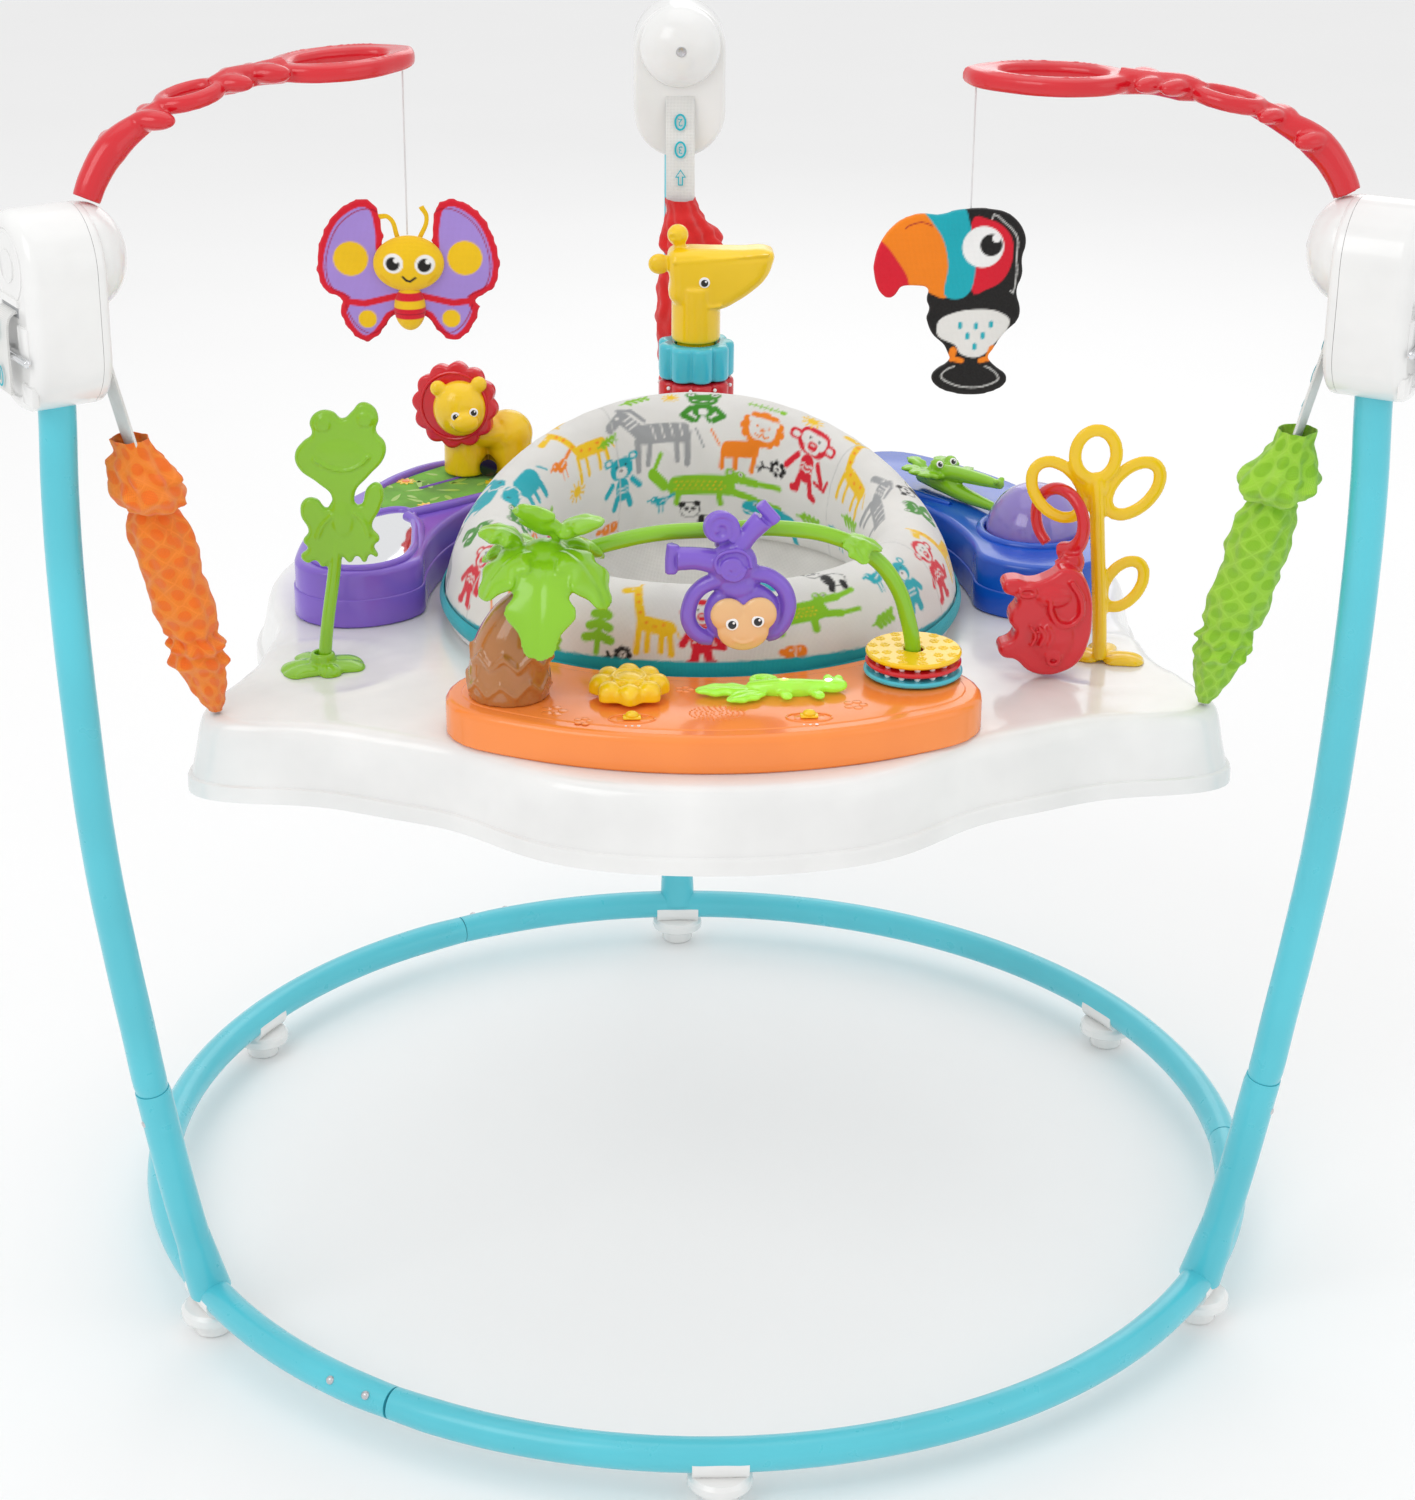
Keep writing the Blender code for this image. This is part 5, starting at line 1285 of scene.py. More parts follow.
LION += [("o", 11, (9, 10)), ("w", 9.5, (9, 10)), ("w", 2.6, (1, 17)), ("w", 2.6, (17, 17)),
         ("o", 0.9, (5, 12)), ("o", 0.9, (13, 12)), ("o", 1.6, (9, 9)),
         ("o", 0.7, (4, 5), (7, 3), (9, 6), (11, 3), (14, 5))]
MONKEY = [("r", 11.5, (0, 15)), *both("r", 4.6, (13, 15)), *both("w", 2.4, (13, 15)),
          *both("w", 5.8, (3.6, 16)), ("w", 6, (0, 11)), ("r", 3.6, (0, 11)), ("k", 0.9, (-3.4, 17)),
          ("k", 0.9, (3.4, 17)), ("w", 0.8, (-1.2, 12), (1.2, 12)), ("r", 8, (0, -4), (0, -11)),
          ("r", 2.8, (-8, 0), (-15, -12)), ("r", 2.8, (8, 0), (14, -12)),
          *both("r", 3.2, (4, -16), (6, -26), (9, -27)), ("r", 1.6, (8, -14), (17, -15), (19, -7)),
          ("w", 0.7, (-6, -6), (-3, -4), (0, -6), (3, -4), (6, -6)),
          ("w", 0.7, (-6, -10), (-3, -8), (0, -10), (3, -8), (6, -10))]
FROG = [("G", 7, (-6, 8), (6, 8)), *both("G", 4, (8, 14)), *both("w", 2.3, (8, 15)),
        *both("k", 1.0, (8, 15)), ("w", 0.6, (-7, 7), (0, 4), (7, 7)), ("G", 6.5, (-4, -5), (4, -5)),
        *both("G", 3, (9, -3), (15, -10), (8, -15)), ("w", 3.4, (0, -7)),
        *both("G", 1.8, (3, -12), (5, -16))]
PANDA = [("k", 8.5, (-8, 8)), ("w", 7.5, (-8, 8)), ("k", 3, (-15, 14)), ("k", 3, (-2, 15)),
         ("k", 2, (-11, 9)), ("k", 2, (-5, 9)), ("k", 1, (-8, 5)), ("k", 8.5, (4, -6), (12, -7)),
         ("w", 7.5, (5, -6), (12, -7)), ("k", 4.5, (2, -2), (2, -10)), ("k", 3, (2, -12), (-1, -17)),
         ("k", 3, (14, -12), (14, -17))]
BEAR = [*both("t", 4, (11, 24)), *both("w", 2, (11, 24)), ("t", 10, (0, 15)), ("w", 5, (0, 11)),
        ("k", 1.1, (0, 13)), *both("k", 0.9, (4, 18)), ("t", 9, (0, -3), (0, -8)),
        *both("t", 3.2, (9, 2), (15, -6)), *both("t", 3.6, (5, -14), (7, -22)),
        ("w", 0.7, (-5, -4), (5, -4)), ("w", 0.7, (-5, -8), (5, -8))]
ELEPHANT = [("t", 10, (2, 2), (14, 0)), ("t", 8, (-10, 8)), ("t", 3.2, (-15, 6), (-22, -2), (-20, -12)),
            ("t", 3.6, (0, -4), (-1, -18)), ("t", 3.6, (17, -4), (18, -18)), ("t", 3, (8, -6), (8, -16)),
            ("w", 0.8, (-7, 14), (-2, 10), (-3, 3), (-8, 1)), ("k", 1, (-13, 10)),
            ("t", 0.9, (24, 3), (29, -5))]
HIPPO = [("t", 10, (0, 0), (14, -1)), ("t", 6.5, (-15, 4), (-22, 1)), ("t", 3.4, (-4, -6), (-5, -16)),
         ("t", 3.4, (16, -6), (17, -16)), ("w", 1.6, (-15, 7)), ("k", 0.8, (-15, 7)),
         ("w", 0.7, (-26, -1), (-18, -3)), ("t", 1.8, (-9, 11))]
FLOWER = fan("k", 3.0, 7, 5.5, 6.0) + [("w", 3.2, (0, 0)), ("k", 1.4, (0, 0)),
                                       ("k", 0.8, (-8, -2), (-20, -5)), ("k", 1.4, (-13, -3), (-15, 1)),
                                       ("k", 1.4, (-15, -4), (-17, -8))]
SUN = [("y", 4.2, (0, 0))] + fan("y", 1.1, 10, 5.5, 8.0)
LEAF = [("g", 1.3, (-15, -3), (13, 3))] + [
    ("g", 2.6, (x, x * 0.2), (x + 4, x * 0.2 + side * 5)) for x in (-9, -3, 3, 9) for side in (-1, 1)]
TREE = [("g", 2.0, (0, -20), (0, 14))] + [("g", 3.4, (-9 + k, y), (0, y + 3), (9 - k, y)) for k, y in
                                          ((0, -10), (2, -1), (4, 8))]
BONE = [("g", 0.7, (-14, 0), (12, 0)), ("g", 2.6, (13, 0))] + [("g", 0.6, (x, -3), (x + 1, 3)) for x in
                                                              (-13, -9, -5, -1, 3, 7)]
SPRIG = [("y", 1.5, (x, (x % 4) - 2), (x + 2, 2)) for x in (-8, -3, 2, 7)]


def bird(ink):
    """A small bird with thin legs."""
    return [(ink, 5, (0, 1), (5, 2)), (ink, 2, (5, 3), (15, 9)), (ink, 4, (-4, 5)),
            (ink, 1.2, (-7, 6), (-11, 5)), (ink, 0.7, (1, -4), (1, -12)), (ink, 0.7, (5, -4), (5, -12)),
            ("w", 0.9, (-5, 6)), ("w", 0.7, (2, 1), (8, 4))]


BEETLE = [("o", 6, (-3, -1), (5, -1)), ("o", 3, (-10, 0)), ("w", 0.6, (1, 5), (1, -7)), ("w", 1, (-3, 1)),
          ("w", 1, (5, 1)), ("o", 0.6, (-6, -6), (-8, -10)), ("o", 0.6, (1, -7), (1, -11)),
          ("o", 0.6, (8, -6), (10, -10))]

# %% [markdown]
# The padded ring is sewn from panels over soft foam and plumps out between its seams. A
# cloth simulation does this: the ring is remeshed to even squares, a little air pressure
# pushes it out, and the points near the seams are held. No point may move far.

# %% Plumping with air
def puffed(mesh, voxel, pressure, limit, held, frames=16, fine=1):
    """The mesh, remeshed and blown up a little. held says how firmly a point is kept."""
    obj = bpy.data.objects.new("puff", mesh)
    scene.collection.objects.link(obj)
    squares = obj.modifiers.new("squares", "REMESH")
    squares.mode = "VOXEL"
    squares.voxel_size = voxel
    mesh = settled(obj)
    still = [vert.co.copy() for vert in mesh.vertices]
    obj = bpy.data.objects.new("puff", mesh)
    scene.collection.objects.link(obj)
    group = obj.vertex_groups.new(name="held")
    for vert in mesh.vertices:
        weight = held(vert.co)
        if weight > 0:
            group.add([vert.index], weight, "REPLACE")
    air = obj.modifiers.new("air", "CLOTH")
    air.settings.quality = 5
    air.settings.mass = 0.2
    air.settings.tension_stiffness = air.settings.compression_stiffness = 12.0
    air.settings.shear_stiffness = 5.0
    air.settings.bending_stiffness = 0.6
    air.settings.air_damping = 4.0
    air.settings.use_pressure = True
    air.settings.uniform_pressure_force = pressure
    air.settings.effector_weights.gravity = 0.0
    air.settings.vertex_group_mass = "held"
    air.point_cache.frame_start, air.point_cache.frame_end = 1, frames
    for frame_number in range(1, frames + 1):
        scene.frame_set(frame_number)
    mesh = settled(obj)
    scene.frame_set(1)
    for vert, start in zip(mesh.vertices, still):
        step = vert.co - start
        if step.length > limit:
            vert.co = start + step * (limit / step.length)
    obj = bpy.data.objects.new("puff", mesh)
    scene.collection.objects.link(obj)
    finer = obj.modifiers.new("finer", "SUBSURF")
    finer.levels = finer.render_levels = fine
    return settled(obj)


# %% [markdown]
# The seat turns in the tray on a white bearing ring. The padded ring stands on it, low in
# front and high behind, with a turquoise band round its foot. Its section is a loop whose
# height follows the angle, which also measures the way over the top for the print.

# %% Seat ring and padded cover
SEAT_LOW, SEAT_MEAN = 0.4935, 160.0
SEAMS = (36, 118, 205, 335)
show("seat_bearing", turned([(0.153, 0.45), (0.1625, 0.45), (0.164, 0.4515), (0.164, 0.486),
                             (0.1845, 0.4862), (0.186, 0.4872), (0.186, 0.4905), (0.1845, 0.4914),
                             (0.1545, 0.4914), (0.153, 0.49), (0.153, 0.45)], lying(0, 0, 0), 160),
     "white_plastic", "seat", "seat_ring", smooth=35)


def seat_profile(azimuth):
    """(radius, height) round the padded ring's section, from the outer foot over the top."""
    h = 0.067 + 0.05 * max(0.0, sin(radians(azimuth))) ** 1.3
    return [(0.1855, 0.001), (0.1885, 0.012), (0.1845, 0.4 * h), (0.1795, 0.62 * h), (0.17, 0.82 * h),
            (0.16, 0.93 * h), (0.15, 0.965 * h), (0.14, 0.93 * h), (0.132, 0.84 * h), (0.1245, 0.66 * h),
            (0.121, 0.42 * h), (0.1265, 0.002)]


TOP_STEP = 6


def pad_point(angle, row):
    """A point of the padded ring's section at an angle."""
    radius, height = seat_profile(degrees(angle))[row]
    return at(radius * cos(angle), radius * sin(angle), SEAT_LOW + height)


def seat_spot(co):
    """Where a point of the cover is on the flat cloth: round the ring, and over the top."""
    x, y = co.x - AXIS.x, co.y - AXIS.y
    azimuth = degrees(atan2(y, x)) % 360
    here = Vector((hypot(x, y), co.z - SEAT_LOW))
    profile = [Vector(pair) for pair in seat_profile(azimuth)]
    runs = [0.0]
    for a, b in zip(profile, profile[1:]):
        runs.append(runs[-1] + (b - a).length)
    best = (9.0, 0.0)
    for index, (a, b) in enumerate(zip(profile, profile[1:])):
        run = b - a
        share = max(0.0, min(1.0, (here - a).dot(run) / run.length_squared))
        gap = (here - a - run * share).length
        if gap < best[0]:
            best = (gap, runs[index] + share * run.length)
    return (radians(azimuth) * SEAT_MEAN, (best[1] - runs[TOP_STEP]) * MM)


def seam_hold(co):
    """Points at the foot and beside a seam are held, the others are free."""
    x, y, z = co.x - AXIS.x, co.y - AXIS.y, co.z - SEAT_LOW
    azimuth = degrees(atan2(y, x)) % 360
    near = min(abs((azimuth - seam + 180) % 360 - 180) for seam in SEAMS)
    return 1.0 if z < 0.007 or near < 1.6 else 0.0


pad = ringed(96, 11, pad_point, joined=True)
pad = puffed(pad, 0.006, 5.0, 0.007, seam_hold, fine=2)
spots = [seat_spot(vert.co) for vert in pad.vertices]

ANIMALS = [(ZEBRA, 103, 34, 1.0), (CROC, 82, 74, 1.0), (FROG, 87, 15, 0.85), (LION, 71, 36, 0.95),
           (MONKEY, 48, 34, 1.0), (FLOWER, 59, 52, 0.8), (GIRAFFE, 129, 22, 0.9),
           (bird("o"), 142, 28, 0.8), (LEAF, 121, 30, 0.5), (SUN, 137, 52, 0.9), (BEAR, 117, 66, 0.85),
           (bird("t"), 103, 90, 0.7), (SUN, 97, 6, 0.6), (SUN, 52, 4, 0.8), (BONE, 67, 8, 0.8),
           (ELEPHANT, 162, 16, 0.95), (GIRAFFE, 27, 18, 0.9), (HIPPO, 60, 92, 0.9),
           (BEETLE, 122, 98, 0.8), (PANDA, 88, 104, 0.8), (LEAF, 108, 3, 0.6), (ZEBRA, 8, 20, 0.8),
           (LEAF, 22, 50, 0.7), (FROG, 176, 22, 0.75), (BONE, 158, 46, 0.8), (LION, 178, 56, 0.8),
           (LEAF, 45, 78, 0.7), (bird("t"), 30, 74, 0.8), (MONKEY, 158, 80, 0.8), (SUN, 8, 56, 0.8),
           (FLOWER, 140, 84, 0.8), (CROC, 270, 34, 0.8), (BEAR, 240, 40, 0.7), (ZEBRA, 305, 42, 0.7),
           (HIPPO, 205, 36, 0.7), (GIRAFFE, 340, 44, 0.7), (TREE, 245, -40, 0.95),
           (GIRAFFE, 257, -30, 0.85), (MONKEY, 268, -38, 0.85), (CROC, 293, -28, 0.85),
           (HIPPO, 284, -4, 0.7), (PANDA, 301, -4, 0.8), (bird("t"), 314, -20, 0.8),
           (BEETLE, 288, -56, 0.8), (BEAR, 324, -34, 0.8), (LEAF, 312, -48, 0.7), (MONKEY, 339, -34, 0.9),
           (GIRAFFE, 352, -30, 0.9), (FROG, 4, -14, 0.8), (PANDA, 15, -16, 0.8), (LEAF, 22, -30, 0.8),
           (MONKEY, 202, -34, 0.9), (FLOWER, 214, -16, 0.8), (LION, 220, -42, 0.85),
           (FROG, 186, -16, 0.8), (ZEBRA, 180, -52, 0.8), (SUN, 236, -12, 0.8), (FLOWER, 251, -58, 0.7),
           (SPRIG, 228, -6, 0.8), (LEAF, 233, -60, 0.7), (ELEPHANT, 166, -14, 0.9), (CROC, 152, -56, 0.9),
           (GIRAFFE, 138, -30, 0.9), (LION, 124, -62, 0.9), (FROG, 120, -22, 0.8), (ZEBRA, 104, -60, 0.9),
           (MONKEY, 90, -40, 0.9), (TREE, 78, -70, 0.9), (HIPPO, 74, -28, 0.9), (BEAR, 62, -64, 0.9),
           (CROC, 46, -40, 0.9), (PANDA, 32, -66, 0.9), (bird("o"), 58, -24, 0.8), (LEAF, 96, -14, 0.8),
           (SUN, 108, -90, 0.9), (FLOWER, 48, -88, 0.9), (BEETLE, 140, -86, 0.8), (BONE, 26, -46, 0.8)]
strokes = []
for motif, azimuth, over, size in ANIMALS:
    turn, squeeze, size = (180, 1.55, 0.95 * size) if over > 0 else (0, 0.92, size)
    strokes += moved(motif, radians(azimuth) * SEAT_MEAN, over, size, turn, squeeze)
for seam in SEAMS:
    strokes.append(("l", 0.55, *[(radians(seam) * SEAT_MEAN, v) for v in range(-118, 131, 8)]))
foot = [seat_spot(at(0.1885 * cos(a), 0.1885 * sin(a), SEAT_LOW + 0.003 + 0.01 * max(0.0, -sin(a)) ** 2))
        for a in angles(120)]
strokes.append(("t", 9.5, *foot, (foot[0][0] + 2 * pi * SEAT_MEAN, foot[0][1])))
printed(pad, spots, strokes, "w", soft=1.1)
layer = pad.uv_layers.new(name="UVMap")
flat = []
for face in pad.polygons:
    around = [spots[index][0] for index in face.vertices]
    wrap = max(around) - min(around) > 500
    for index, u in zip(face.vertices, around):
        flat += [(u + (2 * pi * SEAT_MEAN if wrap and u < 500 else 0)) / MM, spots[index][1] / 1000]
layer.data.foreach_set("uv", flat)
printed_cloth("seat_cloth")
cover = show("seat_cover", pad, "seat_cloth", "seat", "seat_pad", smooth=180)
cloth("teal_trim", (0.01, 0.42, 0.5))
band = ringed(160, 8, lambda angle, row: at(*[
    (0.1895 + 0.0022 * sin(pi * row / 8)) * way for way in (cos(angle), sin(angle))],
    SEAT_LOW + 0.0004 + 0.0125 * row / 8), lambda angle, row: (angle * 0.19, row * 0.0016))
show("seat_band", thickened(band, 0.0012), "teal_trim", "seat", smooth=80)

# %% [markdown]
# Inside the padded ring hangs a sling of plain cloth with two leg holes. It is a stack of
# rings whose last one closes the bottom. The faces in the holes are left out, and a fold
# of cloth gives it its thickness. Soft waves come from its own weight.

# %% Sling
SLING = [(0.1385, 0.503), (0.132, 0.487), (0.125, 0.47), (0.118, 0.452), (0.113, 0.436), (0.108, 0.42),
         (0.1, 0.404), (0.092, 0.388), (0.08, 0.374), (0.066, 0.362), (0.048, 0.354), (0.028, 0.35),
         (0.006, 0.349)]


def sling_point(angle, row):
    """A point of the sling's wall, with soft waves in it."""
    radius, z = SLING[row]
    wave = 0.0022 * noise.noise(Vector((cos(angle) * 2.2, sin(angle) * 2.2, z * 26)))
    radius += wave * min(1.0, row / 3)
    return at(radius * cos(angle), radius * sin(angle), z + 0.5 * wave)


bag = ringed(96, len(SLING) - 1, sling_point, lambda angle, row: (angle * 0.11, row * 0.0175))
with opened(bag) as bm:
    legs = []
    for face in bm.faces:
        middle = face.calc_center_median()
        azimuth = degrees(atan2(middle.y - AXIS.y, middle.x - AXIS.x)) % 360
        for centre in (217.5, 322.5):
            if ((azimuth - centre) / 31) ** 2 + ((middle.z - 0.408) / 0.044) ** 2 < 1:
                legs.append(face)
    bmesh.ops.delete(bm, geom=legs, context="FACES")
    bmesh.ops.holes_fill(bm, edges=[item for item in bm.edges if item.is_boundary and
                                    all((vert.co - at(0, 0, 0.349)).length < 0.02 for vert in item.verts)])
cloth("sling_cloth", (0.8, 0.79, 0.76), slot="seat_cloth", thread=0.001)
sling = show("seat_sling", thickened(bag, 0.0022), "sling_cloth", "seat", smooth=180, subdivide=1)
print("seat cover has", len(pad.vertices), "points")

# %% [markdown]
# The butterfly and the toucan are small stuffed toys. Each is two layers of printed cloth
# sewn round the rim and turned out, so it is plump in the middle and flat at the seam.
# The flat outline becomes a thin plate, and the same air that filled the seat fills it.

# %% Stuffed toys
def stuffed(outline, thick, rim, strokes, ground, anchor, swell, soft=0.7, ripple=0.0):
    """A stuffed shape in X and Z below an anchor, from an outline in millimetres."""
    loop = [Vector(point) / MM for point in rounded(outline, 6)]
    if ripple:
        way = 0.0
        edge = []
        for index, point in enumerate(loop):
            ahead = loop[(index + 1) % len(loop)] - loop[index - 1]
            way += (point - loop[index - 1]).length if index else 0
            out = Vector((ahead.y, -ahead.x)).normalized()
            edge.append(point + out * ripple * abs(sin(way * 320)))
        loop = edge
    flat = slab([point.xy for point in loop], -thick / 2, thick / 2, 0.001, 2)

    def hold(co):
        spot = co.xy
        near = min(gap_to(spot, a, b) for a, b in zip(loop, loop[1:] + loop[:1]))
        return 1.0 if near < rim else 0.0

    mesh = puffed(mended(flat), 0.002, 40.0, swell, hold, frames=12)
    spots = [(vert.co.x * MM, vert.co.y * MM) for vert in mesh.vertices]
    printed(mesh, spots, strokes, ground, soft)
    layer = mesh.uv_layers.new(name="UVMap")
    layer.data.foreach_set("uv", [c for loop_ in mesh.loops for c in
                                  mesh.vertices[loop_.vertex_index].co.xy])
    return placed(mesh, Matrix.Translation(anchor) @ Matrix.Rotation(pi / 2, 4, "X"))


INKS.update({"d": (0.4, 0.0, 0.02), "s": (0.86, 0.5, 0.0)})
printed_cloth("butterfly_cloth")
printed_cloth("toucan_cloth")
end = cord_tops["butterfly"] - Vector((0, 0, CORDS["butterfly"][1] + GAP))
UPPER_RIGHT = [(13.0, -14), (15.6, 2), (18.5, 17.9), (24.6, 24.1), (32.2, 25.1), (41.7, 21.2), (51.2, 13),
               (57.8, 1.4), (62, -13), (62.4, -26), (58, -38), (48.3, -43.4)]
LOWER_RIGHT = [(45.5, -45.4), (48.3, -51), (45.5, -60.3), (38.9, -70), (30.3, -74.8), (21.8, -70.9),
               (15.2, -63.2), (9.4, -56.5)]
half = UPPER_RIGHT + LOWER_RIGHT
wings = half + [(-x, y) for x, y in half[::-1]]
hem = [(x * 0.885, -24 + (y + 24) * 0.86) for x, y in rounded(wings, 4)]
marks = [("r", 5.6, *rounded(wings, 4), wings[0]), ("d", 0.35, *hem)]
for way in (-1, 1):
    marks += [("r", 2.3, (way * 48, -44.5), (way * 30, -46.5), (way * 8, -41.5)),
              ("y", 11.8, (way * 38.5, -15.5)), ("y", 6.3, (way * 28.4, -57.4))]
wing_mesh = stuffed(wings, 0.004, 0.0052, marks, "p", end, 0.0055, ripple=0.0011)
wing_piece = show("butterfly_wings", wing_mesh, "butterfly_cloth", "butterfly", "butterfly", smooth=180)
FACE = [("W", 6.7, (-9.5, -16.9)), ("k", 4.6, (-9.9, -17.2)), ("W", 1.7, (-7.6, -14.8)),
        ("W", 6.7, (11.8, -17.9)), ("k", 4.6, (11.5, -18.3)), ("W", 1.7, (13.8, -15.9)),
        ("k", 0.8, (-3.3, -26), (-1, -28.6), (1.5, -29.4), (5.2, -26.8)),
        ("s", 1.0, (-18, -26), (-13, -31)), ("s", 1.0, (14, -31), (18.5, -26))]
BANDS = [("r", 2.6, (-14, -41), (14, -41)), ("r", 3.6, (-14, -52.5), (14, -52.5)),
         ("d", 0.3, (-14, -52.5), (14, -52.5))]


def printed_egg(centre, radii, strokes):
    """A stuffed egg with its print, hung from the toy's end of the cord."""
    mesh = ball(centre, radii, sides=150)
    printed(mesh, [(vert.co.x * MM, vert.co.z * MM) for vert in mesh.vertices], strokes, "y", 0.6)
    layer = mesh.uv_layers.new(name="UVMap")
    layer.data.foreach_set("uv", [c for loop_ in mesh.loops for c in
                                  mesh.vertices[loop_.vertex_index].co.xz])
    return placed(mesh, Matrix.Translation(end))


head = show("butterfly_head", printed_egg((0.0005, -0.003, -0.0188), (0.024, 0.0095, 0.019), FACE),
            "butterfly_cloth", "butterfly", smooth=180)
trunk = show("butterfly_body", printed_egg((0.0005, -0.0012, -0.0495), (0.0108, 0.0095, 0.016), BANDS),
             "butterfly_cloth", "butterfly", smooth=180)
feelers = [placed(rod([(x / MM, 0.0005 * way, z / MM) for x, z in points], 0.0017, 10,
                      swell=[1, 0.9, 1.1]), Matrix.Translation(end) @ Matrix.Diagonal((1, 0.5, 1, 1)))
           for way, points in ((1, ((-6.5, -2), (-12.3, 12), (-19, 12.5))),
                               (-1, ((8, -3), (13.3, 12), (9.8, 19.3))))]
cloth("feeler_cloth", (0.92, 0.58, 0.01), coord="Object", slot="butterfly_cloth")
show("butterfly_feelers", together(*feelers), "feeler_cloth", "butterfly")

end = cord_tops["toucan"] - Vector((0, 0, CORDS["toucan"][1] + GAP))
BIRD = [(0, 0), (11.3, 0), (24.2, -2.9), (33.4, -11.1), (37.1, -21.7), (34.8, -33.3), (35.8, -42.9),
        (32.2, -54.5), (35.4, -67.1), (33.4, -75), (27, -81), (22.3, -87.3), (19, -93), (15.4, -99.5),
        (20.5, -105.7), (27.9, -111.5), (27, -118.2), (18.6, -123), (7.6, -125), (-5.4, -124),
        (-16.4, -120.1), (-22, -113.4), (-18.3, -107.6), (-10, -101.8), (-11.5, -96), (-14.5, -90.2),
        (-22, -83.5), (-26.2, -73), (-24.3, -66.5), (-26.6, -60.3), (-25.6, -53), (-31, -50.9),
        (-43.2, -51), (-47.3, -57), (-52.8, -58.8), (-58.9, -52.6), (-62.1, -39.1), (-59.8, -26.5),
        (-54.3, -15.9), (-45, -7.2), (-33, -3.1), (-20.1, -3.9), (-9, -0.8)]
PATCHES = [("r", 0, (0.6, -8.2), (11.3, -6.3), (21.4, -11.1), (27.9, -20.7), (27.9, -35.2), (22.3, -46.8),
            (12.2, -52.6), (2, -52.6)), ("o", 0, (-58, -20), (-45, -3), (-31, 2), (-20, -8), (-12, -26),
                                         (-12, -40), (-14, -58), (-26, -55), (-44, -49)),
           ("r", 0, (-58.5, -20.5), (-46.9, -33.3), (-39, -48), (-42, -64), (-64, -62), (-68, -30)),
           ("t", 0, (-31.2, 1.9), (-6.3, 2), (-0.7, -8.2), (2, -21.7), (4.3, -37.2), (2, -52.6),
            (-5.4, -58.9), (-15.5, -56), (-13.7, -37.2), (-17.4, -19.8), (-25.7, -7.2)),
           ("w", 0, (-18.3, -73.8), (-7.2, -68), (5.7, -66.1), (18.6, -67.1), (28, -72.9), (26, -82),
            (18.6, -90.2), (12.2, -97), (4.8, -98.9), (-3.5, -96), (-7.2, -90.2), (-18.3, -84.4))]
drops = [("t", 1.3, (x, y + 1), (x, y - 1.4)) for x, y in ((-4.2, -76.7), (6.2, -77.2), (16.1, -76.2),
    (0.9, -84), (11, -83.7), (5.9, -91.2))]
toucan_marks = [(ink, width, *rounded(points, 4)) for ink, width,
                *points in PATCHES] + drops + [("W", 13.6, (8.7, -24.4)), ("k", 7.3, (14, -23.2)),
                                               ("W", 2.8, (17.3, -18.8)), ("o", 2.4, (-8.1, -94.1),
    (-9, -99.5)), ("o", 1.8, (-9, -99.5), (-2.6, -101)), ("o", 2.4, (17.7, -93.1), (15.5, -99.5)),
                                               ("o", 1.8, (15.5, -99.5), (10.3, -101)),
                                               ("l", 0.4, *rounded([(-7, -105), (-15.5, -111.5),
    (-8, -117), (2, -119.3), (13, -118.6), (22.8, -113.4), (13.5, -105)], 4)[:-3]),
                                               ("l", 0.4, *rounded([(14, -6), (24, -10), (31, -19),
    (31, -31), (31.5, -43), (28, -54)], 4)[:-3]), ("d", 0.4, *rounded([(-42, -12), (-32, -8), (-24, -12)],
    3)[:6])]
bird_mesh = stuffed(BIRD, 0.006, 0.0032, toucan_marks, "k", end, 0.008)
bird_piece = show("toucan_bird", bird_mesh, "toucan_cloth", "toucan", "toucan", smooth=180)
print("two stuffed toys")

# %% [markdown]
# The hard toys are single mouldings. Each is built from a few simple solids, such as
# fleshy leaves, eggs and rods, which are melted into one skin. Reliefs are thin rods half
# sunk in the surface. Eyes are small printed discs with a white glint.

# %% Leaves and eyes
def spot_mm(x, y, z):
    """A point measured from the axis, in millimetres."""
    return at(x / MM, y / MM, z / MM)


def trace(points, y, radius, sides=12, **rest):
    """A rod through points given as (x, z) in millimetres, on one upright plane."""
    return rod([spot_mm(x, y, z) for x, z in points], radius / MM, sides, **rest)


def egg(x, y, z, radii):
    """A ball or egg at a place in millimetres."""
    return ball(spot_mm(x, y, z), [r / MM for r in radii], sides=28)


def frond(length, width, thick, droop, matrix, lobes=3, groove=0.0014):
    """A fleshy leaf along its own X that droops towards the tip, with a groove down it."""
    mesh = ball((length / 2, 0, 0), (length / 2, width / 2, thick / 2), sides=56)
    for vert in mesh.vertices:
        share = vert.co.x / length
        vert.co.z -= groove * exp(-(vert.co.y / 0.0022) ** 2) * (1 if vert.co.z > 0 else 0)
        vert.co.y *= 1 + 0.17 * cos(2 * pi * lobes * share)
        vert.co.z -= droop * share ** 2
    return placed(mesh, matrix)


def sprig(x, y, z, turn, tilt=0.0):
    """The place of a leaf: turned round the upright axis, then tilted down."""
    return (Matrix.Translation(spot_mm(x, y, z)) @ Matrix.Rotation(radians(turn), 4, "Z")
            @ Matrix.Rotation(radians(tilt), 4, "Y"))


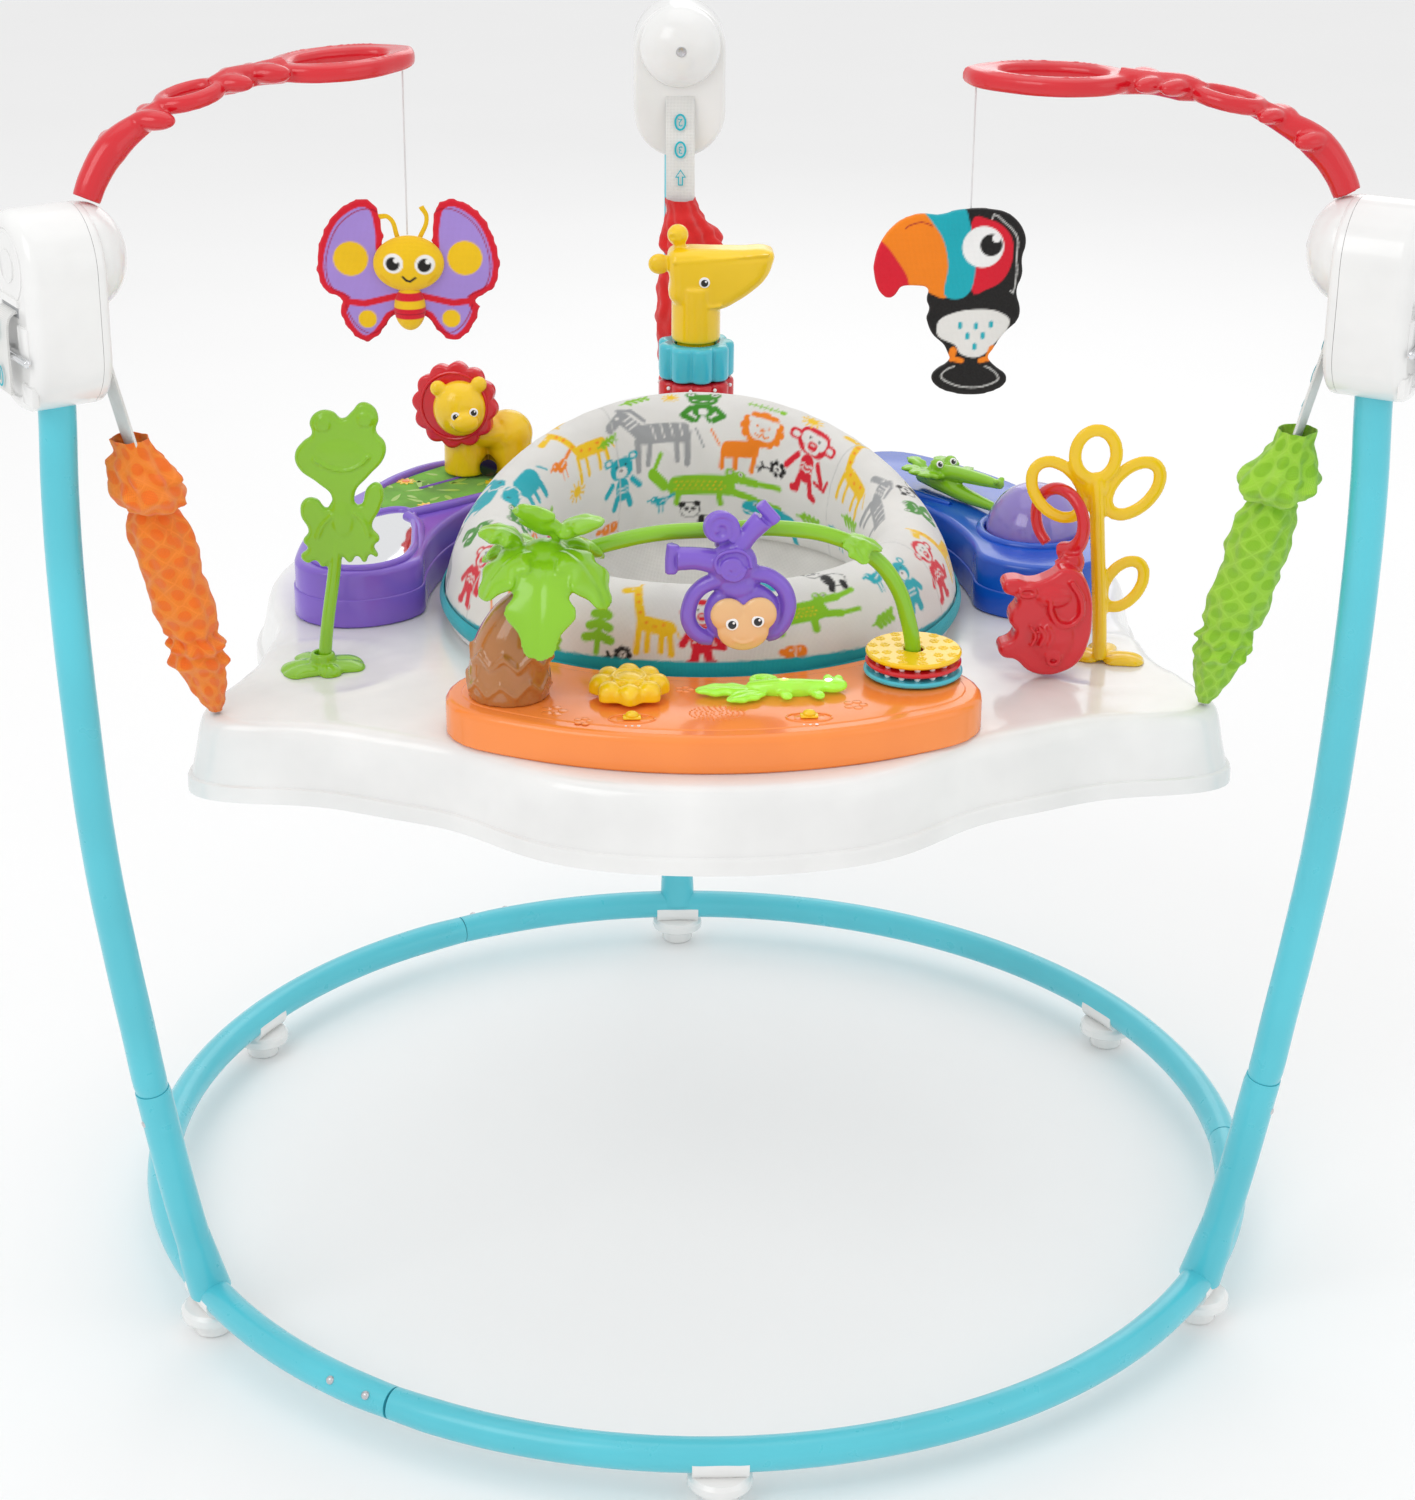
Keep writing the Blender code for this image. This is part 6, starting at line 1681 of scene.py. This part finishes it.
def eyes(name, places, radius, normal, body):
    """Printed eyes: white discs, black pupils and a glint, facing along a direction."""
    whites, blacks = [], []
    for x, y, z in places:
        place = aimed(spot_mm(x, y, z), normal)
        size = radius / MM
        whites.append(placed(ball((0, 0, 0), (size, size, 0.0006)), place))
        blacks.append(placed(ball((0, -size * 0.08, 0.0005), (size * 0.66, size * 0.66, 0.0005)), place))
        whites.append(placed(ball((size * 0.24, size * 0.22, 0.0009), (size * 0.2, size * 0.2, 0.0003),
                                  sides=12), place))
    show(name + "_eye_whites", together(*whites), "eye_white", body)
    show(name + "_pupils", together(*blacks), "eye_black", body)


FRONT = Vector((0, -1, 0.12))

# %% [markdown]
# A palm tree stands on the panel. Its trunk is tinted see-through plastic with a zigzag of
# husks round its foot. The crown is thick leaves that droop every way, and one branch runs
# over the panel as an arch down to the bead spinner.

# %% Palm tree
trunk = [rod([spot_mm(x, y, z) for x, y, z in ((-137, -230, 512.4), (-137, -230, 526), (-134, -229, 545),
                                              (-127, -227, 561), (-117, -225, 575))], 0.0272, 40,
             swell=[1.0, 1.0, 0.95, 0.82, 0.6])]
for level, count, size in ((519, 9, 0.0268), (538, 9, 0.0262)):
    zigzag = []
    for k in range(2 * count):
        a = pi * k / count
        lean = -137 + max(0, level - 526) * 0.18
        zigzag.append(spot_mm(lean, -230, level + (9 if k % 2 else 0)) + Vector((cos(a), sin(a), 0)) * size)
    trunk.append(rod(zigzag, 0.0027, 10, closed=True, straight=True))
show("palm_bark", standing(moulded(trunk, 0.0014, 2), PANEL_TOP + GAP), "trunk_brown", "tray",
     "palm_trunk", smooth=60)
crown = [egg(-112, -226, 602, (20, 19, 17))]
for x, y, z, turn, tilt, length, width, droop in ((-112, -238, 608, -96, 12, 52, 44, 44),
        (-120, -232, 612, -150, 8, 42, 36, 20), (-104, -232, 612, -38, 6, 44, 36, 26),
        (-120, -216, 612, 150, 2, 38, 32, 16), (-104, -216, 612, 40, 2, 38, 32, 16),
        (-112, -224, 622, -120, -62, 34, 30, 8), (-106, -224, 620, -20, -38, 36, 30, 10),
        (-126, -226, 616, 175, -30, 30, 28, 8)):
    crown.append(frond(length / MM, width / MM, 0.013, droop / MM, sprig(x, y, z, turn, tilt)))
arch_route = [(-98, -207, 600), (-67, -205, 609), (-38, -205, 615), (-9, -205, 617), (49, -205, 617.5),
              (82, -205, 611), (105, -204.5, 598), (122, -203, 577), (131, -201.5, 552),
              (135.4, -200, 530), (136, -200, 512.4)]
arch = rod([spot_mm(*point) for point in arch_route], 0.0055, 24)
tufts = [frond(0.026, 0.017, 0.006, 0.004, sprig(88, -205, 612, turn, tilt)) for turn,
         tilt in ((-12, 10), (25, 14), (-60, 20))]
show("palm_crown", moulded(crown, 0.0014, 3), "lime_plastic", "tray", "palm_arch", smooth=70)
show("palm_branch", moulded([arch, *tufts], 0.0011, 2), "lime_plastic", "tray", smooth=70)

# %% [markdown]
# On the panel are a flower-shaped button, a clear lizard that lights up, and a spinner of
# three discs with rows of beads between them that turns on the foot of the arch. The
# lizard's lamps are two small bright spots under its skin.

# %% Panel toys
petals = [disc(-0.057, -0.238, 0.0272, PANEL_TOP + 0.0034, 0.524, 0.003, 0.17, 8, 96)]
petals += [egg(x, y, 522.5, (7.6, 7.6, 5.6)) for x, y in circle(8, 18.5, x=-57, y=-238)]
petals.append(egg(-57, -238, 523.5, (10.5, 10.5, 5.5)))
petals.append(rod([spot_mm(x, y, 527.2) for x, y in circle(16, 11, x=-57, y=-238)], 0.0012, 8, closed=True))
show("flower_petals", moulded(petals, 0.0011, 2), "yellow_plastic", "flower_button", "flower_button",
     smooth=70)


def lizard_spot(u, v, w):
    """A place measured from the lizard's middle, in millimetres."""
    return (38 + u, -236 + v, 512.4 + w)


lizard = [rod([spot_mm(*lizard_spot(*p)) for p in ((-16, 2, 3.5), (2, 0, 4.5), (20, -1, 4.5),
    (34, 2, 4.0))], 0.0052, 20, swell=[0.8, 1.2, 1.2, 0.9]), egg(*lizard_spot(41, 3, 4.6), (10, 8, 4.6)),
          egg(*lizard_spot(45, 8, 7.2), (3.2, 3.2, 2.6)), egg(*lizard_spot(38, 9, 7.2), (3.2, 3.2, 2.6))]
lizard.append(frond(0.04, 0.017, 0.007, 0.0, sprig(*lizard_spot(-12, -1, 3.8), 182)))
lizard.append(frond(0.03, 0.014, 0.006, 0.0, sprig(*lizard_spot(-4, -6, 3.2), 205)))
for u, v, turn in ((6, -7, -70), (26, -7, -60), (8, 7, 70), (27, 8, 60)):
    lizard.append(frond(0.014, 0.009, 0.006, 0.0, sprig(*lizard_spot(u, v * 0.4, 3.2), turn), lobes=1))
curl = [lizard_spot(-6 + (9 - k * 0.5) * cos(k * 0.62), 9 + (7 - k * 0.4) * sin(k * 0.62), 6)
        for k in range(14)]
lizard.append(rod([spot_mm(*p) for p in curl], 0.0024, 10))
# The lens carries the clear lime's painted glow over all its skin.
show("lizard_lens", moulded(lizard, 0.001, 2), "clear_lime", "tray", "light_lizard", smooth=70)
plastic("lamp_spot", (1.0, 1.0, 0.85), slot="clear_lime", glow=2.2, wave=0.0)
lamps = [egg(*lizard_spot(8, 0, 9.8), (3.4, 2.6, 0.9)), egg(*lizard_spot(38, 2, 8.8), (2.6, 2.2, 0.8))]
show("lizard_lamps", together(*lamps), "lamp_spot", "tray")

SPIN = (0.136, -0.2)


def washer(radius, low, high, bore=0.0066, edge=0.0012):
    """One disc of the spinner."""
    profile = [(bore, low), (radius - edge, low), (radius, low + edge), (radius, high - edge),
               (radius - edge, high), (bore + 0.001, high), (bore, high - 0.001), (bore, low)]
    return turned(profile, lying(*SPIN, 0), 72)


def ring_of(count, radius, z, size):
    """A row of beads round the spinner."""
    return [ball(at(*spot, z), size, sides=14) for spot in circle(count, radius, x=SPIN[0], y=SPIN[1])]


show("spinner_base", washer(0.0335, 0.5132, 0.5168), "sky_plastic", "bead_spinner", smooth=35)
show("spinner_middle", washer(0.0325, 0.52, 0.5232), "red_plastic", "bead_spinner", smooth=35)
daisies = []
for ring, count in ((11.5, 5), (20, 9), (28, 13)):
    for a in angles(count):
        for b in angles(6):
            b += ring
            daisies.append(ball(at(SPIN[0] + (ring * cos(a) + 2.1 * cos(b)) / MM,
                                   SPIN[1] + (ring * sin(a) + 2.1 * sin(b)) / MM, 0.5299),
                                (0.0015, 0.0015, 0.0008), sides=8))
show("spinner_top", together(washer(0.0325, 0.5262, 0.53), *daisies), "yellow_plastic", "bead_spinner",
     "bead_spinner", smooth=35)
show("spinner_beads", together(*ring_of(16, 0.027, 0.5184, 0.0022), *ring_of(16, 0.0265, 0.5247, 0.0022)),
     "eye_white", "bead_spinner")
core = turned([(0.0066, 0.5135), (0.019, 0.5135), (0.019, 0.529), (0.0066, 0.529), (0.0066, 0.5135)],
              lying(*SPIN, 0), 48)
show("spinner_core", core, "red_plastic", "bead_spinner", smooth=35)

# %% [markdown]
# A purple monkey hangs upside down from the arch. Its tail is a spiral that hooks over the
# branch, its arms make loops round its head, and its face is a separate heart-shaped
# plate in tan. The body shows a scribble of fur.

# %% Monkey
Y = -224
monkey = [egg(12, Y, 600, (16, 10, 16)), egg(15, Y, 585, (13, 9, 12)),
          egg(18.5, Y + 1, 565, (26, 10.5, 23)), egg(3, Y, 626, (11.5, 5, 11.5)),
          trace([(12, 608), (22, 621), (31, 631)], Y, 7.5, 20, swell=[1, 0.9, 1]),
          trace([(29, 642), (34, 636), (40, 629)], Y, 4.2, 14),
          trace([(4, 601), (-12, 604), (-25, 604)], Y, 8, 20, swell=[1.1, 0.95, 1]),
          trace([(-28, 614), (-29, 604), (-29, 594)], Y, 4.2, 14),
          trace([(24, 594), (38, 590), (48, 577), (47, 562), (40, 552), (34, 549)], Y, 5.4, 18,
                swell=[1.1, 1, 1, 1, 1, 0.8]), trace([(4, 590), (-10, 583), (-17, 570), (-16, 557),
    (-8, 549), (-1, 547)], Y, 5.4, 18, swell=[1.1, 1, 1, 1, 1, 0.8])]
spiral = [(3 + (11.6 - 0.5 * k) * cos(0.62 * k - 0.9), 626 + (11.6 - 0.5 * k) * sin(0.62 * k - 0.9))
          for k in range(19)]
monkey.append(trace(spiral, Y - 4.6, 2.4, 12))
monkey.append(trace([(9, 600)] + [(11 + (2 + 0.5 * k) * cos(0.9 * k), 600 + (2 + 0.5 * k) * sin(0.9 * k))
                                  for k in range(15)], Y - 10.0, 1.3, 8))
monkey.append(trace([(2, 596), (0, 606), (8, 612), (20, 610), (24, 600)], Y - 9.2, 1.3, 8))
hook = [at(0.003, y, z) for y, z in circle(12, 0.0088, x=-0.205, y=0.6165)]
monkey.append(rod(hook, 0.003, 12, closed=True))
show("monkey_body", moulded(monkey, 0.001, 1), "purple_plastic", "monkey", "monkey", smooth=70)
face = [egg(8.5, Y - 9, 567.5, (12, 4.2, 12)), egg(29, Y - 9, 568, (12, 4.2, 12)),
        egg(18.5, Y - 9, 557, (17.5, 4.6, 14.5)), trace([(12, 551), (18.5, 549), (25, 551)], Y - 13, 0.8,
    8)]
show("monkey_face", moulded(face, 0.001, 2), "tan_plastic", "monkey", smooth=70)
eyes("monkey", [(11, Y - 13.2, 562.5), (28, Y - 13.2, 564.5)], 4.2, FRONT, "monkey")

# %% [markdown]
# A lime frog stands on a springy stalk at the left. It is a flat moulding with a wide
# head, two eye bumps and leafy arms. Its foot is a split leaf-shaped disc on the tray.

# %% Frog
OUTLINE = [(-243, 614), (-233, 627), (-222, 640), (-221, 650), (-227, 659), (-225, 668), (-229, 677),
           (-237, 679), (-243, 673), (-250, 668), (-256, 673), (-266, 673), (-272, 666), (-271, 657),
           (-277, 652), (-283, 643), (-281, 633), (-268, 622), (-259, 612), (-262, 604), (-270, 611),
           (-278, 610), (-281, 600), (-276, 587), (-280, 580), (-277, 575), (-282, 569), (-277, 564),
           (-272, 566), (-267, 561), (-261, 566), (-255, 570), (-248, 564), (-243, 569), (-238, 564),
           (-234, 570), (-229, 568), (-231, 576), (-227, 581), (-232, 590), (-226, 603), (-223, 615),
           (-227, 622), (-234, 619), (-241, 606)]
Y = -115
upright = facing(0, Y / MM, 0)
frog = [plate([[(x / MM, z / MM) for x, z in OUTLINE]], 0.0072, 0.0028, upright),
        rod([spot_mm(-269, Y, 487.5), spot_mm(-266, Y, 515), spot_mm(-259, Y, 560),
             spot_mm(-256, Y, 585)], 0.0046, 20, swell=[1.05, 1, 1, 0.8]),
        egg(-252, Y, 596, (11, 5.6, 17)), egg(-252, Y, 643, (24, 5.2, 15)),
        egg(-234, Y, 668, (7, 5.4, 7)), egg(-263, Y, 665, (7, 5.4, 7)),
        trace([(-270, 640), (-260, 634), (-250, 632), (-240, 635), (-232, 642)], Y - 5.0, 0.9, 8),
        trace([(-259, 600), (-266, 592), (-270, 583)], Y - 4.4, 1.0, 8),
        trace([(-244, 602), (-237, 594), (-234, 584)], Y - 4.4, 1.0, 8)]
for x, z in ((-234, 668), (-263, 665)):
    frog.append(trace(circle(10, 4, x=x, y=z), Y - 4.6, 0.8, 8, closed=True))
show("frog_plate", moulded(frog, 0.0011, 2), "lime_plastic", "frog", "frog", smooth=70)
pads = [frond(0.03, 0.034, 0.01, 0.002, sprig(-270, -115, 487, turn), lobes=1) for turn in (200, 110, 15)]
pads.append(frond(0.02, 0.018, 0.011, 0.001, sprig(-270, -116, 487, -62), lobes=1))
socket = turned([(0.0056, 0.486), (0.0095, 0.486), (0.009, 0.4955), (0.0075, 0.4975), (0.0056, 0.4975),
                 (0.0056, 0.486)], lying(-0.27, -0.115, 0), 40)
show("frog_foot", standing(moulded(pads + [socket], 0.0011, 2), TRAY_TOP + GAP), "lime_plastic", "tray",
     smooth=70)

# %% [markdown]
# At the right a yellow flower of four flat loops stands on a stem. A red elephant hangs on
# it by its trunk, which is curled into a ring and passes through the left loop.

# %% Loop flower and elephant
Y = -115


def oval(cx, cz, long, short, tilt, y, radius, squash_y=0.5):
    """A flat closed band along a tilted oval."""
    c, s = cos(radians(tilt)), sin(radians(tilt))
    points = [((cx + u * c - v * s) / MM, 0, (cz + u * s + v * c) / MM) for u, v in circle(14, long, short)]
    band = rod(points, radius / MM, 16, closed=True)
    band.transform(Matrix.Diagonal((1, squash_y, 1, 1)))
    return placed(band, lying(0, y / MM, 0))


flower = [oval(266.5, 638.5, 17.5, 14.2, 90, Y - 1, 4.7), oval(242.0, 612.5, 23.0, 15.0, -52, Y + 2, 4.4),
          oval(294.5, 613, 22.0, 14.0, 48, Y + 2, 4.7), oval(291.5, 543, 18.5, 12.0, 58, Y + 1, 4.4),
          trace([(278, 487.5), (276, 520), (272, 570), (268.5, 612), (267.5, 622)], Y, 5.2, 20,
                swell=[1, 1, 1, 1, 0.9]), egg(268, Y, 616, (9, 3.4, 10))]
show("loop_petals", moulded(flower, 0.0011, 2), "yellow_plastic", "loop_flower", "loop_flower", smooth=70)
leaves = [frond(0.03, 0.024, 0.01, 0.001, sprig(280, -113, 487, turn), lobes=1) for turn in (-8, 150, 80)]
show("loop_foot", standing(moulded(leaves, 0.0011, 2), TRAY_TOP + GAP), "yellow_plastic", "tray", smooth=70)

slant = radians(50)
trunk_ring = []
for k in range(11):
    a = radians(-78 + 318 * k / 10)
    across = 0.0218 * cos(a)
    trunk_ring.append(at(0.244 + across * cos(slant), -0.117 - across * sin(slant), 0.5915
                         + 0.0225 * sin(a)))
BODY = [(254, 565), (262, 552), (265, 530), (263, 513), (257, 499), (247, 492), (234, 489.5), (222, 493),
        (213, 501), (203, 504), (201, 511), (209, 516), (211.5, 523), (207.5, 529), (208, 536),
        (212, 542), (211, 547), (203, 551), (202, 557.5), (209, 560.5), (222, 558), (234, 562),
        (244, 568)]
turned_up = facing(0, -0.143, 0)
elephant = [plate([[(x / MM, z / MM) for x, z in BODY]], 0.02, 0.0035, turned_up),
            rod(trunk_ring, 0.0044, 20, swell=[1.7, 1.35, 1.1, 1, 1, 1, 1, 1, 0.95, 0.9, 0.85]),
            trace([(246, 560), (252, 566), (251, 573)], -133, 7.4, 20, swell=[1.3, 1.1, 0.9]),
            egg(238, -144, 518, (21, 13, 25)), egg(237, -144, 548, (19, 12.5, 12)),
            trace([(213, 552), (218, 555), (224, 552), (218, 549)], -154, 1.3, 8, closed=True)]
ear = [(248, 560), (256, 545), (254, 532), (244, 528), (236, 536), (234, 548)]
elephant.append(trace(ear, -155.6, 2.0, 10))
for k in range(3):
    elephant.append(trace([(221 + 6 * k, 528), (225 + 6 * k, 521), (222 + 6 * k, 513)], -156.8, 1.3, 8))
elephant.append(trace([(238 + (1.5 + 0.5 * k) * cos(k), 503 + (1.5 + 0.5 * k) * sin(k)) for k in range(10)],
                      -155.5, 1.3, 8))
show("elephant_body", moulded(elephant, 0.0011, 1), "red_plastic", "elephant", "elephant", smooth=70)

# %% [markdown]
# A lion slides along the purple station. Its mane is a scalloped red plate behind a yellow
# head, and its body is a rounded bench with a wheel arch. The crocodile on the blue
# station opens its jaws over the ball.

# %% Lion and crocodile
low = STATION_TOP + 0.0017
column = turned([(0, 0), (0.016, 0), (0.017, 0.0015), (0.0168, 0.02), (0.016, 0.042), (0.01, 0.05),
                 (0, 0.052)], lying(-0.177, 0.19, low), 56)
haunch = turned([(0, 0), (0.015, 0), (0.016, 0.0015), (0.0168, 0.016), (0.0172, 0.03), (0.012, 0.042),
                 (0, 0.045)], lying(-0.142, 0.192, low), 56)
lion = [column, haunch, egg(-160, 190, 563, (30, 17.5, 13)), egg(-144, 192, 560, (20, 18, 19)),
        egg(-180, 171, 587, (21, 16, 22)), egg(-176, 157, 580, (11, 7, 8.5)),
        egg(-196.5, 168, 604, (6.4, 4.6, 6.4)), egg(-165, 168, 607, (6.4, 4.6, 6.4)),
        trace([(-182, 575.5), (-176, 573.5), (-170, 576)], 152.5, 0.7, 8)]
show("lion_body", moulded(lion, 0.0012, 3), "yellow_plastic", "lion", "lion", smooth=70)
scallops = []
for a in angles(96):
    r = 0.0305 + 0.0035 * abs(cos(6 * a + 0.4))
    scallops.append((r * cos(a), r * sin(a)))
inner_wave = rod([(x, y, 0.0046) for x, y in circle(20, 0.026)], 0.0014, 8, closed=True)
mane = together(slab(scallops, -0.005, 0.0045, 0.0025, 4), inner_wave)
show("lion_mane", placed(mane, facing(-0.184, 0.177, 0.588, -12, -6)), "red_plastic", "lion", smooth=40)
eyes("lion", [(-183, 153.8, 585.5), (-169, 154.6, 588.5)], 3.4, Vector((0.05, -1, 0.1)), "lion")
wheel = turned([(0, -0.017), (0.0068, -0.017), (0.0068, 0.017), (0, 0.017)],
               facing(-0.159, 0.19, low + 0.008), 32)
show("lion_wheel", wheel, "eye_black", "lion", smooth=35)


def croc_place(along, across, z):
    """A place on the crocodile: along it from its tail, across it and up."""
    way = Vector((44, -71)).normalized()
    return (174 + way.x * along - way.y * across, 160 + way.y * along + way.x * across, z)


def croc_rod(points, radius, swell):
    """A rod through places on the crocodile."""
    return rod([spot_mm(*croc_place(*point)) for point in points], radius / MM, 18, swell=swell)


croc = [croc_rod([(9, 0, 537), (30, 0, 537.5), (62, 1, 534.5), (98, 2, 534)], 7.0, [0.9, 1.1, 0.85, 0.5]),
        croc_rod([(22, 0, 543), (48, 1, 548), (78, 3, 551), (100, 5, 552)], 6.4, [1.0, 1.0, 0.8, 0.5]),
        egg(*croc_place(34, -5, 552), (5.4, 5.4, 5.4)), egg(*croc_place(34, 8, 552), (5.4, 5.4, 5.4)),
        egg(*croc_place(98, 1, 555), (2.6, 2.6, 2.2)), egg(*croc_place(96, 8, 555), (2.6, 2.6, 2.2))]
for k, (along, across, turn) in enumerate(((16, -6, 205), (20, 8, 62), (28, -9, 200), (32, 11, 60),
                                           (14, 0, 124), (42, -10, 190), (48, 12, 55))):
    croc.append(frond(0.022, 0.012, 0.006, 0.002, sprig(*croc_place(along, across * 0.4, 543 + k % 2),
        turn, -16)))
show("crocodile_body", standing(moulded(croc, 0.0012, 2), STATION_TOP + 0.0008), "lime_plastic",
     "crocodile", "crocodile", smooth=70)
eyes("crocodile", [croc_place(38.6, -6, 554), croc_place(38.6, 7, 554)], 2.8, Vector((0.3, -1, 0.5)),
     "crocodile")

# %% [markdown]
# At the back a giraffe's head stands on a post that passes through two scalloped rings. A
# baby can turn the head and spin the rings. The neck is a cylinder and the head a thick
# rounded plate with a flat top, an ear and a horn.

# %% Giraffe
POST_X, POST_Y = 0.008, 0.3
Y = 300
HEAD = [(-13, 640), (-13.5, 655), (-15, 668), (-13, 679), (-4, 681), (20, 680.8), (45, 680.4), (66, 680),
        (70, 677), (69, 668), (64, 657), (54, 647), (41, 638), (29, 632), (10, 630)]
profile = facing(0, Y / MM, 0)
neck = turned([(0, 0.4856), (0.0215, 0.4856), (0.0215, 0.54), (0.0152, 0.5425), (0.0152, 0.6045),
               (0.0185, 0.605), (0.0198, 0.6065), (0.0198, 0.65), (0, 0.655)], lying(POST_X, POST_Y, 0),
              64)
giraffe = [plate([[(x / MM, z / MM) for x, z in HEAD]], 0.034, 0.009, profile), neck,
           trace([(-4, 676), (-7, 690)], Y, 5.0, 18), egg(-7, Y, 691, (8.6, 8.6, 8.6)),
           egg(-22, Y - 3, 668, (9, 5, 8.5)), trace([(-12, 672), (20, 674.5), (45, 676.5), (67, 678.5)],
    Y - 16.6, 0.9, 8), trace([(50, 652), (54, 655), (55, 658)], Y - 15.6, 0.9, 8),
           egg(58, Y - 16.4, 668, (1.6, 1.0, 2.2)), trace([(10, 639), (20, 635.5), (28, 637)], Y - 17.6,
    0.9, 8), trace([(-11 + 3 * cos(a), 691 + 3 * sin(a)) for a in (k * 1.05 for k in range(6))], Y - 8,
                   0.8, 8)]
show("giraffe_head", moulded(giraffe, 0.0012, 2), "yellow_plastic", "giraffe", "giraffe", smooth=60)
eyes("giraffe", [(14, Y - 17.4, 656)], 4.4, Vector((0, -1, 0)), "giraffe")
for name, look, low, high in (("neck_ring_red", "red_plastic", 0.545, 0.5735),
                              ("neck_ring_blue", "sky_plastic", 0.5745, 0.6035)):
    wavy = []
    for a in angles(120):
        r = 0.0265 + 0.0048 * abs(cos(4.5 * a)) ** 0.8
        wavy.append((r * cos(a), r * sin(a)))
    hoop = plate([wavy, circle(24, 0.0166)], high - low, 0.0035, lying(POST_X, POST_Y, (low + high) / 2),
                 steps=2)
    show(name + "_hoop", hoop, look, name, name, smooth=50)
studs = [ball(at(*spot, 0.569), 0.0016, sides=12) for spot in circle(18, 0.0295, x=POST_X, y=POST_Y)]
show("neck_ring_studs", together(*studs), "eye_white", "neck_ring_red")
print("hard toys")

# %% [markdown]
# The set is a pale floor and soft light. One large lamp stands high on the left, a fainter
# one fills from the right, and a third lights from above. A bright, even sky keeps the
# shadows open, as in a studio with white walls.

# %% Floor, lights and sky
bm = bmesh.new()
bmesh.ops.create_grid(bm, x_segments=1, y_segments=1, size=12.0)
floor = bpy.data.objects.new("floor", mesh_of(bm))
scene.collection.objects.link(floor)
tree, shader = start_look("studio_floor")
spot = add_node(tree, "TexCoord", output="Object")
soft = add_node(tree, "TexNoise", {"Vector": spot, "Scale": 3.0})
feed(tree, shader.inputs["Base Color"], mix(tree, soft, (0.95, 0.95, 0.95, 1), (0.97, 0.97, 0.97, 1)))
shader.inputs["Roughness"].default_value = 0.9
floor.data.materials.append(LOOKS["studio_floor"])
floor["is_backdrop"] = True

LAMPS = [("key", (-1.7, -1.9, 2.5), 1.6, 16.0), ("fill", (2.3, -1.6, 1.5), 1.8, 4.0),
         ("top", (0.1, 0.3, 2.9), 2.2, 8.0), ("rim", (0.6, 2.6, 1.9), 1.6, 7.0)]
for name, place, size, power in LAMPS:
    lamp_data = bpy.data.lights.new(name, "AREA")
    lamp_data.size = size
    lamp_data.energy = power
    lamp = bpy.data.objects.new(name, lamp_data)
    lamp.location = place
    lamp.rotation_euler = (Vector((0, 0, 0.45)) - Vector(place)).to_track_quat("-Z", "Y").to_euler()
    scene.collection.objects.link(lamp)
sky = bpy.data.worlds.new("sky")
sky.use_nodes = True
sky.node_tree.nodes["Background"].inputs["Color"].default_value = (1.0, 1.0, 1.0, 1.0)
sky.node_tree.nodes["Background"].inputs["Strength"].default_value = 0.86
scene.world = sky
scene.view_settings.view_transform = "Standard"

# %% Sizes of the model and the scene
sizes = {"cad": [list(corner) for corner in cad_box], "visual": [list(corner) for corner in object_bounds()]}
print("sizes", {key: [[round(c, 4) for c in corner] for corner in box] for key, box in sizes.items()})
